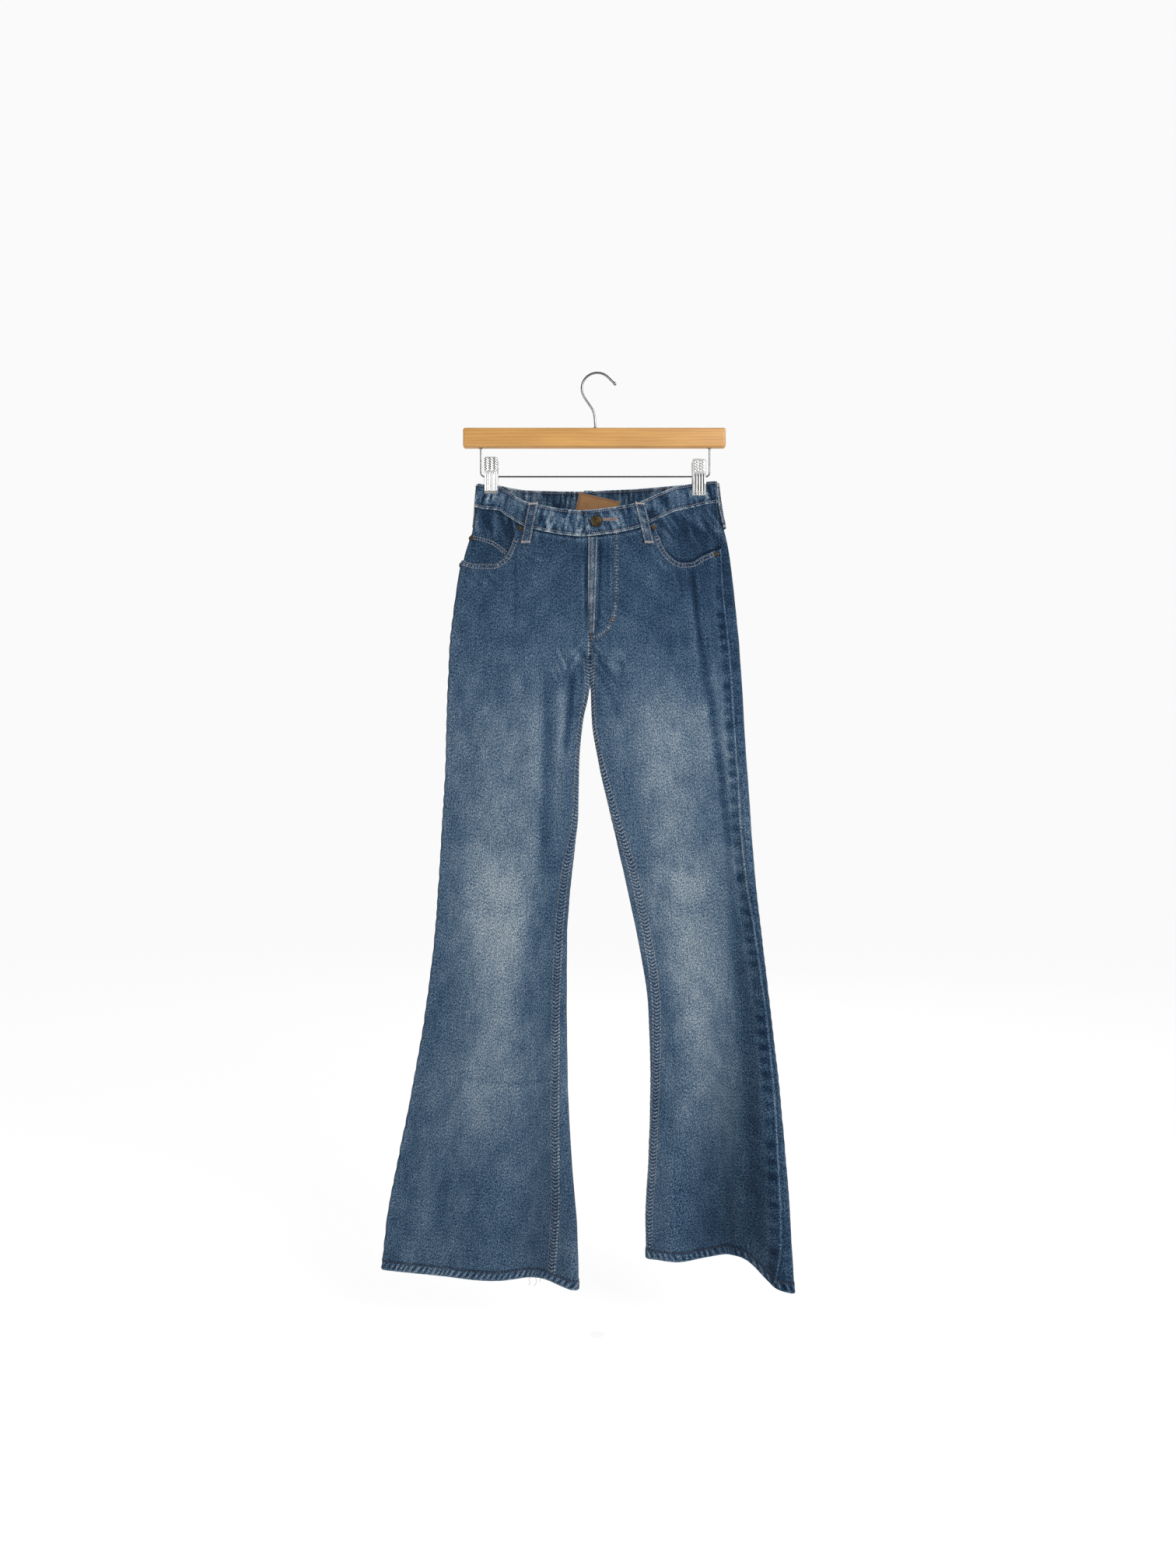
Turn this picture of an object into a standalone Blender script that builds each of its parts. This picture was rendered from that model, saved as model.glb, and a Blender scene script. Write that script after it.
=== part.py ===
"""Flared five-pocket jeans hanging from a wooden clip hanger.

The hang point, the inside of the hook's bend, is the origin. X runs along the hanger, -Y faces the viewer,
+Z is up. Left and right are the wearer's, so the right leg hangs at negative X. Tables and helper functions
work in millimetres and in "drop", the distance below the hang point; solids are made in metres.

Each trouser half is a flattened tube of cloth. A place on it is given by a turn and a drop: turn 0 is the
outer fold, 0 to 1 the front layer, 1 the inner fold (or the centre line above the crotch) and 1 to 2 the
back layer.
"""

import math
from typing import NamedTuple

import bmesh
import bpy
import numpy as np

MM = 0.001
SEAM_GAP = 0.3
WAIST_SEAM_GAP = 0.6
DENIM = 1.1
BAND_THICKNESS = 2.8
HEM_THICKNESS = 2.6
HEM_HEIGHT = 13.0
LAYER_STEP = DENIM + SEAM_GAP
PATCH_LIFT = LAYER_STEP + 0.5

CENTRE_X = -12.5
WAIST_DROP = 178.0
WAIST_BLEND = 165.0
CENTRE_SEAM_TURNS_IN = 240.0
CROTCH_DROP = 380.0
LEG_TOP_DROP = 386.0


class Level(NamedTuple):
    """One height of a trouser half: its two folds and where its two seams run, from the folds."""

    drop: float
    outer: float
    inner: float
    outseam: float
    inseam: float


class Depth(NamedTuple):
    """Distance between front and back layer in mid-width, and the radius of the folded edges."""

    drop: float
    between: float
    fold: float


class Station(NamedTuple):
    """One place along the waistband: its top edges, its height and how far the two layers stand apart."""

    x: float
    front_top: float
    back_top: float
    front_y: float
    back_y: float
    height: float


class Mouth(NamedTuple):
    """One point of a pocket mouth, by its share of the way from outseam to centre."""

    share: float
    drop: float


class Wave(NamedTuple):
    """One long soft fold down a leg. A positive depth goes to the back."""

    top_x: float
    hem_x: float
    half_width: float
    depth: float
    start: float


class Curl(NamedTuple):
    """Where the outer quarter of a leg leaves the flat, how far forward its edge stands, and which share of
    the way from crease to edge the soft bend between them takes."""

    drop: float
    crease: float
    forward: float
    reached: float


class Half(NamedTuple):
    """One trouser half. The sign is that of its side along X."""

    sign: int
    levels: tuple
    waves: tuple
    curls: tuple
    mouth: tuple
    hem_outer: float
    hem_inner: float
    hem_rise: float


STATIONS = (
    Station(-170.0, 146.0, 146.0, -4.5, 4.5, 32.0),
    Station(-154.0, 150.0, 150.0, -2.3, 2.3, 33.0),
    Station(-133.5, 152.0, 150.5, -2.3, 2.3, 33.0),
    Station(-122.0, 159.5, 152.5, -4.5, 4.0, 33.5),
    Station(-92.0, 177.0, 156.0, -14.0, 7.0, 34.0),
    Station(-19.0, 190.0, 156.8, -24.0, 10.0, 34.0),
    Station(15.0, 186.8, 155.0, -24.0, 10.0, 34.0),
    Station(50.5, 179.5, 153.7, -20.0, 9.0, 34.0),
    Station(86.0, 162.6, 151.5, -10.0, 6.0, 33.5),
    Station(106.0, 153.5, 150.3, -4.0, 3.5, 33.0),
    Station(127.0, 149.5, 149.0, -2.3, 2.3, 32.0),
    Station(148.0, 146.5, 147.0, -2.3, 2.3, 30.0),
    Station(170.0, 145.0, 145.0, -4.5, 4.5, 29.0),
)

DEPTHS = (
    Depth(146.0, 9.0, 4.5),
    Depth(178.0, 10.0, 4.5),
    Depth(250.0, 30.0, 5.5),
    Depth(330.0, 37.0, 6.5),
    Depth(386.0, 36.0, 7.0),
    Depth(470.0, 30.0, 7.0),
    Depth(600.0, 25.0, 6.5),
    Depth(760.0, 20.0, 6.0),
    Depth(900.0, 19.0, 6.0),
    Depth(1060.0, 21.0, 6.0),
    Depth(1240.0, 24.0, 6.5),
)

RIGHT = Half(
    sign=-1,
    levels=(
        Level(144.0, -160.5, CENTRE_X, -5.0, 0.0),
        Level(178.0, -165.0, CENTRE_X, -5.0, 0.0),
        Level(214.0, -172.1, CENTRE_X, -5.5, 0.0),
        Level(248.0, -182.0, CENTRE_X, -6.0, 0.0),
        Level(300.0, -190.8, -12.3, -6.0, 0.0),
        Level(370.0, -199.2, -11.4, -6.0, 0.0),
        Level(425.0, -201.5, -11.6, -6.0, -3.0),
        Level(470.0, -203.0, -19.6, -6.0, -3.0),
        Level(520.0, -204.6, -24.2, -6.0, -3.0),
        Level(600.0, -209.6, -26.4, -6.0, -1.0),
        Level(680.0, -214.4, -33.4, -6.0, 7.5),
        Level(760.0, -220.4, -39.6, -6.0, 9.0),
        Level(860.0, -233.0, -41.3, -6.0, 11.0),
        Level(960.0, -249.5, -40.2, -6.0, 12.0),
        Level(1060.0, -269.3, -33.8, -6.0, 17.0),
        Level(1140.0, -284.5, -27.2, -6.0, 23.0),
        Level(1230.0, -294.5, -25.0, -6.0, 31.0),
    ),
    waves=(
        Wave(-75.0, -153.0, 42.0, -7.0, 900.0),
        Wave(-67.0, -84.0, 30.0, 14.0, 600.0),
        Wave(-30.0, -22.0, 34.0, -26.0, 900.0),
    ),
    curls=(Curl(262.0, -170.0, 0.0, 1.0), Curl(1240.0, -250.0, 0.0, 1.0)),
    mouth=(
        Mouth(0.0, 252.0),
        Mouth(0.057, 253.2),
        Mouth(0.162, 258.0),
        Mouth(0.295, 258.4),
        Mouth(0.383, 247.7),
        Mouth(0.41, 229.1),
        Mouth(0.428, 206.0),
    ),
    hem_outer=1210.0,
    hem_inner=1228.0,
    hem_rise=0.0,
)

LEFT = Half(
    sign=1,
    levels=(
        Level(144.0, 161.0, CENTRE_X, 3.0, 0.0),
        Level(178.0, 164.6, CENTRE_X, 4.0, 0.0),
        Level(214.0, 172.0, CENTRE_X, 9.0, 0.0),
        Level(248.0, 179.0, CENTRE_X, 14.0, 0.0),
        Level(300.0, 185.4, -12.3, 18.0, 0.0),
        Level(370.0, 191.5, -10.6, 17.0, 0.0),
        Level(425.0, 195.5, -9.2, 16.5, -3.0),
        Level(470.0, 197.8, -7.4, 15.5, -3.0),
        Level(520.0, 200.3, 0.6, 14.0, -1.0),
        Level(600.0, 204.0, 18.0, 11.5, 4.0),
        Level(680.0, 210.5, 36.0, 11.0, 11.0),
        Level(760.0, 219.0, 53.3, 8.5, 11.0),
        Level(860.0, 229.8, 67.7, 8.0, 9.0),
        Level(960.0, 238.3, 70.2, 8.5, 6.0),
        Level(1060.0, 245.2, 69.2, 11.0, 4.0),
        Level(1140.0, 249.8, 65.0, 14.0, 3.0),
        Level(1215.0, 253.5, 66.0, 27.0, 3.0),
    ),
    waves=(
        Wave(150.0, 183.0, 30.0, 19.0, 720.0),
        Wave(120.0, 107.0, 26.0, -14.0, 800.0),
    ),
    curls=(
        Curl(262.0, 131.0, 0.0, 1.0),
        Curl(400.0, 148.0, -4.0, 1.0),
        Curl(520.0, 164.0, -10.0, 1.0),
        Curl(660.0, 180.0, -21.0, 1.0),
        Curl(900.0, 189.0, -44.0, 0.85),
        Curl(1210.0, 201.0, -84.0, 0.58),
    ),
    mouth=(
        Mouth(0.0, 236.0),
        Mouth(0.041, 239.2),
        Mouth(0.19, 252.0),
        Mouth(0.216, 255.7),
        Mouth(0.305, 257.1),
        Mouth(0.393, 247.7),
        Mouth(0.449, 231.7),
        Mouth(0.486, 211.0),
    ),
    hem_outer=1208.0,
    hem_inner=1195.0,
    hem_rise=8.0,
)

HALVES = {"right": RIGHT, "left": LEFT}

# Shares of the way along a panel, close together round the folds and at the pocket's corner.
FRONT_SHARES = {
    "right": (0, 0.03, 0.06, 0.1, 0.162, 0.23, 0.3, 0.345, 0.383, 0.41, 0.428, 0.47, 0.56, 0.66, 0.76, 0.85,
              0.91, 0.95, 0.975, 1),
    "left": (0, 0.03, 0.08, 0.13, 0.19, 0.216, 0.25, 0.305, 0.35, 0.393, 0.43, 0.455, 0.486, 0.56, 0.66, 0.76,
             0.85, 0.92, 0.965, 1),
}
BACK_SHARES = (0, 0.02, 0.045, 0.075, 0.12, 0.2, 0.3, 0.4, 0.5, 0.59, 0.66, 0.71, 0.75, 0.79, 0.83, 0.87,
               0.91, 0.94, 0.965, 0.985, 1)
TORSO_ROWS = 8
LEG_ROWS = 18
YOKE_ROWS = 3
SEAM_SEARCH_STEPS = 12
DIFFERENCE_STEP = 0.05
CURL_SOFTNESS = 12.0
FRONT_TURNS = (-0.5, 1.0)
BACK_TURNS = (1.0001, 2.5)

YOKE_SIDE_DROP = 222.0
YOKE_CENTRE_DROP = 262.0

LAP_EDGE_TOP_X = -19.0
LAP_EDGE_LOW_X = -12.8
UNDERLAP_X = 8.0
UNDERLAP_RAMP = (-44.0, -24.0)
OVERLAP_RAMP = (11.0, 46.0)
UNDERLAP_LIFT = -1.6
OVERLAP_LIFT = 1.5
BAND_ROWS = 3
BAND_SHARES = (0.995, 0.93, 0.84, 0.74, 0.64, 0.54, 0.44, 0.35, 0.27, 0.21, 0.15, 0.1, 0.065, 0.04, 0.02, 0.0)

LOOP_WIDTH = 12.0
SIDE_LOOP_WIDTH = 10.0
LOOP_THICKNESS = 1.6
LOOP_LIFT = BAND_THICKNESS / 2.0 + SEAM_GAP + LOOP_THICKNESS / 2.0
SIDE_LOOP_LIFT = LOOP_LIFT + 0.4
LOOP_ROWS = 6

PLACKET_TOP_X = 0.0
PLACKET_LOW_X = -4.3
PLACKET_TOP_DROP = 225.4
PLACKET_LOW_DROP = 352.0
PLACKET_LIFT = LAYER_STEP + 0.2

FACING_SHARE = 0.56
FACING_MARGIN = 14.0
COIN_POCKET_MARGIN = 8.0

BACK_POCKET_X = 88.0
BACK_POCKET_TOP_DROP = 262.0
BACK_POCKET_SLOPE = 7.0
BACK_POCKET_HEIGHT = 112.0
BACK_POCKET_POINT = 18.0
BACK_POCKET_HALF_TOP = 72.0
BACK_POCKET_HALF_LOW = 61.0

LABEL_CORNER_X = -24.2
LABEL_CORNER_DROP = 158.4
LABEL_WIDTH = 57.0
LABEL_HEIGHT = 30.0
LABEL_TILT = math.radians(13.0)
LABEL_THICKNESS = 1.0

BUTTON_X = -1.5
BUTTON_DROP = 204.8
RIVET_RADIUS = 3.2
RIVET_HEIGHT = 1.3
ROUND_SEGMENTS = 20
RIVET_SEGMENTS = 10

BAR_LENGTH = 355.0
BAR_CENTRE_X = -4.0
BAR_TOP = 73.7
BAR_HEIGHT = 26.6
BAR_DEPTH = 12.0
BAR_EDGE = 2.4

HOOK_WIRE = 3.2
HOOK_BEND = 21.0
HOOK_BEND_START = 205.0
HOOK_BEND_END = 45.0
HOOK_BEND_STEPS = 16
HOOK_TIP_LENGTH = 15.0
HOOK_TIP_BALL = 1.35

ROD_WIRE = 2.4
ROD_LEFT_X = -157.7
ROD_RIGHT_X = 151.9
ROD_DROP = 139.0
ROD_CORNER = 5.5

CLIP_WIDTH = 18.0
CLIP_SHEET = 1.0
SPRING_RADIUS = 4.6
SPRING_LENGTH = 11.0


class Point(NamedTuple):
    """A point of a line that is drawn in the plane of the hanger, by X and drop."""

    x: float
    drop: float


class ProfilePoint(NamedTuple):
    """A point of a profile: its distance from the middle and the way along."""

    out: float
    along: float


class Clip(NamedTuple):
    """Where a clip sits on the rod and how far its top is below the hang point."""

    x: float
    top: float


class Rivet(NamedTuple):
    """Where a rivet sits on a front layer, and how far the cloth under it lies above the panel."""

    side: str
    x: float
    drop: float
    lift: float


COIN_POCKET_TOP = (
    Mouth(0.06, 218.0),
    Mouth(0.225, 224.6),
    Mouth(0.383, 241.0),
    Mouth(0.395, 243.4),
)

HOOK_NECK = (
    Point(-2.6, 73.4),
    Point(-2.9, 66.0),
    Point(-3.6, 57.5),
    Point(-5.6, 50.0),
    Point(-9.4, 43.6),
    Point(-13.6, 37.5),
    Point(-17.0, 32.4),
)

CLIPS = {"right": Clip(-143.6, 114.5), "left": Clip(137.4, 116.7)}

CLIP_PROFILE = (
    ProfilePoint(8.0, 0.0),
    ProfilePoint(7.4, 8.0),
    ProfilePoint(6.4, 17.0),
    ProfilePoint(5.4, 22.5),
    ProfilePoint(5.4, 26.0),
    ProfilePoint(5.0, 36.0),
    ProfilePoint(4.7, 44.0),
    ProfilePoint(4.6, 49.0),
)

BUTTON_PROFILE = (
    ProfilePoint(0.0, 0.0),
    ProfilePoint(6.6, 0.0),
    ProfilePoint(7.6, 0.8),
    ProfilePoint(7.6, 1.8),
    ProfilePoint(6.9, 2.6),
    ProfilePoint(5.9, 2.3),
    ProfilePoint(5.4, 2.1),
    ProfilePoint(0.0, 2.3),
)

RIVET_PROFILE = (
    ProfilePoint(0.0, 0.0),
    ProfilePoint(RIVET_RADIUS, 0.0),
    ProfilePoint(RIVET_RADIUS, RIVET_HEIGHT * 0.6),
    ProfilePoint(RIVET_RADIUS * 0.6, RIVET_HEIGHT),
    ProfilePoint(0.0, RIVET_HEIGHT),
)

RIVETS = {
    "rivet_pocket_right": Rivet("right", -103.4, 211.2, 0.0),
    "rivet_coin_pocket": Rivet("right", -170.6, 223.4, -LAYER_STEP),
    "rivet_pocket_left": Rivet("left", 75.4, 210.6, 0.0),
    "rivet_side_left": Rivet("left", 160.6, 245.2, 0.0),
    "rivet_side_right": Rivet("right", -184.0, 259.0, 0.0),
}


class Finish(NamedTuple):
    """Colour, roughness and metallic value of a material."""

    colour: tuple
    roughness: float
    metallic: float


FINISHES = {
    "denim": Finish((0.075, 0.125, 0.235), 0.9, 0.0),
    "denim_dark": Finish((0.035, 0.07, 0.16), 0.9, 0.0),
    "denim_light": Finish((0.13, 0.2, 0.33), 0.9, 0.0),
    "label": Finish((0.38, 0.21, 0.09), 0.7, 0.0),
    "antique_brass": Finish((0.06, 0.05, 0.03), 0.45, 0.9),
    "wood": Finish((0.62, 0.35, 0.11), 0.45, 0.0),
    "steel": Finish((0.6, 0.6, 0.62), 0.25, 1.0),
}


def smooth_column(rows, name, at, key="drop"):
    """Read a named column of a table at any key, by a monotone cubic held level past both ends."""
    keys = np.array([getattr(row, key) for row in rows], dtype=float)
    values = np.array([getattr(row, name) for row in rows], dtype=float)
    step = np.diff(keys)
    rise = np.diff(values) / step
    slope = np.zeros_like(values)
    product = rise[:-1] * rise[1:]
    total = np.where(product > 0.0, rise[:-1] + rise[1:], 1.0)
    slope[1:-1] = np.where(product > 0.0, 2.0 * product / total, 0.0)
    slope[0] = rise[0]
    slope[-1] = rise[-1]
    at = np.clip(at, keys[0], keys[-1])
    index = np.clip(np.searchsorted(keys, at, side="right") - 1, 0, len(step) - 1)
    width = step[index]
    part = (at - keys[index]) / width
    start = values[index] * (1.0 + 2.0 * part) * (1.0 - part) ** 2
    end = values[index + 1] * part ** 2 * (3.0 - 2.0 * part)
    bend = slope[index] * part * (1.0 - part) ** 2 - slope[index + 1] * part ** 2 * (1.0 - part)
    return start + end + bend * width


def straight_column(rows, name, at, key):
    """Read a named column of a table at any key, straight between the rows."""
    keys = [getattr(row, key) for row in rows]
    values = [getattr(row, name) for row in rows]
    return np.interp(at, keys, values)


def ease(value, low, high):
    """Go smoothly from 0 at low to 1 at high."""
    part = np.clip((value - low) / (high - low), 0.0, 1.0)
    return part * part * (3.0 - 2.0 * part)


def centre_opening(drop):
    """Share of the full depth that the centre line keeps: 1 at the waist, 0 from the crotch down."""
    part = np.clip((drop - CENTRE_SEAM_TURNS_IN) / (CROTCH_DROP - CENTRE_SEAM_TURNS_IN), 0.0, 1.0)
    return np.sqrt(1.0 - part * part)


def half_frame(half, drop):
    """Outer edge, inner edge, width, fold radius and run of one layer at a drop."""
    outer = smooth_column(half.levels, "outer", drop)
    inner = smooth_column(half.levels, "inner", drop) + half.sign * (SEAM_GAP / 2.0)
    opening = centre_opening(drop)
    inner = inner + half.sign * (DENIM / 2.0 + SEAM_GAP) * (1.0 - opening)
    width = np.abs(inner - outer)
    fold = smooth_column(DEPTHS, "fold", drop)
    run = width + fold * (2.0 - opening) * (math.pi / 2.0 - 1.0)
    return outer, inner, width, fold, run


def middle_y(half, x, drop):
    """Y of the surface midway between the two layers of a leg."""
    total = np.zeros_like(x + drop)
    for wave in half.waves:
        line = wave.top_x + (wave.hem_x - wave.top_x) * ease(drop, wave.start, half.hem_inner)
        swell = ease(drop, wave.start, half.hem_inner)
        total = total + wave.depth * swell * np.exp(-((x - line) / wave.half_width) ** 2)
    crease = smooth_column(half.curls, "crease", drop)
    forward = smooth_column(half.curls, "forward", drop)
    outer = smooth_column(half.levels, "outer", drop)
    reached = smooth_column(half.curls, "reached", drop)
    past_bend = half.sign * (x - crease - reached * (outer - crease) / 2.0)
    return total + forward * (1.0 + np.tanh(past_bend / CURL_SOFTNESS)) / 2.0


def waist_share(drop):
    """Share of the waistband's own profile: 1 along the waistband, fading to 0 at the hips."""
    return 1.0 - ease(drop, WAIST_DROP, WAIST_DROP + WAIST_BLEND)


def cloth_point(half, turn, drop):
    """Middle of the cloth at a turn and a drop, in millimetres."""
    turn = np.mod(turn, 2.0)
    turn, drop = np.broadcast_arrays(turn, drop)
    is_front = turn <= 1.0
    share = np.where(is_front, turn, 2.0 - turn)
    outer, inner, width, fold, run = half_frame(half, drop)
    way = share * run
    way_back = run - way
    quarter = math.pi / 2.0
    fold_angle = np.minimum(way / fold, quarter)
    tip_angle = np.minimum(way_back / fold, quarter)
    past_fold = np.maximum(way - fold * quarter, 0.0)
    past_tip = np.maximum(way_back - fold * quarter, 0.0)
    opening = centre_opening(drop)
    from_outer = fold * (1.0 - np.cos(fold_angle)) + past_fold
    from_inner = opening * way_back + (1.0 - opening) * (fold * (1.0 - np.cos(tip_angle)) + past_tip)
    across = np.where(share < 0.5, from_outer, width - from_inner)
    x = outer + (inner - outer) * across / width
    arch = np.sin(math.pi * across / width)
    swell = np.where(across < width / 2.0, arch, 1.0 - (1.0 - opening) * (1.0 - arch))
    between = smooth_column(DEPTHS, "between", drop)
    leg_depth = fold + (between / 2.0 - fold) * swell
    front_y = smooth_column(STATIONS, "front_y", x, "x")
    back_y = smooth_column(STATIONS, "back_y", x, "x")
    waist = waist_share(drop)
    depth = leg_depth * (1.0 - waist) + (back_y - front_y) / 2.0 * waist
    depth = depth * np.sin(fold_angle) * (opening + (1.0 - opening) * np.sin(tip_angle))
    side = np.where(is_front, 1.0, -1.0)
    nudge = 0.5
    ahead = middle_y(half, x + nudge, drop)
    behind = middle_y(half, x - nudge, drop)
    lean = (ahead - behind) * (1.0 - waist) / (2.0 * nudge)
    scale = 1.0 / np.sqrt(1.0 + lean * lean)
    depth = depth * scale
    middle = middle_y(half, x, drop) * (1.0 - waist) + (front_y + back_y) / 2.0 * waist * np.sin(fold_angle)
    return np.stack([x + side * depth * lean * scale, middle - side * depth * scale, -drop], axis=-1)


def cloth_sheet(half, turn, drop, low=-9.0, high=9.0):
    """Points and outward normals of the cloth. The turns low and high are edges that it doesn't pass."""
    turn, drop = np.broadcast_arrays(np.asarray(turn, dtype=float), np.asarray(drop, dtype=float))
    run = half_frame(half, drop)[4]
    reach = DIFFERENCE_STEP / run
    along = cloth_point(half, np.minimum(turn + reach, high), drop)
    along = along - cloth_point(half, np.maximum(turn - reach, low), drop)
    down = cloth_point(half, turn, drop + DIFFERENCE_STEP) - cloth_point(half, turn, drop - DIFFERENCE_STEP)
    normal = np.cross(along, down) * half.sign
    normal = normal / np.linalg.norm(normal, axis=-1, keepdims=True)
    return cloth_point(half, turn, drop), normal


def front_turn(half, x, drop):
    """Turn on the front layer at a given x."""
    outer, _, width, fold, run = half_frame(half, drop)
    across = np.clip(np.abs(x - outer), 0.0, width)
    near_fold = fold * np.arccos(np.clip(1.0 - across / fold, -1.0, 1.0))
    plain = across + fold * (math.pi / 2.0 - 1.0)
    return np.where(across < fold, near_fold, plain) / run


def outseam_turn(half, drop):
    """Turn of the outseam."""
    return smooth_column(half.levels, "outseam", drop) / half_frame(half, drop)[4]


def inseam_turn(half, drop):
    """Turn of the inseam, or of the centre line above the crotch."""
    return 1.0 - smooth_column(half.levels, "inseam", drop) / half_frame(half, drop)[4]


def hem_drop(half, turn):
    """Drop of the hem's lower edge."""
    turn = np.mod(turn, 2.0)
    share = np.where(turn <= 1.0, turn, 2.0 - turn)
    level = half.hem_outer + (half.hem_inner - half.hem_outer) * share
    return level - half.hem_rise * np.sin(math.pi * share)


def waist_seam_drop(x, layer):
    """Drop of the waistband's lower edge on the front or back layer."""
    return smooth_column(STATIONS, f"{layer}_top", x, "x") + smooth_column(STATIONS, "height", x, "x")


def yoke_seam_drop(turn):
    """Drop of the seam under the yoke: low at the centre back and high at the sides."""
    share = np.clip(2.0 - np.mod(turn, 2.0), 0.0, 1.0)
    share = np.where(np.mod(turn, 2.0) < 1.0, 0.0, share)
    return YOKE_SIDE_DROP + (YOKE_CENTRE_DROP - YOKE_SIDE_DROP) * share


def panel_turns(half, shares, drop, is_back):
    """Turns of a panel's columns at a drop, a half seam gap short of both of its edges."""
    run = half_frame(half, drop)[4]
    half_gap = SEAM_GAP / 2.0 / run
    start = outseam_turn(half, drop) + half_gap
    end = inseam_turn(half, drop) - half_gap
    if is_back:
        start = inseam_turn(half, drop) + half_gap
        end = 2.0 + outseam_turn(half, drop) - half_gap
    return start + (end - start) * shares


def panel_grid(half, shares, rows, top_of, bottom_of, is_back):
    """Turns and drops of a grid whose top and bottom edges are functions of the turn."""
    shares = np.asarray(shares, dtype=float)[None, :]
    rows = np.asarray(rows, dtype=float)[:, None]
    drop = np.full((len(rows), shares.shape[1]), LEG_TOP_DROP)
    for _ in range(SEAM_SEARCH_STEPS):
        turn = panel_turns(half, shares, drop, is_back)
        aim = top_of(turn, drop) + (bottom_of(turn, drop) - top_of(turn, drop)) * rows
        drop = (drop + aim) / 2.0
    turn = panel_turns(half, shares, drop, is_back)
    return turn, drop


def material(name):
    """Find or make the material of that name."""
    found = bpy.data.materials.get(name)
    if found is None:
        finish = FINISHES[name]
        found = bpy.data.materials.new(name)
        found.use_nodes = True
        shader = found.node_tree.nodes["Principled BSDF"]
        shader.inputs["Base Color"].default_value = (*finish.colour, 1.0)
        shader.inputs["Roughness"].default_value = finish.roughness
        shader.inputs["Metallic"].default_value = finish.metallic
    return found


def add_object(name, points, faces, finish):
    """Make one closed object from points in millimetres, with its faces turned outward."""
    mesh = bpy.data.meshes.new(name)
    mesh.from_pydata((np.asarray(points) * MM).tolist(), [], faces)
    work = bmesh.new()
    work.from_mesh(mesh)
    bmesh.ops.recalc_face_normals(work, faces=work.faces)
    work.to_mesh(mesh)
    work.free()
    mesh.shade_smooth()
    mesh.set_sharp_from_angle(angle=math.radians(40.0))
    mesh.materials.append(material(finish))
    thing = bpy.data.objects.new(name, mesh)
    bpy.context.scene.collection.objects.link(thing)
    return thing


def grid_faces(rows, columns, closed, first=0):
    """Four-sided faces of a grid of points whose last column may join the first."""
    faces = []
    spans = columns if closed else columns - 1
    for row in range(rows - 1):
        for column in range(spans):
            after = (column + 1) % columns
            low = first + row * columns
            high = low + columns
            faces.append((low + column, low + after, high + after, high + column))
    return faces


def split_faces(points, faces):
    """Cut four-sided faces along their shorter diagonals, measured on the points given."""
    triangles = []
    for first, second, third, fourth in faces:
        across = np.linalg.norm(points[first] - points[third])
        other = np.linalg.norm(points[second] - points[fourth])
        if across <= other:
            triangles += [(first, second, third), (first, third, fourth)]
        else:
            triangles += [(first, second, fourth), (second, third, fourth)]
    return triangles


def add_wall(name, sheet, thickness, lift=0.0, closed=False, finish="denim"):
    """Make a cloth wall on a sheet of points and normals, its middle moved out by the lift."""
    middle, normal = sheet
    rows, columns = middle.shape[:2]
    lift = np.asarray(lift, dtype=float)
    if lift.ndim:
        lift = lift[..., None]
    outer = middle + normal * (lift + thickness / 2.0)
    inner = middle + normal * (lift - thickness / 2.0)
    points = np.concatenate([outer.reshape(-1, 3), inner.reshape(-1, 3)])
    behind = rows * columns
    faces = split_faces(middle.reshape(-1, 3), grid_faces(rows, columns, closed))
    faces += [tuple(behind + corner for corner in reversed(face)) for face in faces]
    last_row = (rows - 1) * columns
    for column in range(columns if closed else columns - 1):
        after = (column + 1) % columns
        faces.append((after, column, behind + column, behind + after))
        low, low_after = last_row + column, last_row + after
        faces.append((low, low_after, behind + low_after, behind + low))
    if not closed:
        for row in range(rows - 1):
            here = row * columns
            below = here + columns
            far = columns - 1
            faces.append((here, below, behind + below, behind + here))
            faces.append((below + far, here + far, behind + here + far, behind + below + far))
    return add_object(name, points, faces, finish)


def panel_sheet(half, shares, rows, top_of, bottom_of, is_back):
    """Points and normals of a panel between two edges, kept to its own side of the seams."""
    turn, drop = panel_grid(half, shares, rows, top_of, bottom_of, is_back)
    low = turn.min(axis=1, keepdims=True)
    high = turn.max(axis=1, keepdims=True)
    return cloth_sheet(half, turn, drop, low, high)


def front_top_drop(half, turn, drop, shares):
    """Upper edge of a front panel: the pocket mouth, then the waist seam."""
    x = cloth_point(half, turn, drop)[..., 0]
    waist = waist_seam_drop(x, "front") + WAIST_SEAM_GAP
    shares = np.broadcast_to(np.asarray(shares, dtype=float)[None, :], waist.shape)
    mouth = straight_column(half.mouth, "drop", shares, "share")
    return np.where(shares <= half.mouth[-1].share, np.maximum(mouth, waist), waist)


def leg_top(turn, drop):
    """Level row at the crotch, which the torso and the leg of a panel share."""
    return np.full_like(drop, LEG_TOP_DROP)


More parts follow.
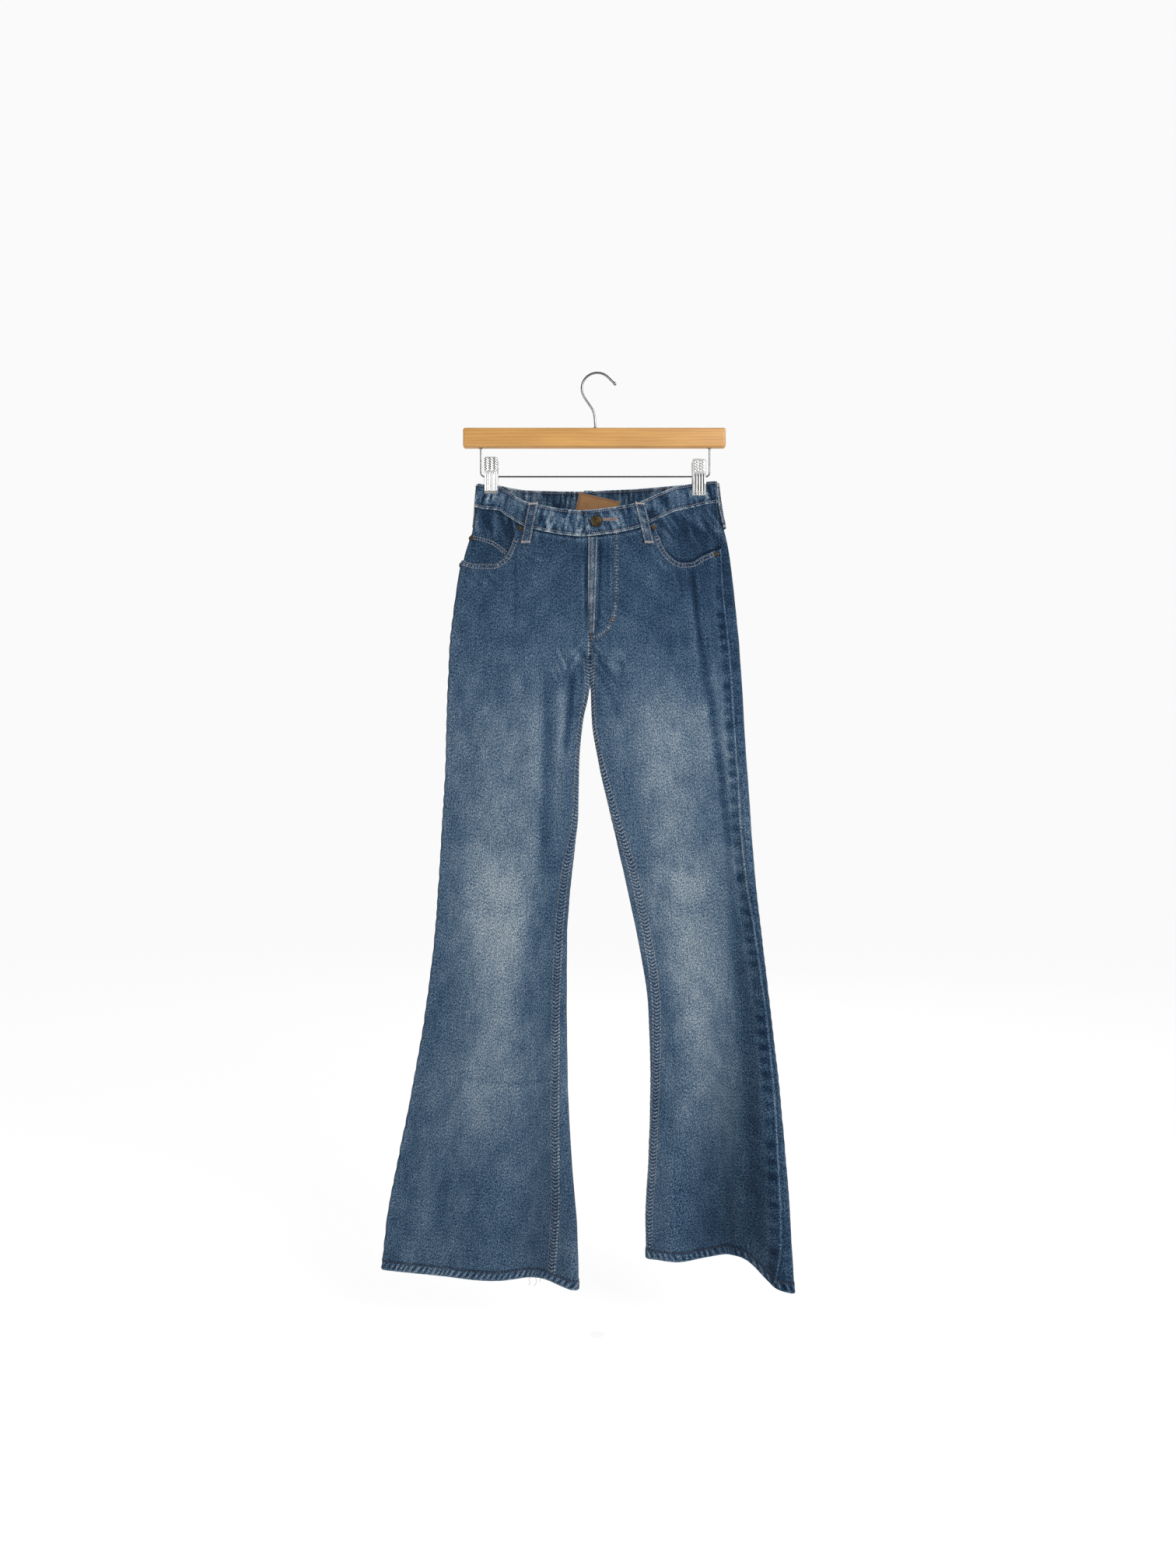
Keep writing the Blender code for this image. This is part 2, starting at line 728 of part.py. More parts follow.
def add_leg_panel(name, half, shares, top_of, is_back):
    """Make a leg panel from the pocket or yoke down to the hem."""
    def bottom_of(turn, drop):
        return hem_drop(half, turn) - HEM_HEIGHT - SEAM_GAP

    torso_rows = np.linspace(0.0, 1.0, TORSO_ROWS)
    leg_rows = np.linspace(0.0, 1.0, LEG_ROWS)
    torso = panel_grid(half, shares, torso_rows, top_of, leg_top, is_back)
    leg = panel_grid(half, shares, leg_rows, leg_top, bottom_of, is_back)
    turn = np.concatenate([torso[0][:-1], leg[0]])
    drop = np.concatenate([torso[1][:-1], leg[1]])
    low = turn.min(axis=1, keepdims=True)
    high = turn.max(axis=1, keepdims=True)
    return add_wall(name, cloth_sheet(half, turn, drop, low, high), DENIM)


def add_front_panels():
    """Make both front panels, each with its scooped pocket mouth."""
    for side, half in HALVES.items():
        shares = FRONT_SHARES[side]

        def top_of(turn, drop, half=half, shares=shares):
            return front_top_drop(half, turn, drop, shares)

        add_leg_panel(f"front_panel_{side}", half, shares, top_of, False)


def add_back_panels():
    """Make both back panels, which start under the yoke."""
    for side, half in HALVES.items():
        def top_of(turn, drop):
            return yoke_seam_drop(turn) + SEAM_GAP

        add_leg_panel(f"back_panel_{side}", half, BACK_SHARES, top_of, True)


def add_yokes():
    """Make both yokes between waistband and back panel."""
    rows = np.linspace(0.0, 1.0, YOKE_ROWS)
    for side, half in HALVES.items():
        def top_of(turn, drop, half=half):
            x = cloth_point(half, turn, drop)[..., 0]
            return waist_seam_drop(x, "back") + WAIST_SEAM_GAP

        def bottom_of(turn, drop):
            return yoke_seam_drop(turn)

        sheet = panel_sheet(half, BACK_SHARES, rows, top_of, bottom_of, True)
        add_wall(f"yoke_{side}", sheet, DENIM)


def add_waistband():
    """Make the waistband as one strip: underlap, right front, back, left front and overlap."""
    shares = np.array(BAND_SHARES)
    there_and_back = np.concatenate([shares, -shares[-2::-1]])
    under_x = np.linspace(UNDERLAP_X, CENTRE_X + 2.0, 4)
    under = front_turn(LEFT, under_x, WAIST_DROP)
    rows = np.linspace(0.0, 1.0, BAND_ROWS)[:, None]
    lap_x = LAP_EDGE_TOP_X + (LAP_EDGE_LOW_X - LAP_EDGE_TOP_X) * rows
    lap = front_turn(RIGHT, lap_x, WAIST_DROP)
    runs = (
        (LEFT, np.tile(under, (BAND_ROWS, 1)), "under"),
        (RIGHT, np.tile(there_and_back, (BAND_ROWS, 1)), "under"),
        (LEFT, np.tile(-there_and_back, (BAND_ROWS, 1)), "over"),
        (RIGHT, lap, "over"),
    )
    sheets = []
    lifts = []
    for half, turn, lap_side in runs:
        is_front = np.mod(turn, 2.0) <= 1.0
        drop = np.full_like(turn, WAIST_DROP)
        for _ in range(SEAM_SEARCH_STEPS):
            x = cloth_point(half, turn, drop)[..., 0]
            front_top = smooth_column(STATIONS, "front_top", x, "x")
            back_top = smooth_column(STATIONS, "back_top", x, "x")
            height = smooth_column(STATIONS, "height", x, "x")
            drop = np.where(is_front, front_top, back_top) + height * rows
        sheets.append(cloth_sheet(half, turn, drop))
        if lap_side == "under":
            lift = UNDERLAP_LIFT * ease(x, *UNDERLAP_RAMP)
        else:
            lift = OVERLAP_LIFT * (1.0 - ease(x, *OVERLAP_RAMP))
        lifts.append(np.where(is_front, lift, 0.0))
    middle = np.concatenate([sheet[0] for sheet in sheets], axis=1)
    normal = np.concatenate([sheet[1] for sheet in sheets], axis=1)
    add_wall("waistband", (middle, normal), BAND_THICKNESS, np.concatenate(lifts, axis=1))


def add_hems():
    """Make the turned hems, each a closed ring of thicker cloth."""
    shares = np.array(BACK_SHARES)
    turns = np.concatenate([shares[:-1], 1.0 + shares[:-1]])
    rows = np.array([[0.0], [1.0]])
    for side, half in HALVES.items():
        turn = np.tile(turns, (2, 1))
        drop = hem_drop(half, turn) - HEM_HEIGHT * (1.0 - rows)
        add_wall(f"hem_{side}", cloth_sheet(half, turn, drop), HEM_THICKNESS, closed=True)


def mouth_drop(half, shares):
    """Drop of the pocket mouth at each share, held level past its corner."""
    return straight_column(half.mouth, "drop", np.asarray(shares, dtype=float)[None, :], "share")


def add_pocket_facings():
    """Make the cloth behind each pocket mouth. The right one lies deeper, under the coin pocket."""
    rows = np.linspace(0.0, 1.0, 4)
    for side, lift in (("right", -LAYER_STEP - PATCH_LIFT), ("left", -LAYER_STEP)):
        half = HALVES[side]
        shares = [share for share in FRONT_SHARES[side] if share <= FACING_SHARE]

        def top_of(turn, drop, half=half):
            x = cloth_point(half, turn, drop)[..., 0]
            return waist_seam_drop(x, "front") + WAIST_SEAM_GAP

        def bottom_of(turn, drop, half=half, shares=shares):
            return mouth_drop(half, shares) + FACING_MARGIN

        sheet = panel_sheet(half, shares, rows, top_of, bottom_of, False)
        add_wall(f"pocket_facing_{side}", sheet, DENIM, lift, finish="denim_dark")


def add_coin_pocket():
    """Make the coin pocket, between the right facing and the edge of the pocket mouth."""
    first, last = COIN_POCKET_TOP[0].share, COIN_POCKET_TOP[-1].share
    shares = [share for share in FRONT_SHARES["right"] if first <= share < last] + [last]

    def top_of(turn, drop):
        return straight_column(COIN_POCKET_TOP, "drop", np.array(shares)[None, :], "share")

    def bottom_of(turn, drop):
        return mouth_drop(RIGHT, shares) + COIN_POCKET_MARGIN

    sheet = panel_sheet(RIGHT, shares, np.linspace(0.0, 1.0, 3), top_of, bottom_of, False)
    add_wall("coin_pocket", sheet, DENIM, -LAYER_STEP, finish="denim_dark")


def layer_sheet(x, drop, is_back=False):
    """Points and normals of the front or back layer at given X and drop, on either half."""
    x, drop = np.broadcast_arrays(np.asarray(x, dtype=float), np.asarray(drop, dtype=float))
    sheets = {}
    for side, half in HALVES.items():
        turn = front_turn(half, x, drop)
        if is_back:
            turn = 2.0 - turn
        low, high = BACK_TURNS if is_back else FRONT_TURNS
        sheets[side] = cloth_sheet(half, np.clip(turn, low, high), drop, low, high)
    on_right = (x < CENTRE_X)[..., None]
    middle = np.where(on_right, sheets["right"][0], sheets["left"][0])
    return middle, np.where(on_right, sheets["right"][1], sheets["left"][1])


def add_back_pockets():
    """Make the two plain patch pockets, wide at the top and pointed below."""
    across = np.linspace(-1.0, 1.0, 9)[None, :]
    rows = np.linspace(0.0, 1.0, 7)[:, None]
    for side, half in HALVES.items():
        half_width = BACK_POCKET_HALF_TOP + (BACK_POCKET_HALF_LOW - BACK_POCKET_HALF_TOP) * rows
        x = CENTRE_X + half.sign * (BACK_POCKET_X + half_width * across)
        top = BACK_POCKET_TOP_DROP - BACK_POCKET_SLOPE * across
        low = BACK_POCKET_TOP_DROP + BACK_POCKET_HEIGHT + BACK_POCKET_POINT * (1.0 - np.abs(across))
        sheet = layer_sheet(x, top + (low - top) * rows, is_back=True)
        add_wall(f"back_pocket_{side}", sheet, DENIM, PATCH_LIFT)


def add_straight_loop(name, top, low, is_back=False):
    """Make a belt loop between two points of a layer."""
    rows = np.linspace(0.0, 1.0, LOOP_ROWS)[:, None]
    across = np.array([[-0.5, 0.0, 0.5]]) * LOOP_WIDTH
    x = top.x + (low.x - top.x) * rows + across
    drop = top.drop + (low.drop - top.drop) * rows + across * 0.0
    add_wall(name, layer_sheet(x, drop, is_back), LOOP_THICKNESS, LOOP_LIFT, finish="denim_light")


def add_side_loop(name, half, width, top, low):
    """Make a belt loop that bends round an outer fold. Its ends are given by run from the fold and drop."""
    rows = np.linspace(0.0, 1.0, LOOP_ROWS)[:, None]
    across = np.linspace(-0.5, 0.5, 7)[None, :] * width
    drop = top.drop + (low.drop - top.drop) * rows + across * 0.0
    run = top.x + (low.x - top.x) * rows + across
    turn = run / half_frame(half, drop)[4]
    add_wall(name, cloth_sheet(half, turn, drop), LOOP_THICKNESS, SIDE_LOOP_LIFT, finish="denim_light")


def add_belt_loops():
    """Make the five belt loops."""
    add_straight_loop("belt_loop_front_right", Point(-85.0, 177.5), Point(-96.0, 233.0))
    add_straight_loop("belt_loop_front_left", Point(55.8, 178.0), Point(69.2, 233.5))
    add_straight_loop("belt_loop_back", Point(CENTRE_X, 155.0), Point(CENTRE_X, 212.0), is_back=True)
    add_side_loop("belt_loop_side_right", RIGHT, SIDE_LOOP_WIDTH, Point(-5.5, 150.0), Point(-9.5, 207.0))
    add_side_loop("belt_loop_side_left", LEFT, SIDE_LOOP_WIDTH, Point(-1.0, 149.0), Point(0.0, 210.0))


def add_fly_placket():
    """Make the lapped edge of the fly, a narrow strip on the left front."""
    rows = np.linspace(0.0, 1.0, 10)[:, None]
    across = np.array([[0.0, 0.5, 1.0]])
    edge = CENTRE_X + SEAM_GAP
    width = PLACKET_TOP_X + (PLACKET_LOW_X - PLACKET_TOP_X) * rows - edge
    drop = PLACKET_TOP_DROP + (PLACKET_LOW_DROP - PLACKET_TOP_DROP) * rows + across * 0.0
    sheet = layer_sheet(edge + width * across, drop)
    add_wall("fly_placket", sheet, DENIM, PLACKET_LIFT, finish="denim_light")


def add_inner_label():
    """Make the plain tan label inside the back of the waistband, hanging a little askew."""
    along = np.linspace(0.0, LABEL_WIDTH, 6)[None, :]
    down = np.linspace(0.0, LABEL_HEIGHT, 3)[:, None]
    x = LABEL_CORNER_X + along * math.cos(LABEL_TILT) - down * math.sin(LABEL_TILT)
    drop = LABEL_CORNER_DROP + along * math.sin(LABEL_TILT) + down * math.cos(LABEL_TILT)
    lift = -(BAND_THICKNESS / 2.0 + SEAM_GAP + LABEL_THICKNESS / 2.0)
    add_wall("inner_label", layer_sheet(x, drop, is_back=True), LABEL_THICKNESS, lift, finish="label")


def add_turned(name, centre, axis, profile, segments, finish):
    """Turn a profile about an axis. The profile starts and ends on the axis."""
    axis = axis / np.linalg.norm(axis)
    side = np.cross(axis, (0.0, 0.0, 1.0))
    side = side / np.linalg.norm(side)
    up = np.cross(side, axis)
    points = [centre + axis * profile[0].along]
    for ring in profile[1:-1]:
        for step in range(segments):
            angle = 2.0 * math.pi * step / segments
            arm = (side * math.cos(angle) + up * math.sin(angle)) * ring.out
            points.append(centre + axis * ring.along + arm)
    points.append(centre + axis * profile[-1].along)
    last_ring = 1 + (len(profile) - 3) * segments
    faces = grid_faces(len(profile) - 2, segments, True, first=1)
    for step in range(segments):
        after = (step + 1) % segments
        faces.append((0, 1 + after, 1 + step))
        faces.append((len(points) - 1, last_ring + step, last_ring + after))
    return add_object(name, points, faces, finish)


def add_button():
    """Make the waist button on the overlap."""
    middle, normal = layer_sheet(BUTTON_X, BUTTON_DROP)
    base = middle + normal * (OVERLAP_LIFT + BAND_THICKNESS / 2.0 + SEAM_GAP)
    add_turned("waist_button", base, normal, BUTTON_PROFILE, ROUND_SEGMENTS, "antique_brass")


def add_rivets():
    """Make the rivets at the pocket corners."""
    for name, rivet in RIVETS.items():
        middle, normal = layer_sheet(rivet.x, rivet.drop)
        base = middle + normal * (rivet.lift + DENIM / 2.0 + SEAM_GAP)
        add_turned(name, base, normal, RIVET_PROFILE, RIVET_SEGMENTS, "antique_brass")


def add_wire(name, points, wire, end_radius=1.0):
    """Make a round wire through points that are given as X and drop."""
    curve = bpy.data.curves.new(name, "CURVE")
    curve.dimensions = "3D"
    curve.bevel_depth = wire / 2.0 * MM
    curve.bevel_resolution = 2
    curve.use_fill_caps = True
    spline = curve.splines.new("POLY")
    spline.points.add(len(points) - 1)
    for target, point in zip(spline.points, points):
        target.co = (point.x * MM, 0.0, -point.drop * MM, 1.0)
    spline.points[-1].radius = end_radius
    curve.materials.append(material("steel"))
    thing = bpy.data.objects.new(name, curve)
    bpy.context.scene.collection.objects.link(thing)
    return thing


def arc_points(centre, radius, start, end, steps):
    """Points of an arc, its angles in degrees from +X towards +Z."""
    points = []
    for step in range(steps + 1):
        angle = math.radians(start + (end - start) * step / steps)
        points.append(Point(centre.x + radius * math.cos(angle), centre.drop - radius * math.sin(angle)))
    return points


def add_hook():
    """Make the wire hook: neck, round bend and straight tip."""
    centre = Point(0.0, HOOK_BEND - HOOK_WIRE / 2.0)
    bend = arc_points(centre, HOOK_BEND, HOOK_BEND_START, HOOK_BEND_END, HOOK_BEND_STEPS)
    last = bend[-1]
    reach = HOOK_TIP_LENGTH * math.sqrt(0.5)
    tip = [Point(last.x + reach * part, last.drop + reach * part) for part in (0.5, 0.88, 1.0)]
    add_wire("hanger_hook", list(HOOK_NECK) + bend + tip, HOOK_WIRE, HOOK_TIP_BALL)


def add_rod():
    """Make the wire rod that hangs from both ends of the bar and carries the clips."""
    start = BAR_TOP + BAR_HEIGHT + SEAM_GAP
    corner_drop = ROD_DROP - ROD_CORNER
    left_corner = Point(ROD_LEFT_X + ROD_CORNER, corner_drop)
    right_corner = Point(ROD_RIGHT_X - ROD_CORNER, corner_drop)
    points = [Point(ROD_LEFT_X, start)]
    points += arc_points(left_corner, ROD_CORNER, 180.0, 270.0, 5)
    points += arc_points(right_corner, ROD_CORNER, 270.0, 360.0, 5)
    points.append(Point(ROD_RIGHT_X, start))
    add_wire("hanger_rod", points, ROD_WIRE)


def add_bar():
    """Make the wooden bar with softened edges."""
    mesh = bpy.data.meshes.new("hanger_bar")
    work = bmesh.new()
    bmesh.ops.create_cube(work, size=1.0)
    for corner in work.verts:
        corner.co.x = (corner.co.x * BAR_LENGTH + BAR_CENTRE_X) * MM
        corner.co.y = corner.co.y * BAR_DEPTH * MM
        corner.co.z = (corner.co.z * BAR_HEIGHT - BAR_TOP - BAR_HEIGHT / 2.0) * MM
    bmesh.ops.bevel(work, geom=work.edges[:], offset=BAR_EDGE * MM, segments=2, profile=0.5, affect="EDGES")
    work.to_mesh(mesh)
    work.free()
    mesh.materials.append(material("wood"))
    bar = bpy.data.objects.new("hanger_bar", mesh)
    bpy.context.scene.collection.objects.link(bar)


def add_clip(side, clip):
    """Make a clip: a front plate, a back plate and the coiled spring between them on the rod."""
    x = np.array([[-0.5, 0.5]]) * CLIP_WIDTH + clip.x
    drop = np.array([[point.along + clip.top] for point in CLIP_PROFILE])
    out = np.array([[point.out] for point in CLIP_PROFILE])
    for plate, sign in (("front", -1.0), ("back", 1.0)):
        y = sign * out
        middle = np.stack(np.broadcast_arrays(x, y, -drop), axis=-1)
        slope = np.gradient(y[:, 0], -drop[:, 0])
        flat = np.zeros_like(slope)
        normal = np.stack([flat, np.full_like(slope, sign), -sign * slope], axis=-1)
        normal = normal / np.linalg.norm(normal, axis=-1, keepdims=True)
        normal = np.repeat(normal[:, None, :], 2, axis=1)
        add_wall(f"clip_{side}_{plate}", (middle, normal), CLIP_SHEET, finish="steel")
    add_spring(side, clip)


def add_spring(side, clip):
    """Make the spring's outer form, a sleeve on the rod."""
    angle = np.linspace(0.0, 2.0 * math.pi, ROUND_SEGMENTS, endpoint=False)[None, :]
    x = clip.x + np.array([[-0.5], [0.5]]) * SPRING_LENGTH
    bore = ROD_WIRE / 2.0 + SEAM_GAP
    radius = (SPRING_RADIUS + bore) / 2.0
    normal = np.stack(np.broadcast_arrays(x * 0.0, np.cos(angle), np.sin(angle)), axis=-1)
    axis = np.stack(np.broadcast_arrays(x, 0.0 * angle, -ROD_DROP + 0.0 * angle), axis=-1)
    sheet = (axis + normal * radius, normal)
    add_wall(f"clip_{side}_spring", sheet, SPRING_RADIUS - bore, closed=True, finish="steel")


def main():
    """Clear the scene and build every piece."""
    for thing in list(bpy.data.objects):
        bpy.data.objects.remove(thing, do_unlink=True)
    add_front_panels()
    add_back_panels()
    add_yokes()
    add_waistband()
    add_hems()
    add_pocket_facings()
    add_coin_pocket()
    add_back_pockets()
    add_belt_loops()
    add_fly_placket()
    add_inner_label()
    add_button()
    add_rivets()
    add_bar()
    add_hook()
    add_rod()
    for side, clip in CLIPS.items():
        add_clip(side, clip)


if __name__ == "__main__":
    main()
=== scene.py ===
"""Flared jeans on a clip hanger: every visible surface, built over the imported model.

Lengths in the tables are millimetres. "Drop" is the distance below the hang point, X runs along the hanger
and -Y faces the viewer. Left and right are the wearer's. Each trouser half is a flattened tube of cloth, and
a place on it is a turn and a drop: turn 0 is the outer fold, 0 to 1 the front layer, 1 the inner fold or the
centre line, and 1 to 2 the back layer.
"""

import logging
import math
from dataclasses import dataclass, field
from enum import Enum
from typing import Callable, Iterable, Optional, Sequence, Union

import bpy
import numpy as np
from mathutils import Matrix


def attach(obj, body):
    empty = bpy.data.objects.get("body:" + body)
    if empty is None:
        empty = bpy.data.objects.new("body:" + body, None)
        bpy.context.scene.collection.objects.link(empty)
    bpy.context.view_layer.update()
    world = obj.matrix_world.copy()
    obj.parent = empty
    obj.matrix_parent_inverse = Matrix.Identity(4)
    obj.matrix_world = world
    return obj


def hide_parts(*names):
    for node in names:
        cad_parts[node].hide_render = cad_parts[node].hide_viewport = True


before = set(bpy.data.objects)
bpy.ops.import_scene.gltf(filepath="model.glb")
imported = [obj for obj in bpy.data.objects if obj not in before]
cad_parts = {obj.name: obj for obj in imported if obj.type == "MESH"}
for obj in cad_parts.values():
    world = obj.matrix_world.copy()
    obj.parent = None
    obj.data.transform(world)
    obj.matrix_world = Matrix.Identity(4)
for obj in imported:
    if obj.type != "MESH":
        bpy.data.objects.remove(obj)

Array = np.ndarray
Number = Union[float, Array]
LOG = logging.getLogger("jeans")

MM = 0.001
TAU = 2.0 * math.pi
SEAM_GAP = 0.3
WAIST_SEAM_GAP = 0.6
DENIM = 1.1
BAND_THICKNESS = 2.8
HEM_THICKNESS = 2.6
HEM_HEIGHT = 13.0
LAYER_STEP = DENIM + SEAM_GAP
PATCH_LIFT = LAYER_STEP + 0.5
LOOP_THICKNESS = 1.6
LOOP_LIFT = BAND_THICKNESS / 2.0 + SEAM_GAP + LOOP_THICKNESS / 2.0

CENTRE_X = -12.5
WAIST_DROP = 178.0
WAIST_BLEND = 165.0
CENTRE_SEAM_TURNS_IN = 240.0
CROTCH_DROP = 380.0
YOKE_SIDE_DROP = 222.0
YOKE_CENTRE_DROP = 262.0
SEAM_SEARCH_STEPS = 12
DIFFERENCE_STEP = 0.05
SHARP_METAL = 60.0
SHORTEST = 1e-9
CURL_SOFTNESS = 12.0
LEG_TOP_DROP = 386.0
FIRST_TURN, LAST_TURN = -9.0, 9.0
FRONT_TURNS = (-0.5, 1.0)
BACK_TURNS = (1.0001, 2.5)


class Layer(Enum):
    """Which side of the flattened garment a place is on."""

    FRONT = "front"
    BACK = "back"


class Yarn(Enum):
    """The sewing threads that show."""

    PALE = "thread_pale"
    BROWN = "thread_brown"
    ROSE = "thread_rose"


@dataclass(frozen=True)
class Level:
    """One height of a trouser half: X of its two folds and how far its two seams run from them."""

    drop: float
    outer: float
    inner: float
    outseam: float
    inseam: float


@dataclass(frozen=True)
class Depth:
    """Distance between front and back layer in mid-width, and the radius of the folded edges."""

    drop: float
    between: float
    fold: float


@dataclass(frozen=True)
class Station:
    """One place along the waistband: its top edges, its height and how far its two layers stand apart."""

    x: float
    front_top: float
    back_top: float
    front_y: float
    back_y: float
    height: float


@dataclass(frozen=True)
class Mouth:
    """One point of a pocket edge, by its share of the way from outseam to centre."""

    share: float
    drop: float


@dataclass(frozen=True)
class Wave:
    """One long soft fold down a leg. A positive depth goes to the back."""

    top_x: float
    hem_x: float
    half_width: float
    depth: float
    start: float


@dataclass(frozen=True)
class Curl:
    """Where the outer quarter of a leg leaves the flat, how far forward its edge stands, and which share of
    the way from crease to edge the soft bend between them takes."""

    drop: float
    crease: float
    forward: float
    reached: float


@dataclass(frozen=True)
class Crease:
    """A soft trough or ridge, placed along a bend of three places. A negative height is a trough."""

    layer: Layer
    start: tuple
    middle: tuple
    end: tuple
    half_width: float
    height: float


@dataclass(frozen=True)
class FadeOrShade:
    """A worn, lighter patch of cloth, or a darker one where its strength is negative: painted shade where the left
    leg's outer edge turns forward, away from the light, and a darker tone towards the hems.
    """

    layer: Layer
    x: float
    drop: float
    half_width: float
    half_height: float
    strength: float
    lean: float = 0.0


def table(kind: type, *shared: object, rows: Sequence) -> tuple:
    """Rows of one kind, whose first values are the shared ones."""
    return tuple(kind(*shared, *row) for row in rows)


STATIONS = table(Station, rows=(
    (-170, 146, 146, -4.5, 4.5, 32),
    (-154, 150, 150, -2.3, 2.3, 33),
    (-133.5, 152, 150.5, -2.3, 2.3, 33),
    (-122, 159.5, 152.5, -4.5, 4, 33.5),
    (-92, 177, 156, -14, 7, 34),
    (-19, 190, 156.8, -24, 10, 34),
    (15, 186.8, 155, -24, 10, 34),
    (50.5, 179.5, 153.7, -20, 9, 34),
    (86, 162.6, 151.5, -10, 6, 33.5),
    (106, 153.5, 150.3, -4, 3.5, 33),
    (127, 149.5, 149, -2.3, 2.3, 32),
    (148, 146.5, 147, -2.3, 2.3, 30),
    (170, 145, 145, -4.5, 4.5, 29),
))

DEPTHS = table(Depth, rows=(
    (146, 9, 4.5),
    (178, 10, 4.5),
    (250, 30, 5.5),
    (330, 37, 6.5),
    (386, 36, 7),
    (470, 30, 7),
    (600, 25, 6.5),
    (760, 20, 6),
    (900, 19, 6),
    (1060, 21, 6),
    (1240, 24, 6.5),
))


def smooth_column(rows: Sequence, name: str, at: Number, key: str = "drop") -> Array:
    """Read a named column of a table at any key.

    Between two rows it is the cubic that meets both values with the slopes of a monotone curve, whose inner
    slopes are twice the product of the two neighbouring rises over their sum.

    Args:
        rows: The table.
        name: The column that is read.
        at: Where it is read, held level past both ends.
        key: The column that holds the places.

    Returns:
        The values, in the shape of at.
    """
    keys = np.array([getattr(row, key) for row in rows], dtype=float)
    values = np.array([getattr(row, name) for row in rows], dtype=float)
    step = np.diff(keys)
    rise = np.diff(values) / step
    slope = np.zeros_like(values)
    product = rise[:-1] * rise[1:]
    total = np.where(product > 0.0, rise[:-1] + rise[1:], 1.0)
    slope[1:-1] = np.where(product > 0.0, 2.0 * product / total, 0.0)
    slope[0] = rise[0]
    slope[-1] = rise[-1]
    at = np.clip(at, keys[0], keys[-1])
    index = np.clip(np.searchsorted(keys, at, side="right") - 1, 0, len(step) - 1)
    width = step[index]
    part = (at - keys[index]) / width
    start = values[index] * (1.0 + 2.0 * part) * (1.0 - part) ** 2
    end = values[index + 1] * part**2 * (3.0 - 2.0 * part)
    bend = slope[index] * part * (1.0 - part) ** 2 - slope[index + 1] * part**2 * (1.0 - part)
    return start + end + bend * width


def station(name: str, x: Number) -> Array:
    """Read a column of the waistband's stations at an X."""
    return smooth_column(STATIONS, name, x, "x")


def ease(value: Number, low: Number, high: Number) -> Array:
    """Go smoothly from 0 at low to 1 at high."""
    part = np.clip((value - low) / (high - low), 0.0, 1.0)
    return part * part * (3.0 - 2.0 * part)


def bell(offset: Number, width: Number = 1.0) -> Array:
    """Gaussian of an offset: exp(-(offset / width)²)."""
    return np.exp(-((offset / width) ** 2))


def unit(vectors: Array) -> Array:
    """Vectors of length one, along the last axis."""
    return vectors / np.linalg.norm(vectors, axis=-1, keepdims=True)


def way_along(line: Array) -> Array:
    """Distance along a line to each of its points."""
    return np.concatenate([[0.0], np.cumsum(np.linalg.norm(np.diff(line, axis=0), axis=1))])


def read_along(values: Array, way: Array, at: Array) -> Array:
    """Values of a line's points at distances along it, straight between the points."""
    return np.stack([np.interp(at, way, column) for column in values.T], axis=-1)


def hashed(cell: Array, seed: float) -> Array:
    """Give each whole number a fixed fraction from 0 to 1: the fraction of a large sine."""
    wide = np.sin(cell * 127.1 + seed * 311.7) * 43758.5453
    return wide - np.floor(wide)


def ripple(along: Array, seed: float) -> Array:
    """Smooth noise on a line, from -1 to 1, with one random value for each unit of length.

    Args:
        along: Places, in units.
        seed: Chooses the values.

    Returns:
        The eased mixture of the two nearest values.
    """
    cell = np.floor(along)
    part = ease(along - cell, 0.0, 1.0)
    low, high = hashed(cell, seed), hashed(cell + 1.0, seed)
    return (low + (high - low) * part) * 2.0 - 1.0


def mottle(across: Array, down: Array, seed: float) -> Array:
    """Smooth noise on a plane, from -1 to 1: two lines of noise, eased from one row to the next."""
    row, cell = np.floor(down), np.floor(across)
    step = ease(across - cell, 0.0, 1.0)

    def line(below: float) -> Array:
        left, right = (hashed(cell + beyond + (row + below) * 57.31, seed) for beyond in (0.0, 1.0))
        return left + (right - left) * step

    top = line(0.0)
    return (top + (line(1.0) - top) * ease(down - row, 0.0, 1.0)) * 2.0 - 1.0


LAP_EDGE_TOP_X = -19.0
LAP_EDGE_LOW_X = -12.8
UNDERLAP_X = 8.0
UNDERLAP_RAMP = (-44.0, -24.0)
OVERLAP_RAMP = (11.0, 46.0)
UNDERLAP_LIFT = -1.6
OVERLAP_LIFT = 1.5
LOOP_WIDTH = 12.0
SIDE_LOOP_WIDTH = 10.0
PLACKET_TOP_X = 0.0
PLACKET_LOW_X = -4.3
PLACKET_TOP_DROP = 225.4
PLACKET_LOW_DROP = 352.0
PLACKET_LIFT = LAYER_STEP + 0.2
FACING_SHARE = 0.56
FACING_MARGIN = 14.0
COIN_POCKET_MARGIN = 8.0
COIN_POCKET_TOP = (Mouth(0.06, 218.0), Mouth(0.225, 224.6), Mouth(0.383, 241.0), Mouth(0.395, 243.4))
BACK_POCKET_X = 88.0
BACK_POCKET_TOP_DROP = 262.0
BACK_POCKET_SLOPE = 7.0
BACK_POCKET_HEIGHT = 112.0
BACK_POCKET_POINT = 18.0
BACK_POCKET_HALF_TOP = 72.0
BACK_POCKET_HALF_LOW = 61.0
PATCH_PARTS = ("points", "normals", "across", "drop", "wear")


def centre_opening(drop: Number) -> Array:
    """Share of the full depth that the centre line keeps: 1 at the waist, 0 from the crotch down."""
    part = np.clip((drop - CENTRE_SEAM_TURNS_IN) / (CROTCH_DROP - CENTRE_SEAM_TURNS_IN), 0.0, 1.0)
    return np.sqrt(1.0 - part * part)


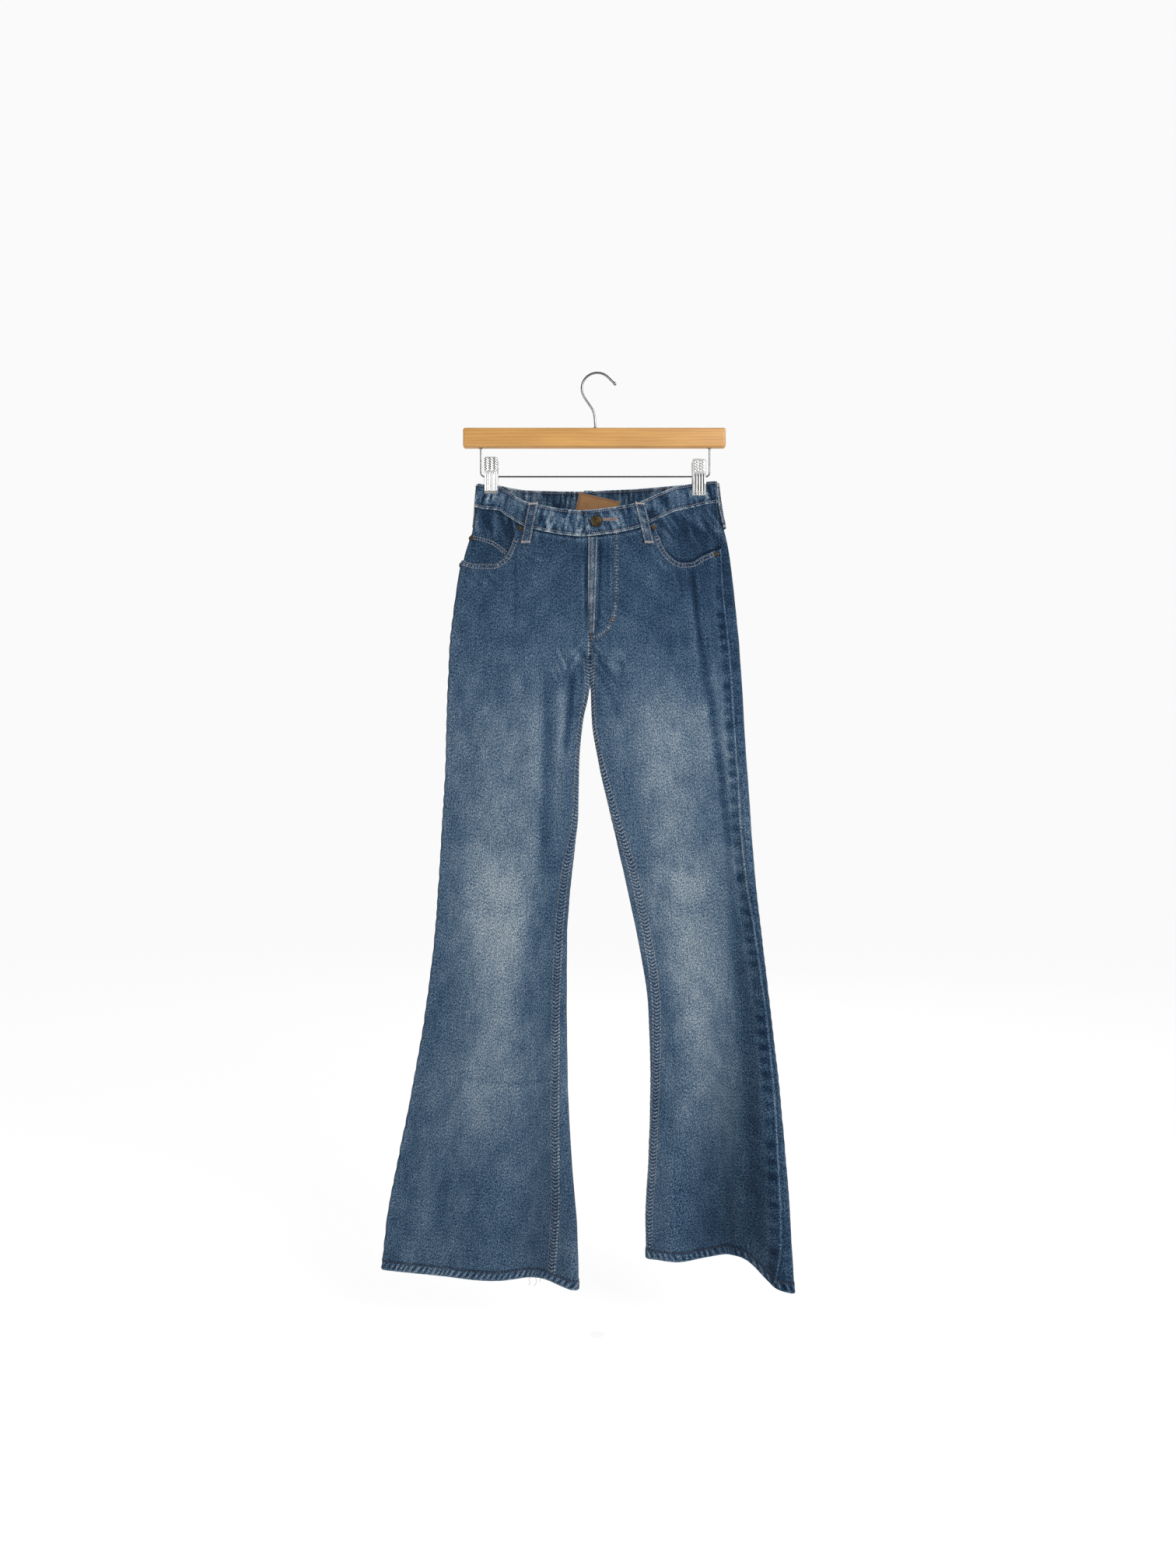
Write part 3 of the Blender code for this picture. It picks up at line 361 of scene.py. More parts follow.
def waist_share(drop: Number) -> Array:
    """Share of the waistband's own profile: 1 along the waistband, fading to 0 at the hips."""
    return 1.0 - ease(drop, WAIST_DROP, WAIST_DROP + WAIST_BLEND)


@dataclass(frozen=True)
class Half:
    """One trouser half as a flattened tube of cloth. The sign is that of its side along X."""

    name: str
    sign: int
    levels: tuple
    waves: tuple
    curls: tuple
    mouth: tuple
    hem_outer: float
    hem_inner: float
    hem_rise: float

    def frame(self, drop: Number) -> tuple:
        """Outer edge, inner edge, width, fold radius and run of one layer at a drop."""
        outer = smooth_column(self.levels, "outer", drop)
        inner = smooth_column(self.levels, "inner", drop) + self.sign * (SEAM_GAP / 2.0)
        opening = centre_opening(drop)
        inner = inner + self.sign * (DENIM / 2.0 + SEAM_GAP) * (1.0 - opening)
        width = np.abs(inner - outer)
        fold = smooth_column(DEPTHS, "fold", drop)
        run = width + fold * (2.0 - opening) * (math.pi / 2.0 - 1.0)
        return outer, inner, width, fold, run

    def run(self, drop: Number) -> Array:
        """Length of one layer from fold to fold at a drop."""
        return self.frame(drop)[4]

    def middle_y(self, x: Number, drop: Number) -> Array:
        """Y of the surface midway between the two layers: Gaussian waves, and a tanh curl at the edge."""
        total = np.zeros_like(x + drop)
        for wave in self.waves:
            line = wave.top_x + (wave.hem_x - wave.top_x) * ease(drop, wave.start, self.hem_inner)
            swell = ease(drop, wave.start, self.hem_inner)
            total = total + wave.depth * swell * bell(x - line, wave.half_width)
        crease = smooth_column(self.curls, "crease", drop)
        forward = smooth_column(self.curls, "forward", drop)
        outer = smooth_column(self.levels, "outer", drop)
        reached = smooth_column(self.curls, "reached", drop)
        past_bend = self.sign * (x - crease - reached * (outer - crease) / 2.0)
        return total + forward * (1.0 + np.tanh(past_bend / CURL_SOFTNESS)) / 2.0

    def point(self, turn: Number, drop: Number) -> Array:
        """Middle of the cloth at a turn and a drop.

        Across the layer the depth is a quarter of a sine in each fold of radius f, then f plus a half sine
        arch. Above the hips it blends into the waistband's own front and back lines.

        Args:
            turn: Turns round the tube.
            drop: Drops, of a shape that fits turn.

        Returns:
            X, Y and Z in millimetres along the last axis.
        """
        turn = np.mod(turn, 2.0)
        turn, drop = np.broadcast_arrays(turn, drop)
        is_front = turn <= 1.0
        share = np.where(is_front, turn, 2.0 - turn)
        outer, inner, width, fold, run = self.frame(drop)
        way = share * run
        way_back = run - way
        quarter = math.pi / 2.0
        fold_angle = np.minimum(way / fold, quarter)
        tip_angle = np.minimum(way_back / fold, quarter)
        past_fold = np.maximum(way - fold * quarter, 0.0)
        past_tip = np.maximum(way_back - fold * quarter, 0.0)
        opening = centre_opening(drop)
        from_outer = fold * (1.0 - np.cos(fold_angle)) + past_fold
        from_inner = opening * way_back + (1.0 - opening) * (fold * (1.0 - np.cos(tip_angle)) + past_tip)
        across = np.where(share < 0.5, from_outer, width - from_inner)
        x = outer + (inner - outer) * across / width
        arch = np.sin(math.pi * across / width)
        swell = np.where(across < width / 2.0, arch, 1.0 - (1.0 - opening) * (1.0 - arch))
        between = smooth_column(DEPTHS, "between", drop)
        leg_depth = fold + (between / 2.0 - fold) * swell
        front_y = station("front_y", x)
        back_y = station("back_y", x)
        waist = waist_share(drop)
        depth = leg_depth * (1.0 - waist) + (back_y - front_y) / 2.0 * waist
        depth = depth * np.sin(fold_angle) * (opening + (1.0 - opening) * np.sin(tip_angle))
        side = np.where(is_front, 1.0, -1.0)
        nudge = 0.5
        rise = self.middle_y(x + nudge, drop) - self.middle_y(x - nudge, drop)
        lean = rise * (1.0 - waist) / (2.0 * nudge)
        scale = 1.0 / np.sqrt(1.0 + lean * lean)
        depth = depth * scale
        middle = self.middle_y(x, drop) * (1.0 - waist)
        middle = middle + (front_y + back_y) / 2.0 * waist * np.sin(fold_angle)
        return np.stack([x + side * depth * lean * scale, middle - side * depth * scale, -drop], axis=-1)

    def sheet(self, turn: Number, drop: Number, low: Number = FIRST_TURN, high: Number = LAST_TURN) -> tuple:
        """Points and outward normals of the cloth: the cross product of its two tangents.

        Args:
            turn: Turns round the tube.
            drop: Drops.
            low: Turn of an edge that the tangents don't pass.
            high: Turn of the other edge.

        Returns:
            Points and normals.
        """
        turn, drop = np.broadcast_arrays(np.asarray(turn, dtype=float), np.asarray(drop, dtype=float))
        reach = DIFFERENCE_STEP / self.run(drop)
        along = self.point(np.minimum(turn + reach, high), drop)
        along = along - self.point(np.maximum(turn - reach, low), drop)
        down = self.point(turn, drop + DIFFERENCE_STEP) - self.point(turn, drop - DIFFERENCE_STEP)
        return self.point(turn, drop), unit(np.cross(along, down) * self.sign)

    def front_turn(self, x: Number, drop: Number) -> Array:
        """Turn on the front layer at a given x."""
        outer, _, width, fold, run = self.frame(drop)
        across = np.clip(np.abs(x - outer), 0.0, width)
        near_fold = fold * np.arccos(np.clip(1.0 - across / fold, -1.0, 1.0))
        plain = across + fold * (math.pi / 2.0 - 1.0)
        return np.where(across < fold, near_fold, plain) / run

    def outseam(self, drop: Number) -> Array:
        """Turn of the outseam."""
        return smooth_column(self.levels, "outseam", drop) / self.run(drop)

    def inseam(self, drop: Number) -> Array:
        """Turn of the inseam, or of the centre line above the crotch."""
        return 1.0 - smooth_column(self.levels, "inseam", drop) / self.run(drop)

    def hem(self, turn: Number) -> Array:
        """Drop of the hem's lower edge."""
        turn = np.mod(turn, 2.0)
        share = np.where(turn <= 1.0, turn, 2.0 - turn)
        level = self.hem_outer + (self.hem_inner - self.hem_outer) * share
        return level - self.hem_rise * np.sin(math.pi * share)


RIGHT = Half(
    name="right",
    sign=-1,
    levels=table(Level, rows=(
        (144, -160.5, CENTRE_X, -5, 0),
        (178, -165, CENTRE_X, -5, 0),
        (214, -172.1, CENTRE_X, -5.5, 0),
        (248, -182, CENTRE_X, -6, 0),
        (300, -190.8, -12.3, -6, 0),
        (370, -199.2, -11.4, -6, 0),
        (425, -201.5, -11.6, -6, -3),
        (470, -203, -19.6, -6, -3),
        (520, -204.6, -24.2, -6, -3),
        (600, -209.6, -26.4, -6, -1),
        (680, -214.4, -33.4, -6, 7.5),
        (760, -220.4, -39.6, -6, 9),
        (860, -233, -41.3, -6, 11),
        (960, -249.5, -40.2, -6, 12),
        (1060, -269.3, -33.8, -6, 17),
        (1140, -284.5, -27.2, -6, 23),
        (1230, -294.5, -25, -6, 31),
    )),
    waves=table(Wave, rows=(
        (-75, -153, 42, -7, 900),
        (-67, -84, 30, 14, 600),
        (-30, -22, 34, -26, 900),
    )),
    curls=table(Curl, rows=((262, -170, 0, 1), (1240, -250, 0, 1))),
    mouth=table(Mouth, rows=(
        (0, 252),
        (0.057, 253.2),
        (0.162, 258),
        (0.295, 258.4),
        (0.383, 247.7),
        (0.41, 229.1),
        (0.428, 206),
    )),
    hem_outer=1210,
    hem_inner=1228,
    hem_rise=0,
)

LEFT = Half(
    name="left",
    sign=1,
    levels=table(Level, rows=(
        (144, 161, CENTRE_X, 3, 0),
        (178, 164.6, CENTRE_X, 4, 0),
        (214, 172, CENTRE_X, 9, 0),
        (248, 179, CENTRE_X, 14, 0),
        (300, 185.4, -12.3, 18, 0),
        (370, 191.5, -10.6, 17, 0),
        (425, 195.5, -9.2, 16.5, -3),
        (470, 197.8, -7.4, 15.5, -3),
        (520, 200.3, 0.6, 14, -1),
        (600, 204, 18, 11.5, 4),
        (680, 210.5, 36, 11, 11),
        (760, 219, 53.3, 8.5, 11),
        (860, 229.8, 67.7, 8, 9),
        (960, 238.3, 70.2, 8.5, 6),
        (1060, 245.2, 69.2, 11, 4),
        (1140, 249.8, 65, 14, 3),
        (1215, 253.5, 66, 27, 3),
    )),
    waves=table(Wave, rows=(
        (150, 183, 30, 19, 720),
        (120, 107, 26, -14, 800),
    )),
    curls=table(Curl, rows=(
        (262, 131, 0, 1),
        (400, 148, -4, 1),
        (520, 164, -10, 1),
        (660, 180, -21, 1),
        (900, 189, -44, 0.85),
        (1210, 201, -84, 0.58),
    )),
    mouth=table(Mouth, rows=(
        (0, 236),
        (0.041, 239.2),
        (0.19, 252),
        (0.216, 255.7),
        (0.305, 257.1),
        (0.393, 247.7),
        (0.449, 231.7),
        (0.486, 211),
    )),
    hem_outer=1208,
    hem_inner=1195,
    hem_rise=8,
)

HALVES = {"right": RIGHT, "left": LEFT}

CREASES = table(Crease, Layer.FRONT, rows=(
    # Right leg, front: pocket bag, the folds below the fly and down the thigh, one faint bend at the knee.
    ((-110, 244), (-111, 294), (-108, 343), 3.5, -0.5),
    ((-66, 395), (-68, 530), (-72, 680), 9, -2),
    ((-34, 398), (-36, 450), (-41, 512), 6, -2.2),
    ((-50, 415), (-51, 500), (-56, 606), 7, 1.2),
    ((-19, 372), (-24, 450), (-35, 552), 4, -1.3),
    ((-178, 950), (-112, 958), (-52, 954), 5, -0.4),
    ((-160, 300), (-140, 380), (-118, 470), 12, -0.8),
    ((-188, 420), (-176, 470), (-158, 520), 7, -0.6),
    ((-196, 690), (-170, 720), (-120, 735), 8, -0.7),
    ((-74, 700), (-92, 800), (-104, 925), 11, -1),
    ((-200, 1010), (-206, 1090), (-214, 1180), 13, -0.9),
    ((-30, 300), (-45, 318), (-72, 330), 5, -0.5),
    # Left leg, front: the long fold from the pocket to the knee, wrinkles at the crotch and the hip.
    ((128, 262), (149, 420), (181, 668), 6.5, -2.3),
    ((139, 300), (160, 440), (189, 620), 7, 1.1),
    ((-4, 372), (4, 383), (15, 392), 2.6, -0.8),
    ((-3, 386), (12, 403), (34, 428), 3.6, -1),
    ((2, 402), (20, 440), (43, 492), 5, -1.3),
    ((22, 267), (42, 284), (66, 299), 5, -0.5),
    ((16, 300), (38, 322), (70, 340), 6, -0.6),
    ((70, 640), (102, 662), (150, 668), 9, -0.7),
    ((82, 760), (96, 860), (106, 990), 10, -1.1),
    ((178, 690), (186, 800), (190, 910), 8, -0.9),
    ((150, 1010), (154, 1090), (160, 1170), 12, -0.9),
)) + table(Crease, Layer.BACK, rows=(
    # Right leg, back: under the yoke, below the seat, behind the knee and down the calf.
    ((-40, 392), (-78, 410), (-128, 408), 8, -2),
    ((-30, 410), (-62, 436), (-98, 448), 6, -1.6),
    ((-60, 450), (-66, 560), (-86, 660), 10, -2),
    ((-198, 400), (-178, 430), (-150, 448), 7, -1.2),
    ((-180, 655), (-132, 672), (-84, 662), 8, -1.7),
    ((-190, 700), (-140, 712), (-70, 694), 6, -1.3),
    ((-130, 740), (-128, 860), (-112, 990), 12, -1.5),
    ((-196, 860), (-212, 990), (-236, 1120), 12, 1.4),
    ((-40, 230), (-60, 246), (-92, 250), 7, -0.6),
    # Left leg, back.
    ((10, 396), (50, 416), (104, 412), 8, -2.1),
    ((6, 420), (30, 446), (62, 462), 6, -1.4),
    ((78, 440), (82, 540), (98, 640), 11, -1.9),
    ((184, 410), (166, 436), (140, 446), 7, -1.1),
    ((188, 640), (146, 662), (96, 658), 8, -1.6),
    ((196, 690), (150, 704), (84, 684), 6, -1.2),
    ((146, 750), (138, 880), (140, 1010), 12, -1.5),
    ((110, 820), (98, 950), (96, 1080), 10, 1.2),
    ((24, 226), (50, 240), (80, 242), 7, -0.6),
))

FADES_AND_SHADES = table(FadeOrShade, Layer.FRONT, rows=(
    (-110, 520, 72, 185, 0.25, -0.06),
    (-140, 800, 58, 150, 0.25, -0.1),
    (-124, 680, 60, 90, 0.07),
    (-158, 985, 60, 110, 0.1),
    (92, 535, 66, 195, 0.23, 0.1),
    (130, 800, 52, 150, 0.24, 0.1),
    (112, 680, 56, 90, 0.07),
    (138, 985, 52, 120, 0.08),
    # Painted shade where the left leg's outer edge turns forward, away from the light.
    (216, 1080, 26, 190, -0.16),
    (120, 1170, 120, 90, -0.07),
    (-150, 1190, 120, 70, -0.05),
    (-60, 270, 40, 60, 0.05),
    (34, 270, 40, 60, 0.03),
)) + table(FadeOrShade, Layer.BACK, rows=(
    (-104, 330, 60, 80, 0.2),
    (80, 330, 60, 80, 0.2),
    (-124, 520, 52, 130, 0.16),
    (112, 520, 52, 130, 0.16),
    (-150, 900, 50, 160, 0.1),
    (140, 900, 50, 160, 0.1),
))

SHADE_LINES_AND_WHISKERS = table(Crease, Layer.FRONT, rows=(
    # Painted shade in the grooves beside sewn rows, under the fly's lap and along the creases, painted light on the
    # ridges and faces beside them, and short pale whiskers, which are wear. The height is a change of tone.
    ((18.5, 222), (18, 262), (18.5, 306), 1.6, 0.24),
    ((3.6, 222), (3.4, 285), (1, 345), 1.8, -0.35),
    ((-15.6, 222), (-15.4, 285), (-15.2, 352), 2, -0.4),
    ((2, 318), (9, 327), (16, 335), 2, 0.25),
    ((-2, 332), (6, 339), (14, 344), 1.6, 0.2),
    ((-8, 362), (2, 374), (12, 384), 1.8, 0.2),
    ((-18, 360), (-27, 372), (-40, 382), 1.8, 0.18),
    ((-18, 372), (-30, 390), (-38, 410), 2.4, 0.16),
    ((-110.5, 236), (-111, 300), (-109, 352), 1.3, -0.16),
    ((-96, 240), (-84, 252), (-68, 258), 2, 0.18),
    ((-92, 236), (-78, 244), (-66, 246), 1.5, 0.16),
    ((-150, 264), (-138, 278), (-120, 290), 2.2, 0.15),
    ((-168, 266), (-158, 280), (-142, 292), 2, 0.14),
    ((-184, 268), (-170, 284), (-150, 296), 1.8, 0.12),
    ((72, 240), (80, 256), (94, 268), 2, 0.2),
    ((78, 238), (88, 262), (104, 274), 1.6, 0.14),
    ((108, 266), (110, 284), (118, 306), 2.2, -0.14),
    ((128, 262), (132, 320), (143, 400), 3, -0.16),
    ((134, 262), (139, 320), (150, 400), 2.4, 0.12),
    ((150, 420), (164, 520), (178, 640), 4, -0.13),
    ((186, 700), (200, 900), (214, 1150), 8, -0.12),
    ((-178, 950), (-112, 958), (-52, 954), 2.2, -0.1),
    ((-30, 400), (-36, 452), (-44, 512), 4, -0.12),
    ((-68, 420), (-69, 530), (-73, 660), 4.5, -0.1),
    ((-160.5, 784), (-159, 784.6), (-157.5, 785.2), 1.5, -0.7),
))


@dataclass
class Patch:
    """Cloth in millimetres on its way to becoming a mesh: a grid, or a line for stitches."""

    points: Array
    normals: Array
    across: Array
    drop: Array
    wear: Array

    def raised(self, lift: Number) -> Array:
        """Points moved out along their normals."""
        lift = np.asarray(lift, dtype=float)
        return self.points + self.normals * (lift[..., None] if lift.ndim else lift)

    def pick(self, index: object) -> "Patch":
        """Some of the points, by their index."""
        return Patch(*(getattr(self, part)[index] for part in PATCH_PARTS))


class Garment:
    """The cloth's form: the smooth tube with its creases, its puckered seams, and its wear with painted shade and
    highlights.
    """

    base_wear = 0.27
    blend_turn = 0.03
    band_drop = 205.0
    fork_drop = 392.0
    fork_x = -12.0
    fork_reach = 50.0
    outseam_starts = (262.0, 330.0)
    # Lines beside the outseam, pale ones on its ridges that are partly wear and partly painted highlight, dark ones in
    # its grooves that are painted shade: distance from it, half width and change of tone.
    outseam_light_and_shade = ((1.1, 1.2, 0.26), (-0.9, 0.8, -0.22), (3.6, 1.3, -0.13), (13.5, 3.0, 0.08))

    def place(self, half: Half, turn: Array, drop: Array) -> tuple:
        """Signed run from the outer fold, front share and X of each place, front share easing at the folds."""
        turn = np.mod(turn + 0.5, 2.0) - 0.5
        run = half.run(drop)
        x = half.point(turn, drop)[..., 0]
        front = ease(turn, -self.blend_turn, self.blend_turn)
        front = front * (1.0 - ease(turn, 1.0 - self.blend_turn, 1.0 + self.blend_turn))
        return turn * run, front, x

    @staticmethod
    def crease_height(crease: Crease, x: Array, drop: Array) -> Array:
        """Height of one crease: a Gaussian trough beside a lower Gaussian shoulder, along a quadratic bend."""
        height = np.zeros_like(x)
        start, middle, end = (np.array(place) for place in (crease.start, crease.middle, crease.end))
        control = 2.0 * middle - (start + end) / 2.0
        margin = crease.half_width * 4.0
        low = np.minimum(np.minimum(start, end), middle) - margin
        high = np.maximum(np.maximum(start, end), middle) + margin
        near = (x > low[0]) & (x < high[0]) & (drop > low[1]) & (drop < high[1])
        if not near.any():
            return height
        part = np.linspace(0.0, 1.0, 33)[:, None]
        line = (1.0 - part) ** 2 * start + 2.0 * part * (1.0 - part) * control + part**2 * end
        heading = unit(np.gradient(line, axis=0))
        offset = np.stack([x[near], drop[near]], axis=-1)[:, None, :] - line[None, :, :]
        nearest = np.argmin((offset**2).sum(axis=-1), axis=1)
        rows = np.arange(len(nearest))
        arm = offset[rows, nearest]
        toward = heading[nearest]
        side = (toward[:, 0] * arm[:, 1] - toward[:, 1] * arm[:, 0]) / crease.half_width
        past = np.sqrt((arm**2).sum(axis=-1)) / crease.half_width
        past = np.sqrt(np.maximum(past**2 - side**2, 0.0))
        taper = (4.0 * part[nearest, 0] * (1.0 - part[nearest, 0])) ** 0.6
        wobble = 1.0 + 0.22 * ripple(drop[near] / 23.0 + x[near] / 31.0, crease.half_width)
        section = bell(side) - 0.4 * bell(side - 1.9)
        height[near] = crease.height * section * bell(past) * (0.15 + 0.85 * taper) * wobble
        return height

    def crossed(self, creases: Sequence, half: Half, front: Array, x: Array, drop: Array) -> Array:
        """Sum of one half's creases, each on its own layer."""
        total = np.zeros_like(x)
        for crease in creases:
            if (crease.middle[0] > CENTRE_X) == (half.sign > 0):
                share = front if crease.layer is Layer.FRONT else 1.0 - front
                total = total + share * self.crease_height(crease, x, drop)
        return total

    @staticmethod
    def off_outseam(half: Half, run: Array, drop: Array) -> tuple:
        """Distance from the outseam, number of the pucker at a drop, and the puckers' swell, a raised cosine."""
        step = drop / 20.0 + 0.4 * ripple(drop / 47.0, half.sign * 3.1)
        return run - smooth_column(half.levels, "outseam", drop), step, (0.5 + 0.5 * np.cos(TAU * step)) ** 1.5

    def streaks(self, half: Half, run: Array, x: Array, drop: Array, reach: float, fork: float) -> tuple:
        """Slanting streaks below the waistband and at the fork.

        Args:
            half: The trouser half.
            run: Signed run from the outer fold.
            x: X.
            drop: Drops.
            reach: Half height of the band below the waistband.
            fork: Share of the streaks that the fork has.

        Returns:
            How much of them shows, a Gaussian down from either place, and the streaks themselves.
        """
        at_fork = bell(drop - self.fork_drop, 24.0) * (np.abs(x - self.fork_x) < self.fork_reach)
        shown = bell(drop - self.band_drop, reach) + fork * at_fork
        return shown, mottle((run + half.sign * 0.45 * drop) / 4.6, (drop - 0.3 * run) / 15.0, 21.0)

    def relief(self, half: Half, turn: Array, drop: Array) -> Array:
        """Height of the cloth over the smooth form.

        It is the sum of the listed creases, the puckers that both side seams draw into the cloth (a Gaussian off the
        seam times an uneven cosine down it), the swell that lets both thighs touch below the crotch, the streaks under
        the waistband and two slow noises.

        Args:
            half: The trouser half.
            turn: Turns round it.
            drop: Drops.

        Returns:
            Heights in millimetres.
        """
        turn, drop = np.broadcast_arrays(turn, drop)
        run, front, x = self.place(half, turn, drop)
        height = self.crossed(CREASES, half, front, x, drop)
        off_seam, step, swell = self.off_outseam(half, run, drop)
        below = ease(drop, *self.outseam_starts)
        pucker = bell(off_seam - 7.5, 4.6) * swell
        height = height - 0.75 * below * pucker * (1.0 + 0.4 * ripple(drop / 9.0, 1.7))
        height = height - 0.25 * below * (bell(off_seam + 7.0, 5.0) * np.cos(TAU * (step * 1.3 + 0.2)))
        past_inner = half.run(drop) - run
        off_inseam = past_inner - smooth_column(half.levels, "inseam", drop)
        below = ease(drop, 384.0, 430.0)
        step = drop / 9.8 + 0.5 * ripple(drop / 31.0, half.sign * 5.3)
        for at, width, depth, pace in ((13.0, 5.5, 0.22, 1.0), (-5.0, 5.0, 0.2, 0.9)):
            height = height - depth * below * (bell(off_inseam - at, width) * np.cos(TAU * step * pace))
        gap = smooth_column(LEFT.levels, "inner", drop) - smooth_column(RIGHT.levels, "inner", drop) + 0.9
        touch = ease(drop, 381.0, 387.0) * (1.0 - ease(drop, 416.0, 431.0))
        height = height + touch * (0.5 * gap + 0.12) * bell(past_inner, 6.5)
        shown, streak = self.streaks(half, run, x, drop, 26.0, 0.6)
        height = height + 0.55 * shown * streak * ease(drop, 184.0, 196.0)
        slow = mottle(run / 55.0, drop / 120.0, 2.0 + half.sign) * 1.1
        quick = mottle(run / 17.0 + drop / 90.0, drop / 26.0, 7.0 + half.sign) * 0.28
        return height + (slow + quick) * ease(drop, 205.0, 300.0)

    def wear(self, half: Half, turn: Array, drop: Array, height: Array) -> Array:
        """How far the indigo has washed out, with painted shade in creases, grooves and hollows and painted highlights
        on ridges.

        It is the sum of soft ovals, the listed tones, noise, the streaks under the waistband, the lines and blotches
        beside the outseam, pale folded edges, and lighter ridges than troughs.

        Args:
            half: The trouser half.
            turn: Turns round it.
            drop: Drops.
            height: Heights of the creases.

        Returns:
            Shares from 0, dark, to 1, pale.
        """
        turn, drop = np.broadcast_arrays(turn, drop)
        run, front, x = self.place(half, turn, drop)
        total = self.base_wear + 0.16 * ease(drop, 270.0, 520.0)
        # Worn patches, with painted shade at the left leg's forward-turned edge and a darker tone towards the hems.
        for fade in FADES_AND_SHADES:
            if (fade.x > CENTRE_X) == (half.sign > 0):
                share = front if fade.layer is Layer.FRONT else 1.0 - front
                across = (x - fade.x - fade.lean * (drop - fade.drop)) / fade.half_width
                down = (drop - fade.drop) / fade.half_height
                total = total + share * fade.strength * np.exp(-(across**2) - down**2)
        # Painted shade and light along grooves and creases, and pale worn whiskers.
        total = total + self.crossed(SHADE_LINES_AND_WHISKERS, half, front, x, drop)
        total = total + 0.035 * mottle(run / 34.0, drop / 60.0, 11.0)
        total = total + 0.05 * mottle(run / 11.0, drop / 19.0, 13.0)
        shown, streak = self.streaks(half, run, x, drop, 24.0, 0.7)
        total = total + 0.17 * shown * np.clip(streak * 1.6, -0.7, 1.2)
        # Dark blotches in the pucker hollows on both sides of the outseam: partly wear, partly painted shade.
        off_seam, step, swell = self.off_outseam(half, run, drop)
        blotch = swell * ease(drop, *self.outseam_starts)
        total = total - 0.24 * blotch * bell(off_seam - 8.0, 4.6) * (1.0 + 0.5 * ripple(drop / 9.0, 1.7))
        for at, width, tone in self.outseam_light_and_shade:
            total = total + tone * bell(off_seam - at, width)
        total = total - 0.12 * bell(off_seam + 6.0, 4.0) * (0.5 + 0.5 * np.cos(TAU * step * 1.3))
        # Pale folded edges, and ridges lighter and troughs darker: partly wear, partly painted shade in the troughs of
        # the creases and puckers.
        fold = bell(run, 5.0) + bell(half.run(drop) - run, 5.0)
        return np.clip(total + 0.06 * fold + 0.075 * np.clip(height, -2.0, 1.6), 0.02, 0.98)

    def patch(
        self,
        half: Half,
        turn: Number,
        drop: Number,
        low: Number = FIRST_TURN,
        high: Number = LAST_TURN,
        shade: float = 0.0,
    ) -> Patch:
        """Cloth of one half, creased and worn, with painted shade.

        Args:
            half: The trouser half.
            turn: Turns round it.
            drop: Drops.
            low: Turn of an edge that the tangents don't pass.
            high: Turn of the other edge.
            shade: Added to the wear and painted shade.

        Returns:
            The patch, whose points lie midway through the cloth.
        """
        turn, drop = np.broadcast_arrays(np.asarray(turn, dtype=float), np.asarray(drop, dtype=float))
        points, normals = half.sheet(turn, drop, low, high)
        height = self.relief(half, turn, drop)
        wear = self.wear(half, turn, drop, height) + shade
        across = (turn - np.floor(turn.mean()) - 0.5) * half.run(drop)
        return Patch(points + normals * height[..., None], normals, across, np.array(drop), wear)

    def piece(self, half: Half, turn: Array, drop: Array, shade: float = 0.0) -> Patch:
        """Cloth of one cut piece, whose tangents don't pass its own two side edges."""
        low, high = turn.min(axis=1, keepdims=True), turn.max(axis=1, keepdims=True)
        return self.patch(half, turn, drop, low, high, shade)

    def layer(self, x: Number, drop: Number, layer: Layer = Layer.FRONT, shade: float = 0.0) -> Patch:
        """Cloth of the front or back layer at given X and drop, on either half."""
        x, drop = np.broadcast_arrays(np.asarray(x, dtype=float), np.asarray(drop, dtype=float))
        patches = {}
        low, high = FRONT_TURNS if layer is Layer.FRONT else BACK_TURNS
        for half in HALVES.values():
            turn = half.front_turn(x, drop)
            if layer is Layer.BACK:
                turn = 2.0 - turn
            patches[half.name] = self.patch(half, np.clip(turn, low, high), drop, low, high, shade)
        right, left = patches["right"], patches["left"]
        on_right = x < CENTRE_X
        return Patch(
            np.where(on_right[..., None], right.points, left.points),
            np.where(on_right[..., None], right.normals, left.normals),
            np.array(x),
            np.array(drop),
            np.where(on_right, right.wear, left.wear),
        )


GARMENT = Garment()


def resample(places: Sequence, step: float) -> Array:
    """Points at even steps along a smooth line: a Catmull-Rom curve through the places given.

    Args:
        places: Points of two or three numbers.
        step: Distance between points.

    Returns:
        The points, with the first and last places kept.
    """
    places = np.asarray(places, dtype=float)
    ends = np.concatenate([[2.0 * places[0] - places[1]], places, [2.0 * places[-1] - places[-2]]])
    part = np.linspace(0.0, 1.0, 25)[:-1, None]
    before, start, end, after = (ends[i : len(ends) - 3 + i, None, :] for i in range(4))
    curve = 2.0 * start + (end - before) * part
    curve = curve + (2.0 * before - 5.0 * start + 4.0 * end - after) * part**2
    curve = curve + (3.0 * start - before - 3.0 * end + after) * part**3
    curve = np.concatenate([(curve / 2.0).reshape(-1, places.shape[1]), places[-1:]])
    way = way_along(curve)
    return read_along(curve, way, np.linspace(0.0, way[-1], max(2, int(round(way[-1] / step)) + 1)))


def beside(line: Array, offset: Number) -> tuple:
    """X and drop of lines beside one, each an offset to the right of its heading, as columns of a grid."""
    heading = unit(np.gradient(line, axis=0))
    offset = np.atleast_1d(np.asarray(offset, dtype=float))[None, :]
    x = line[:, :1] - heading[:, 1:] * offset
    drop = line[:, 1:] + heading[:, :1] * offset
    return x, drop


def quads(rows: int, columns: int, closed: bool = False) -> Array:
    """Corner numbers of a grid's four-sided faces, whose last column may join the first."""
    index = np.arange(rows * columns).reshape(rows, columns)
    if closed:
        index = np.concatenate([index, index[:, :1]], axis=1)
    corners = (index[:-1, :-1], index[:-1, 1:], index[1:, 1:], index[1:, :-1])
    return np.stack(corners, axis=-1).reshape(-1, 4)


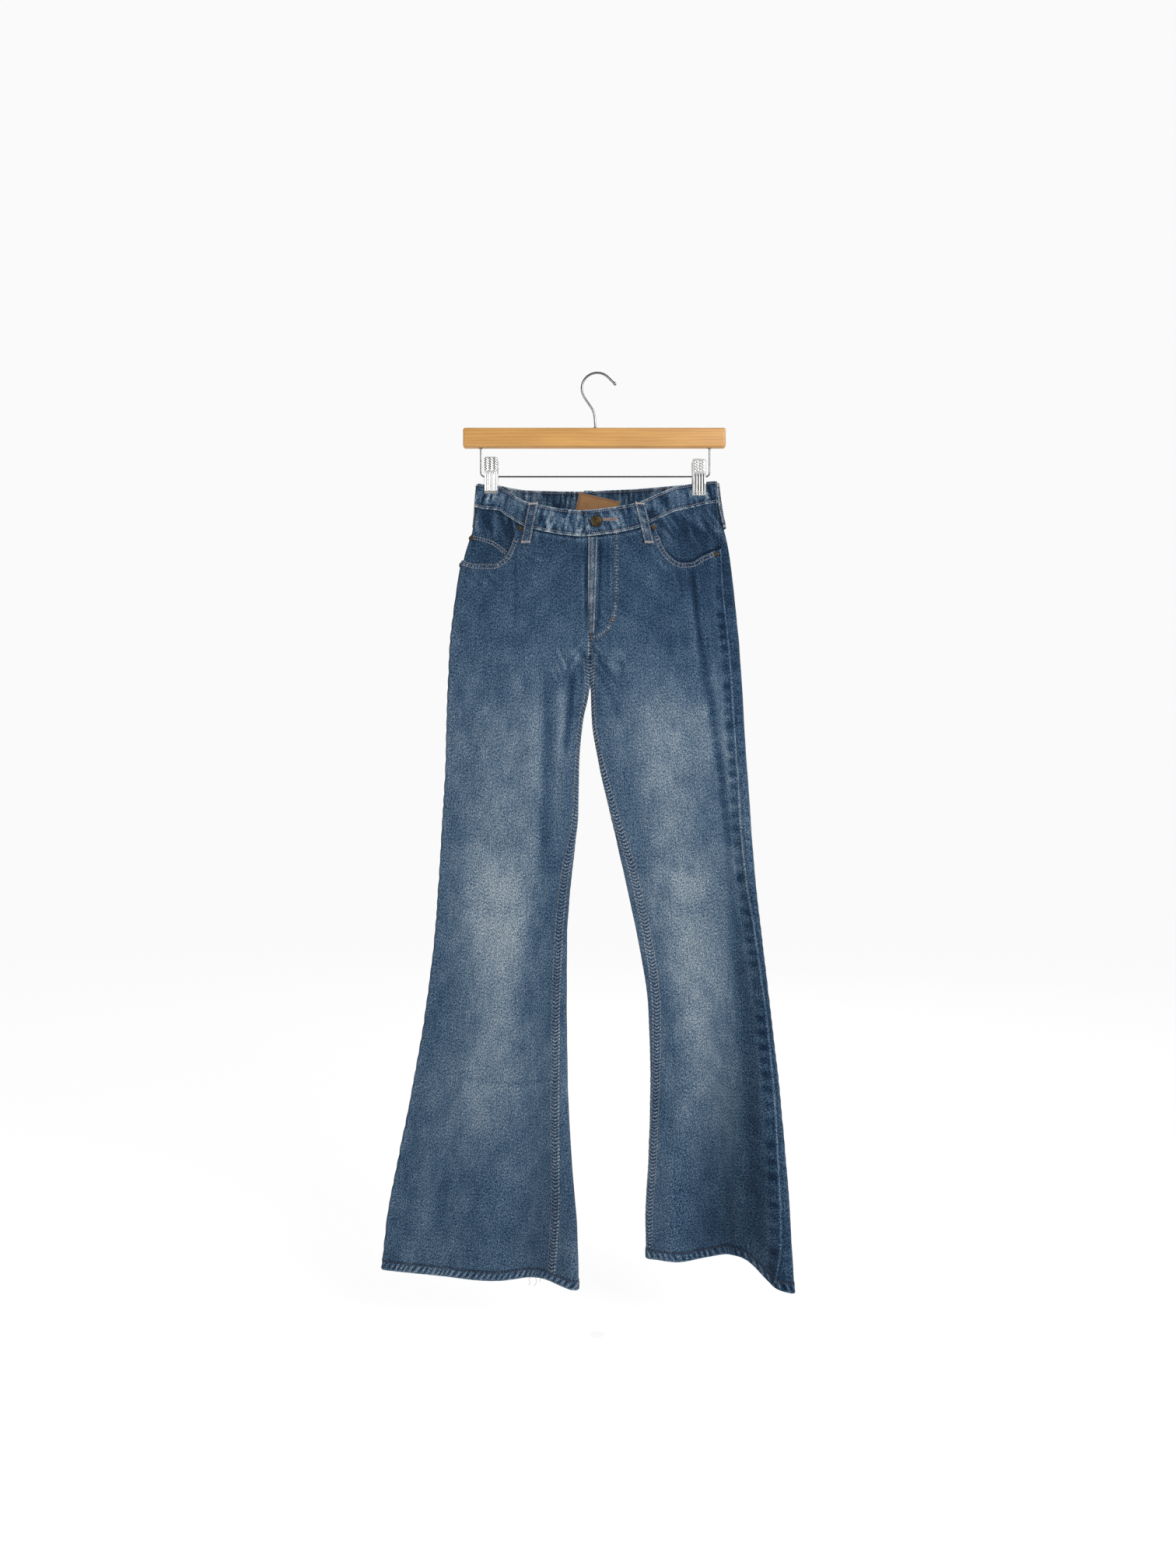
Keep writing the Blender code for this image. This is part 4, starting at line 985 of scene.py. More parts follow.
@dataclass
class Surface:
    """Points in millimetres and faces, with the weave's coordinates and the wear with its painted shade, of one new
    piece.
    """

    points: Array
    faces: list
    across: Optional[Array] = None
    drop: Optional[Array] = None
    wear: Optional[Array] = None
    slots: list = field(default_factory=list)

    def volume(self) -> float:
        """Signed volume: a sixth of the triple products of the corners of every triangle."""
        total = 0.0
        for faces in self.faces:
            for corner in range(2, faces.shape[1]):
                first, second, third = (self.points[faces[:, i]] for i in (0, corner - 1, corner))
                total += float((first * np.cross(second, third)).sum())
        return total / 6.0

    def turned_out(self) -> "Surface":
        """Reverse the faces of a closed surface where they point inwards."""
        if self.volume() < 0.0:
            self.faces = [faces[:, ::-1] for faces in self.faces]
        return self

    def join(self, other: "Surface") -> "Surface":
        """Add another surface, both with wear and weave or both without."""
        shift = len(self.points)
        slots = list(self.slots or [0] * len(self.faces)) + list(other.slots or [0] * len(other.faces))
        both = Surface(
            np.concatenate([self.points, other.points]),
            self.faces + [faces + shift for faces in other.faces],
            slots=slots,
        )
        if self.wear is not None and other.wear is not None:
            both.across = np.concatenate([self.across, other.across])
            both.drop = np.concatenate([self.drop, other.drop])
            both.wear = np.concatenate([self.wear, other.wear])
        return both

    def build(self, name: str, finishes: Sequence["Finish"], sharp: float = 50.0) -> bpy.types.Object:
        """Make the Blender object.

        Args:
            name: Name of the object.
            finishes: Its materials, one for each slot number.
            sharp: Angle in degrees from which an edge stays sharp.

        Returns:
            The object, in place, at the origin.
        """
        mesh = bpy.data.meshes.new(name)
        corners = np.concatenate([faces.reshape(-1) for faces in self.faces]).astype(np.int32)
        totals = np.concatenate([np.full(len(faces), faces.shape[1]) for faces in self.faces])
        starts = np.concatenate([[0], np.cumsum(totals)[:-1]])
        mesh.vertices.add(len(self.points))
        mesh.vertices.foreach_set("co", (self.points * MM).astype(np.float32).reshape(-1))
        mesh.loops.add(len(corners))
        mesh.loops.foreach_set("vertex_index", corners)
        mesh.polygons.add(len(totals))
        mesh.polygons.foreach_set("loop_start", starts.astype(np.int32))
        mesh.polygons.foreach_set("loop_total", totals.astype(np.int32))
        if self.slots:
            slots = np.concatenate([np.full(len(faces), slot) for faces, slot in zip(self.faces, self.slots)])
            mesh.polygons.foreach_set("material_index", slots.astype(np.int32))
        mesh.update(calc_edges=True)
        mesh.validate()
        if self.wear is not None:
            cloth = np.stack([self.across * MM, self.drop * MM, self.across * 0.0], axis=-1)
            layer = mesh.attributes.new("cloth", "FLOAT_VECTOR", "POINT")
            layer.data.foreach_set("vector", cloth.astype(np.float32).reshape(-1))
            layer = mesh.attributes.new("wear", "FLOAT", "POINT")
            layer.data.foreach_set("value", self.wear.astype(np.float32))
        mesh.shade_smooth()
        mesh.set_sharp_from_angle(angle=math.radians(sharp))
        for finish in finishes:
            mesh.materials.append(finish.material())
        thing = bpy.data.objects.new(name, mesh)
        bpy.context.scene.collection.objects.link(thing)
        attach(thing, "root")
        return thing


def wall(patch: Patch, thickness: Number, lift: Number = 0.0, closed: bool = False) -> Surface:
    """Make a closed wall of cloth on a patch.

    The outer face stands half the thickness outside the lifted patch and the inner face half inside it:
    point + normal * (lift ± thickness / 2). Strips close the four edges. Slot 1 is the inner face.

    Args:
        patch: A grid of cloth.
        thickness: One value, or one for each point.
        lift: How far the wall's middle stands out, one value or one for each point.
        closed: Whether the last column joins the first.

    Returns:
        The wall, facing out.
    """
    rows, columns = patch.drop.shape
    lift = np.broadcast_to(np.asarray(lift, dtype=float), patch.drop.shape)
    half = np.broadcast_to(np.asarray(thickness, dtype=float), patch.drop.shape) / 2.0
    points = np.concatenate([patch.raised(lift + half).reshape(-1, 3), patch.raised(lift - half).reshape(-1, 3)])
    outer = quads(rows, columns, closed)
    behind = rows * columns
    index = np.arange(behind).reshape(rows, columns)
    if closed:
        index = np.concatenate([index, index[:, :1]], axis=1)
    top, low = index[0], index[-1]
    strips = [
        np.stack([top[1:], top[:-1], behind + top[:-1], behind + top[1:]], axis=-1),
        np.stack([low[:-1], low[1:], behind + low[1:], behind + low[:-1]], axis=-1),
    ]
    if not closed:
        first, last = index[:, 0], index[:, -1]
        strips.append(np.stack([first[:-1], first[1:], behind + first[1:], behind + first[:-1]], axis=-1))
        strips.append(np.stack([last[1:], last[:-1], behind + last[:-1], behind + last[1:]], axis=-1))
    return Surface(
        points,
        [outer, outer[:, ::-1] + behind, np.concatenate(strips)],
        np.tile(patch.across.reshape(-1), 2),
        np.tile(patch.drop.reshape(-1), 2),
        np.tile(patch.wear.reshape(-1), 2),
        [0, 1, 0],
    ).turned_out()


def ribbon(patch: Patch, lift: Array) -> Surface:
    """Make an open strip of raised cloth on a patch: point + normal * lift, its edges sunk in the cloth below."""
    rows, columns = patch.drop.shape
    surface = Surface(
        patch.raised(lift).reshape(-1, 3),
        [quads(rows, columns)],
        patch.across.reshape(-1),
        patch.drop.reshape(-1),
        patch.wear.reshape(-1),
    )
    faces = surface.faces[0]
    first, second, third = (surface.points[faces[:, i]] for i in range(3))
    facing = (np.cross(second - first, third - first) * patch.normals.reshape(-1, 3)[faces[:, 0]]).sum()
    if facing < 0.0:
        surface.faces = [faces[:, ::-1]]
    return surface


def ring_faces(rings: int, sides: int) -> list:
    """Faces of a run of rings and of the fans to the two poles, whose points follow the rings'."""
    ring = np.arange(sides)
    after = np.roll(ring, -1)
    last = (rings - 1) * sides
    start = np.stack([np.full(sides, rings * sides), after, ring], axis=-1)
    end = np.stack([np.full(sides, rings * sides + 1), last + ring, last + after], axis=-1)
    return [quads(rings, sides, True), start, end]


def tube(line: Array, radius: Number, sides: int = 10, up: Sequence = (0.0, 1.0, 0.0)) -> Surface:
    """Make a round wire along a line: rings of cos and sin arms square to its heading, with closed ends.

    Args:
        line: Points in millimetres.
        radius: One value, or one for each point.
        sides: Sides of the wire.
        up: A direction that the line never runs along.

    Returns:
        The closed wire.
    """
    line = np.asarray(line, dtype=float)
    heading = unit(np.gradient(line, axis=0))
    side = unit(np.cross(heading, np.asarray(up, dtype=float)))
    over = np.cross(side, heading)
    angle = np.linspace(0.0, TAU, sides, endpoint=False)[None, :, None]
    radius = np.broadcast_to(np.asarray(radius, dtype=float), (len(line),))[:, None, None]
    rings = line[:, None, :] + radius * (np.cos(angle) * side[:, None, :] + np.sin(angle) * over[:, None, :])
    points = np.concatenate([rings.reshape(-1, 3), line[:1], line[-1:]])
    return Surface(points, ring_faces(len(line), sides)).turned_out()


def turned(base: Array, axis: Array, profile: Sequence, sides: int = 40) -> Surface:
    """Turn a profile of (out, along) points about an axis, with cos and sin arms. Its ends lie on the axis."""
    axis = axis / np.linalg.norm(axis)
    side = np.cross(axis, (0.0, 0.0, 1.0))
    if np.linalg.norm(side) < 0.1:
        side = np.cross(axis, (1.0, 0.0, 0.0))
    side = side / np.linalg.norm(side)
    over = np.cross(side, axis)
    profile = np.asarray(profile, dtype=float)
    angle = np.linspace(0.0, TAU, sides, endpoint=False)[None, :, None]
    arm = np.cos(angle) * side + np.sin(angle) * over
    rings = base + axis * profile[1:-1, None, 1:] + arm * profile[1:-1, None, :1]
    poles = base + axis * profile[[0, -1], 1:]
    return Surface(np.concatenate([rings.reshape(-1, 3), poles]), ring_faces(len(profile) - 2, sides)).turned_out()


def block(centre: Sequence, size: Sequence, edge: float, steps: int = 4) -> Surface:
    """Make a block with rounded edges: a sphere's grid whose points move out to the block's inner corners.

    Args:
        centre: Middle of the block.
        size: Its three sides.
        edge: Radius of the rounding.
        steps: Steps round a quarter turn.

    Returns:
        The closed block.
    """
    quarter = np.linspace(0.0, math.pi / 2.0, steps + 1)
    around = np.concatenate([quarter + math.pi / 2.0 * i for i in range(4)])
    raising = np.concatenate([quarter - math.pi / 2.0, quarter])
    around, raised = np.meshgrid(around, raising)
    unit = np.stack([np.cos(raised) * np.cos(around), np.cos(raised) * np.sin(around), np.sin(raised)], axis=-1)
    quadrant = np.repeat(np.arange(4), steps + 1)[None, :] + np.zeros_like(around)
    inner = np.asarray(size, dtype=float) / 2.0 - edge
    corner = np.stack(
        [
            np.where((quadrant == 0) | (quadrant == 3), 1.0, -1.0),
            np.where(quadrant < 2, 1.0, -1.0),
            np.repeat([-1.0, 1.0], steps + 1)[:, None] + np.zeros_like(around),
        ],
        axis=-1,
    )
    points = np.asarray(centre, dtype=float) + corner * inner + unit * edge
    rows, columns = around.shape
    surface = Surface(points.reshape(-1, 3), [quads(rows, columns, True)])
    ends = np.arange(rows * columns).reshape(rows, columns)
    lids = [ends[0, :: steps + 1][None, :], ends[-1, :: steps + 1][None, :]]
    surface.faces += [lids[0][:, ::-1], lids[1]]
    return surface.turned_out()


class Thread:
    """Stitches of one yarn, gathered over one part of the garment and made one piece."""

    sides = 6
    radius = 0.33

    def __init__(self, name: str, yarn: Yarn) -> None:
        """Start with no stitches."""
        self.name = name
        self.yarn = yarn
        self.parts: list = []

    def template(self, length: float) -> tuple:
        """One stitch along X: three rings and two tips, which dip with the square of X."""
        places = np.array([-0.42, 0.0, 0.42]) * length
        radii = np.array([0.72, 1.0, 0.72]) * self.radius
        angle = np.linspace(0.0, TAU, self.sides, endpoint=False)
        rings = np.stack(
            [
                np.repeat(places, self.sides),
                np.outer(radii, np.cos(angle)).reshape(-1),
                np.outer(radii, np.sin(angle)).reshape(-1),
            ],
            axis=-1,
        )
        tips = np.array([[-0.5 * length, 0.0, 0.0], [0.5 * length, 0.0, 0.0]])
        points = np.concatenate([rings, tips])
        points[:, 2] -= 0.45 * (2.0 * points[:, 0] / length) ** 2 * self.radius * 2.0
        grid, start, end = ring_faces(3, self.sides)
        return points, grid, np.concatenate([start, end])

    def sew(self, patch: Patch, lift: Number, pitch: float = 3.1, length: float = 2.4) -> None:
        """Sew along a line of cloth.

        Args:
            patch: The line, as a patch of one dimension.
            lift: How far the stitches stand out from it.
            pitch: Distance from stitch to stitch.
            length: Length of a stitch.
        """
        line = patch.raised(lift)
        way = way_along(line)
        count = max(1, int(way[-1] / pitch))
        middle = (np.arange(count) + 0.5) * way[-1] / count
        heading = read_along(line, way, middle + length / 2.0) - read_along(line, way, middle - length / 2.0)
        heading = heading / np.maximum(np.linalg.norm(heading, axis=1, keepdims=True), SHORTEST)
        side = unit(np.cross(read_along(patch.normals, way, middle), heading))
        normal = np.cross(heading, side)
        points, grid, fans = self.template(length)
        frames = np.stack([heading, side, normal], axis=1)
        placed = read_along(line, way, middle)[:, None, :] + np.einsum("pk,nkj->npj", points, frames)
        shift = (np.arange(count) * len(points))[:, None, None]
        self.parts.append(
            Surface(
                placed.reshape(-1, 3),
                [(grid[None] + shift).reshape(-1, 4), (fans[None] + shift).reshape(-1, 3)],
            )
        )

    def satin(self, patch: Patch, lift: Number, width: float, pitch: float = 0.62) -> None:
        """Lay close stitches across a line, as in a bar tack.

        Args:
            patch: The line.
            lift: How far the stitches stand out from it.
            width: Length of each stitch, across the line.
            pitch: Distance from stitch to stitch.
        """
        first = len(self.parts)
        self.sew(patch, lift, pitch, width)
        surface = self.parts[first]
        count = len(surface.points) // (3 * self.sides + 2)
        blocks = surface.points.reshape(count, -1, 3)
        middle = blocks[:, -2:, :].mean(axis=1, keepdims=True)
        arm = blocks - middle
        line = patch.raised(lift)
        way = way_along(line)
        place = (np.arange(count) + 0.5) * way[-1] / count
        normal = read_along(patch.normals, way, place)[:, None, :]
        along = (arm * normal).sum(axis=-1, keepdims=True)
        flat = arm - along * normal
        surface.points = (middle + along * normal + np.cross(normal, flat)).reshape(-1, 3)

    def build(self) -> bpy.types.Object:
        """Join the stitches into one piece."""
        shift = np.cumsum([0] + [len(part.points) for part in self.parts])
        whole = Surface(
            np.concatenate([part.points for part in self.parts]),
            [
                np.concatenate([part.faces[kind] + step for part, step in zip(self.parts, shift)])
                for kind in range(2)
            ],
        )
        return whole.build(self.name, [YARNS[self.yarn]], 80.0)


class Socket:
    """An output of a shader node. Python's operators on it add Math nodes."""

    def __init__(self, shader: "Shader", output: bpy.types.NodeSocket) -> None:
        """Wrap one output."""
        self.shader = shader
        self.output = output

    def maths(self, operation: str, *values: Union["Socket", float]) -> "Socket":
        """Add a Math node whose inputs are the values in turn."""
        return self.shader.node("ShaderNodeMath", {"operation": operation}, dict(enumerate(values)))

    def __add__(self, other: Union["Socket", float]) -> "Socket":
        """Self + other."""
        return self.maths("ADD", self, other)

    def __radd__(self, other: float) -> "Socket":
        """Other + self."""
        return self.maths("ADD", other, self)

    def __sub__(self, other: Union["Socket", float]) -> "Socket":
        """Self - other."""
        return self.maths("SUBTRACT", self, other)

    def __rsub__(self, other: float) -> "Socket":
        """Other - self."""
        return self.maths("SUBTRACT", other, self)

    def __mul__(self, other: Union["Socket", float]) -> "Socket":
        """Self * other."""
        return self.maths("MULTIPLY", self, other)

    def __rmul__(self, other: float) -> "Socket":
        """Other * self."""
        return self.maths("MULTIPLY", other, self)

    def __truediv__(self, other: Union["Socket", float]) -> "Socket":
        """Self / other."""
        return self.maths("DIVIDE", self, other)

    def __pow__(self, other: float) -> "Socket":
        """Self to a power."""
        return self.maths("POWER", self, other)

    def sine(self) -> "Socket":
        """Sine of self."""
        return self.maths("SINE", self)

    def clamped(self) -> "Socket":
        """Self kept from 0 to 1."""
        return self.maths("MINIMUM", self.maths("MAXIMUM", self, 0.0), 1.0)


class Shader:
    """The node tree of one material."""

    def __init__(self, name: str) -> None:
        """Start a material with no nodes."""
        self.material = bpy.data.materials.new(name)
        self.material.use_nodes = True
        self.tree = self.material.node_tree
        self.tree.nodes.clear()

    def node(self, kind: str, settings: dict, inputs: dict, output: Union[int, str] = 0) -> Socket:
        """Add a node.

        Args:
            kind: Its type.
            settings: Its own settings. "stops" are the places and colours of a ramp.
            inputs: Values or links, by name or number of the input.
            output: Name or number of the output that is returned.

        Returns:
            The output.
        """
        node = self.tree.nodes.new(kind)
        for name, value in settings.items():
            if name == "stops":
                self.set_stops(node.color_ramp, value)
            else:
                setattr(node, name, value)
        for name, value in inputs.items():
            if isinstance(value, Socket):
                self.tree.links.new(value.output, node.inputs[name])
            else:
                node.inputs[name].default_value = value
        return Socket(self, node.outputs[output])

    @staticmethod
    def set_stops(ramp: bpy.types.ColorRamp, stops: Sequence) -> None:
        """Give a ramp its places and colours."""
        while len(ramp.elements) < len(stops):
            ramp.elements.new(0.5)
        for element, (place, colour) in zip(ramp.elements, stops):
            element.position = place
            element.color = (*colour, 1.0)

    def attribute(self, name: str, output: str) -> Socket:
        """Read a mesh attribute."""
        return self.node("ShaderNodeAttribute", {"attribute_name": name}, {}, output)

    def place(self) -> Socket:
        """Object coordinates, in metres."""
        return self.node("ShaderNodeTexCoord", {}, {}, "Object")

    def parts(self, vector: Socket) -> list:
        """The three numbers of a vector."""
        first = self.node("ShaderNodeSeparateXYZ", {}, {0: vector}, 0)
        node = first.output.node
        return [Socket(self, output) for output in node.outputs]

    def noise(
        self, vector: Socket, scale: tuple, detail: float = 2.0, roughness: float = 0.5, turn: float = 0.0
    ) -> Socket:
        """Noise of unit size, from about -1 to 1, on a vector that is turned about Z and then stretched."""
        turned_vector = self.node("ShaderNodeMapping", {}, {"Vector": vector, "Rotation": (0.0, 0.0, turn)})
        stretched = self.node("ShaderNodeMapping", {}, {"Vector": turned_vector, "Scale": scale})
        inputs = {"Vector": stretched, "Scale": 1.0, "Detail": detail, "Roughness": roughness}
        return (self.node("ShaderNodeTexNoise", {}, inputs, "Fac") - 0.5) * 2.0

    def ramp(self, value: Socket, stops: Sequence) -> Socket:
        """Turn a number into a colour."""
        return self.node("ShaderNodeValToRGB", {"stops": stops}, {"Fac": value}, "Color")

    def bump(self, height: Socket, distance: float) -> Socket:
        """Turn a height into a normal."""
        return self.node("ShaderNodeBump", {}, {"Height": height, "Distance": distance, "Strength": 1.0})

    def surface(
        self, colour: Socket, rough: Socket, height: Socket, distance: float, more: dict
    ) -> bpy.types.Material:
        """Finish with a Principled shader.

        Args:
            colour: Its base colour.
            rough: Its roughness.
            height: What bumps it.
            distance: Metres that a height of 1 stands for.
            more: Its other inputs, by name.

        Returns:
            The material.
        """
        inputs = {"Base Color": colour, "Roughness": rough, "Normal": self.bump(height, distance), **more}
        self.node_to_output(self.node("ShaderNodeBsdfPrincipled", {}, inputs))
        return self.material

    def node_to_output(self, shaded: Socket) -> None:
        """Link a shader to the material's output."""
        node = self.tree.nodes.new("ShaderNodeOutputMaterial")
        self.tree.links.new(shaded.output, node.inputs["Surface"])


@dataclass(frozen=True)
class Finish:
    """A finish with a name. Each kind builds its own nodes once."""

    name: str

    def material(self) -> bpy.types.Material:
        """The material, made at its first use."""
        return bpy.data.materials.get(self.name) or self.nodes(Shader(self.name))

    def nodes(self, shader: Shader) -> bpy.types.Material:
        """Build the nodes."""
        raise NotImplementedError


@dataclass(frozen=True)
class Weave(Finish):
    """Denim: a twill whose indigo warp has washed out unevenly, with flecks, slubs and a fine nap."""

    stops: tuple
    fleck: float = 0.25
    nap: float = 0.2
    slub: float = 0.12
    roughness: float = 0.9
    bump: float = 0.0007

    def nodes(self, shader: Shader) -> bpy.types.Material:
        """Wear and painted shade, plus flecks, slubs, nap and cloud, choose the colour, and sine and noises make the
        bump.

        The flecks are the sum of two slanting noises, cut off at both ends so that few stand out.
        """
        cloth = shader.attribute("cloth", "Vector")
        wear = shader.attribute("wear", "Fac")
        across, drop, _ = shader.parts(cloth)
        fleck = shader.noise(cloth, (980.0, 360.0, 1.0), 2.0, 0.65, turn=0.4)
        cross = shader.noise(cloth, (820.0, 560.0, 1.0), 1.0, turn=-0.5)
        fine = shader.noise(cloth, (1250.0, 800.0, 1.0), 1.0, turn=0.5)
        slub = shader.noise(cloth, (300.0, 34.0, 1.0), 2.0, turn=0.06)
        cloud = shader.noise(cloth, (34.0, 22.0, 1.0), 3.0, 0.6, turn=0.3)
        twill = (across * (TAU / 0.0013) + drop * (TAU / 0.0022)).sine()
        speck = ((0.5 + fleck * 2.0 + cross * 1.3).clamped() - 0.5) * (2.0 * self.fleck) + fine * self.nap
        tone = wear + speck + slub * self.slub + cloud * 0.1 + twill * 0.02
        colour = shader.ramp(tone.clamped(), self.stops)
        rough = (self.roughness - 0.06 * wear + fine * 0.04).clamped()
        height = twill * 0.3 + fine * 0.5 + fleck * 0.6 + cross * 0.4 + slub * 0.3
        sheen = {"Sheen Weight": 0.05, "Sheen Roughness": 0.5, "Sheen Tint": (0.8, 0.85, 0.9, 1.0)}
        return shader.surface(colour, rough, height, self.bump, {"Specular IOR Level": 0.12, **sheen})


@dataclass(frozen=True)
class Yarned(Finish):
    """Twisted cotton sewing thread."""

    colour: tuple
    dark: tuple

    def nodes(self, shader: Shader) -> bpy.types.Material:
        """Two tones, mixed by a slow noise for the fading and a quick one for the twist."""
        place = shader.place()
        fade = shader.noise(place, (60.0, 60.0, 60.0), 2.0)
        twist = shader.noise(place, (1500.0, 1500.0, 1500.0), 1.0)
        colour = shader.ramp((0.55 + fade * 0.5 + twist * 0.35).clamped(), ((0.0, self.dark), (1.0, self.colour)))
        rough = (0.78 + twist * 0.1).clamped()
        return shader.surface(colour, rough, twist, 0.0001, {"Sheen Weight": 0.15})


@dataclass(frozen=True)
class Metal(Finish):
    """Plated or aged metal, with fine scratches and patches of tarnish."""

    colour: tuple
    tarnish: tuple
    roughness: float
    patch: float
    grain: tuple = (300.0, 300.0, 300.0)

    def nodes(self, shader: Shader) -> bpy.types.Material:
        """Noise mixes the tarnish into the colour and roughens it; stretched noise scratches it."""
        place = shader.place()
        cloud = shader.noise(place, (420.0, 420.0, 420.0), 3.0, 0.6)
        scratch = shader.noise(place, self.grain, 3.0, 0.7)
        share = (0.5 + cloud * 0.9 * self.patch + scratch * 0.25 * self.patch).clamped()
        colour = shader.ramp(share, ((0.0, self.tarnish), (0.55, self.colour), (1.0, self.colour)))
        rough = (self.roughness - cloud * 0.12 * self.patch + scratch * 0.06).clamped()
        return shader.surface(colour, rough, scratch, 0.00003 + 0.0001 * self.patch, {"Metallic": 1.0})


@dataclass(frozen=True)
class Stamped(Metal):
    """Pressed plate whose wear attribute, its relief height, is high on its ridges and low in its grooves, where
    tarnish and painted shade gather.
    """

    def nodes(self, shader: Shader) -> bpy.types.Material:
        """The grooves hold tarnish and painted shade that stands in for dark reflections, and the ridges stay bright;
        stretched noise scratches both.
        """
        place = shader.place()
        height = shader.attribute("wear", "Fac")
        scratch = shader.noise(place, self.grain, 3.0, 0.7)
        share = (0.5 + (height - 0.5) * 2.4 + scratch * 0.12).clamped()
        colour = shader.ramp(share, ((0.0, self.tarnish), (0.46, self.colour), (0.85, (0.9, 0.9, 0.89))))
        rough = (self.roughness + 0.22 * (1.0 - share) + scratch * 0.05).clamped()
        return shader.surface(colour, rough, scratch, 0.00004, {"Metallic": 1.0})


@dataclass(frozen=True)
class Timber(Finish):
    """Waxed pale wood with its grain along the bar."""

    pale: tuple
    brown: tuple
    roughness: float = 0.42

    def nodes(self, shader: Shader) -> bpy.types.Material:
        """Growth rings are a sine of the height bent by noise; pores are noise drawn out along X."""
        place = shader.place()
        bend = shader.noise(place, (5.0, 60.0, 60.0), 2.0)
        _, depth, height = shader.parts(place)
        ring = (height * 1500.0 + depth * 500.0 + bend * 5.0).sine()
        pore = shader.noise(place, (26.0, 1400.0, 1400.0), 3.0, 0.65)
        cloud = shader.noise(place, (12.0, 40.0, 90.0), 2.0)
        share = (0.5 + ring * 0.1 + pore * 0.3 + cloud * 0.3).clamped()
        middle = tuple(0.5 * (first + second) for first, second in zip(self.brown, self.pale))
        colour = shader.ramp(share, ((0.0, self.brown), (0.4, middle), (0.8, self.pale)))
        rough = (self.roughness - pore * 0.12).clamped()
        coat = {"Coat Weight": 0.15, "Coat Roughness": 0.3}
        return shader.surface(colour, rough, pore + ring * 0.3, 0.00008, coat)


@dataclass(frozen=True)
class Suede(Finish):
    """The label's soft tan face."""

    pale: tuple
    brown: tuple

    def nodes(self, shader: Shader) -> bpy.types.Material:
        """A slow cloud and a fine pebble choose the tone; the pebble makes the bump."""
        cloth = shader.attribute("cloth", "Vector")
        wear = shader.attribute("wear", "Fac")
        pebble = shader.noise(cloth, (900.0, 900.0, 1.0), 3.0, 0.6)
        cloud = shader.noise(cloth, (90.0, 110.0, 1.0), 3.0, 0.6)
        colour = shader.ramp((wear + pebble * 0.25 + cloud * 0.3).clamped(), ((0.0, self.brown), (1.0, self.pale)))
        rough = (0.8 + pebble * 0.1).clamped()
        return shader.surface(colour, rough, pebble, 0.0002, {"Sheen Weight": 0.2})


INDIGO = (
    (0.0, (0.002, 0.01, 0.028)),
    (0.2, (0.008, 0.03, 0.068)),
    (0.4, (0.031, 0.073, 0.136)),
    (0.6, (0.084, 0.14, 0.213)),
    (0.8, (0.195, 0.257, 0.318)),
    (1.0, (0.43, 0.478, 0.5)),
)
WORN_INDIGO = (
    (0.0, (0.006, 0.018, 0.042)),
    (0.3, (0.03, 0.066, 0.12)),
    (0.6, (0.12, 0.175, 0.235)),
    (1.0, (0.46, 0.5, 0.51)),
)
REVERSE = (
    (0.0, (0.015, 0.026, 0.05)),
    (0.3, (0.045, 0.07, 0.105)),
    (0.6, (0.11, 0.15, 0.19)),
    (1.0, (0.3, 0.34, 0.36)),
)
DENIM_FINISH = Weave("woven_denim", INDIGO)
WORN_FINISH = Weave("woven_denim_worn", WORN_INDIGO, fleck=0.22)
# Shaded copies of the denim, painted darker: the facings and watch pocket that lie behind the pocket mouths, and the
# inside of the waistband.
SHADED_FACING_FINISH = Weave("woven_denim_shaded", tuple((at, tuple(0.95 * part for part in tone)) for at, tone in INDIGO))
SHADED_INNER_FINISH = Weave("woven_denim_inner_shaded", tuple((at, tuple(0.85 * part for part in tone)) for at, tone in INDIGO))
REVERSE_FINISH = Weave("woven_denim_reverse", REVERSE, fleck=0.2)
CLOTH = (DENIM_FINISH, REVERSE_FINISH)
YARNS = {
    Yarn.PALE: Yarned("sewing_thread_pale", (0.56, 0.47, 0.42), (0.22, 0.17, 0.16)),
    Yarn.BROWN: Yarned("sewing_thread_brown", (0.16, 0.085, 0.045), (0.04, 0.025, 0.02)),
    Yarn.ROSE: Yarned("sewing_thread_rose", (0.36, 0.23, 0.17), (0.13, 0.08, 0.07)),
}
BRASS = Metal("aged_brass", (0.075, 0.052, 0.028), (0.01, 0.009, 0.008), 0.4, 0.9)
WIRE = Metal("polished_wire", (0.24, 0.24, 0.235), (0.07, 0.07, 0.07), 0.2, 0.3, (900.0, 900.0, 60.0))
WOOD = Timber("waxed_wood", (0.56, 0.3, 0.085), (0.33, 0.15, 0.04))
LABEL_FACE = Suede("tan_label", (0.27, 0.135, 0.046), (0.11, 0.048, 0.016))
PRESSED = Stamped("pressed_nickel", (0.64, 0.64, 0.63), (0.025, 0.025, 0.028), 0.2, 0.1, (900.0, 900.0, 60.0))


def spaced(count: int, ends: float = 0.65) -> Array:
    """Shares from 0 to 1, closer together at both ends: s - (1 - ends) sin(2 pi s) / (2 pi)."""
    share = np.linspace(0.0, 1.0, count)
    return share - (1.0 - ends) * np.sin(TAU * share) / TAU


def panel_turns(half: Half, shares: Array, drop: Array, is_back: bool) -> Array:
    """Turns of a panel's columns at a drop, a half seam gap short of both of its edges."""
    half_gap = SEAM_GAP / 2.0 / half.run(drop)
    start = half.outseam(drop) + half_gap
    end = half.inseam(drop) - half_gap
    if is_back:
        start = half.inseam(drop) + half_gap
        end = 2.0 + half.outseam(drop) - half_gap
    return start + (end - start) * shares


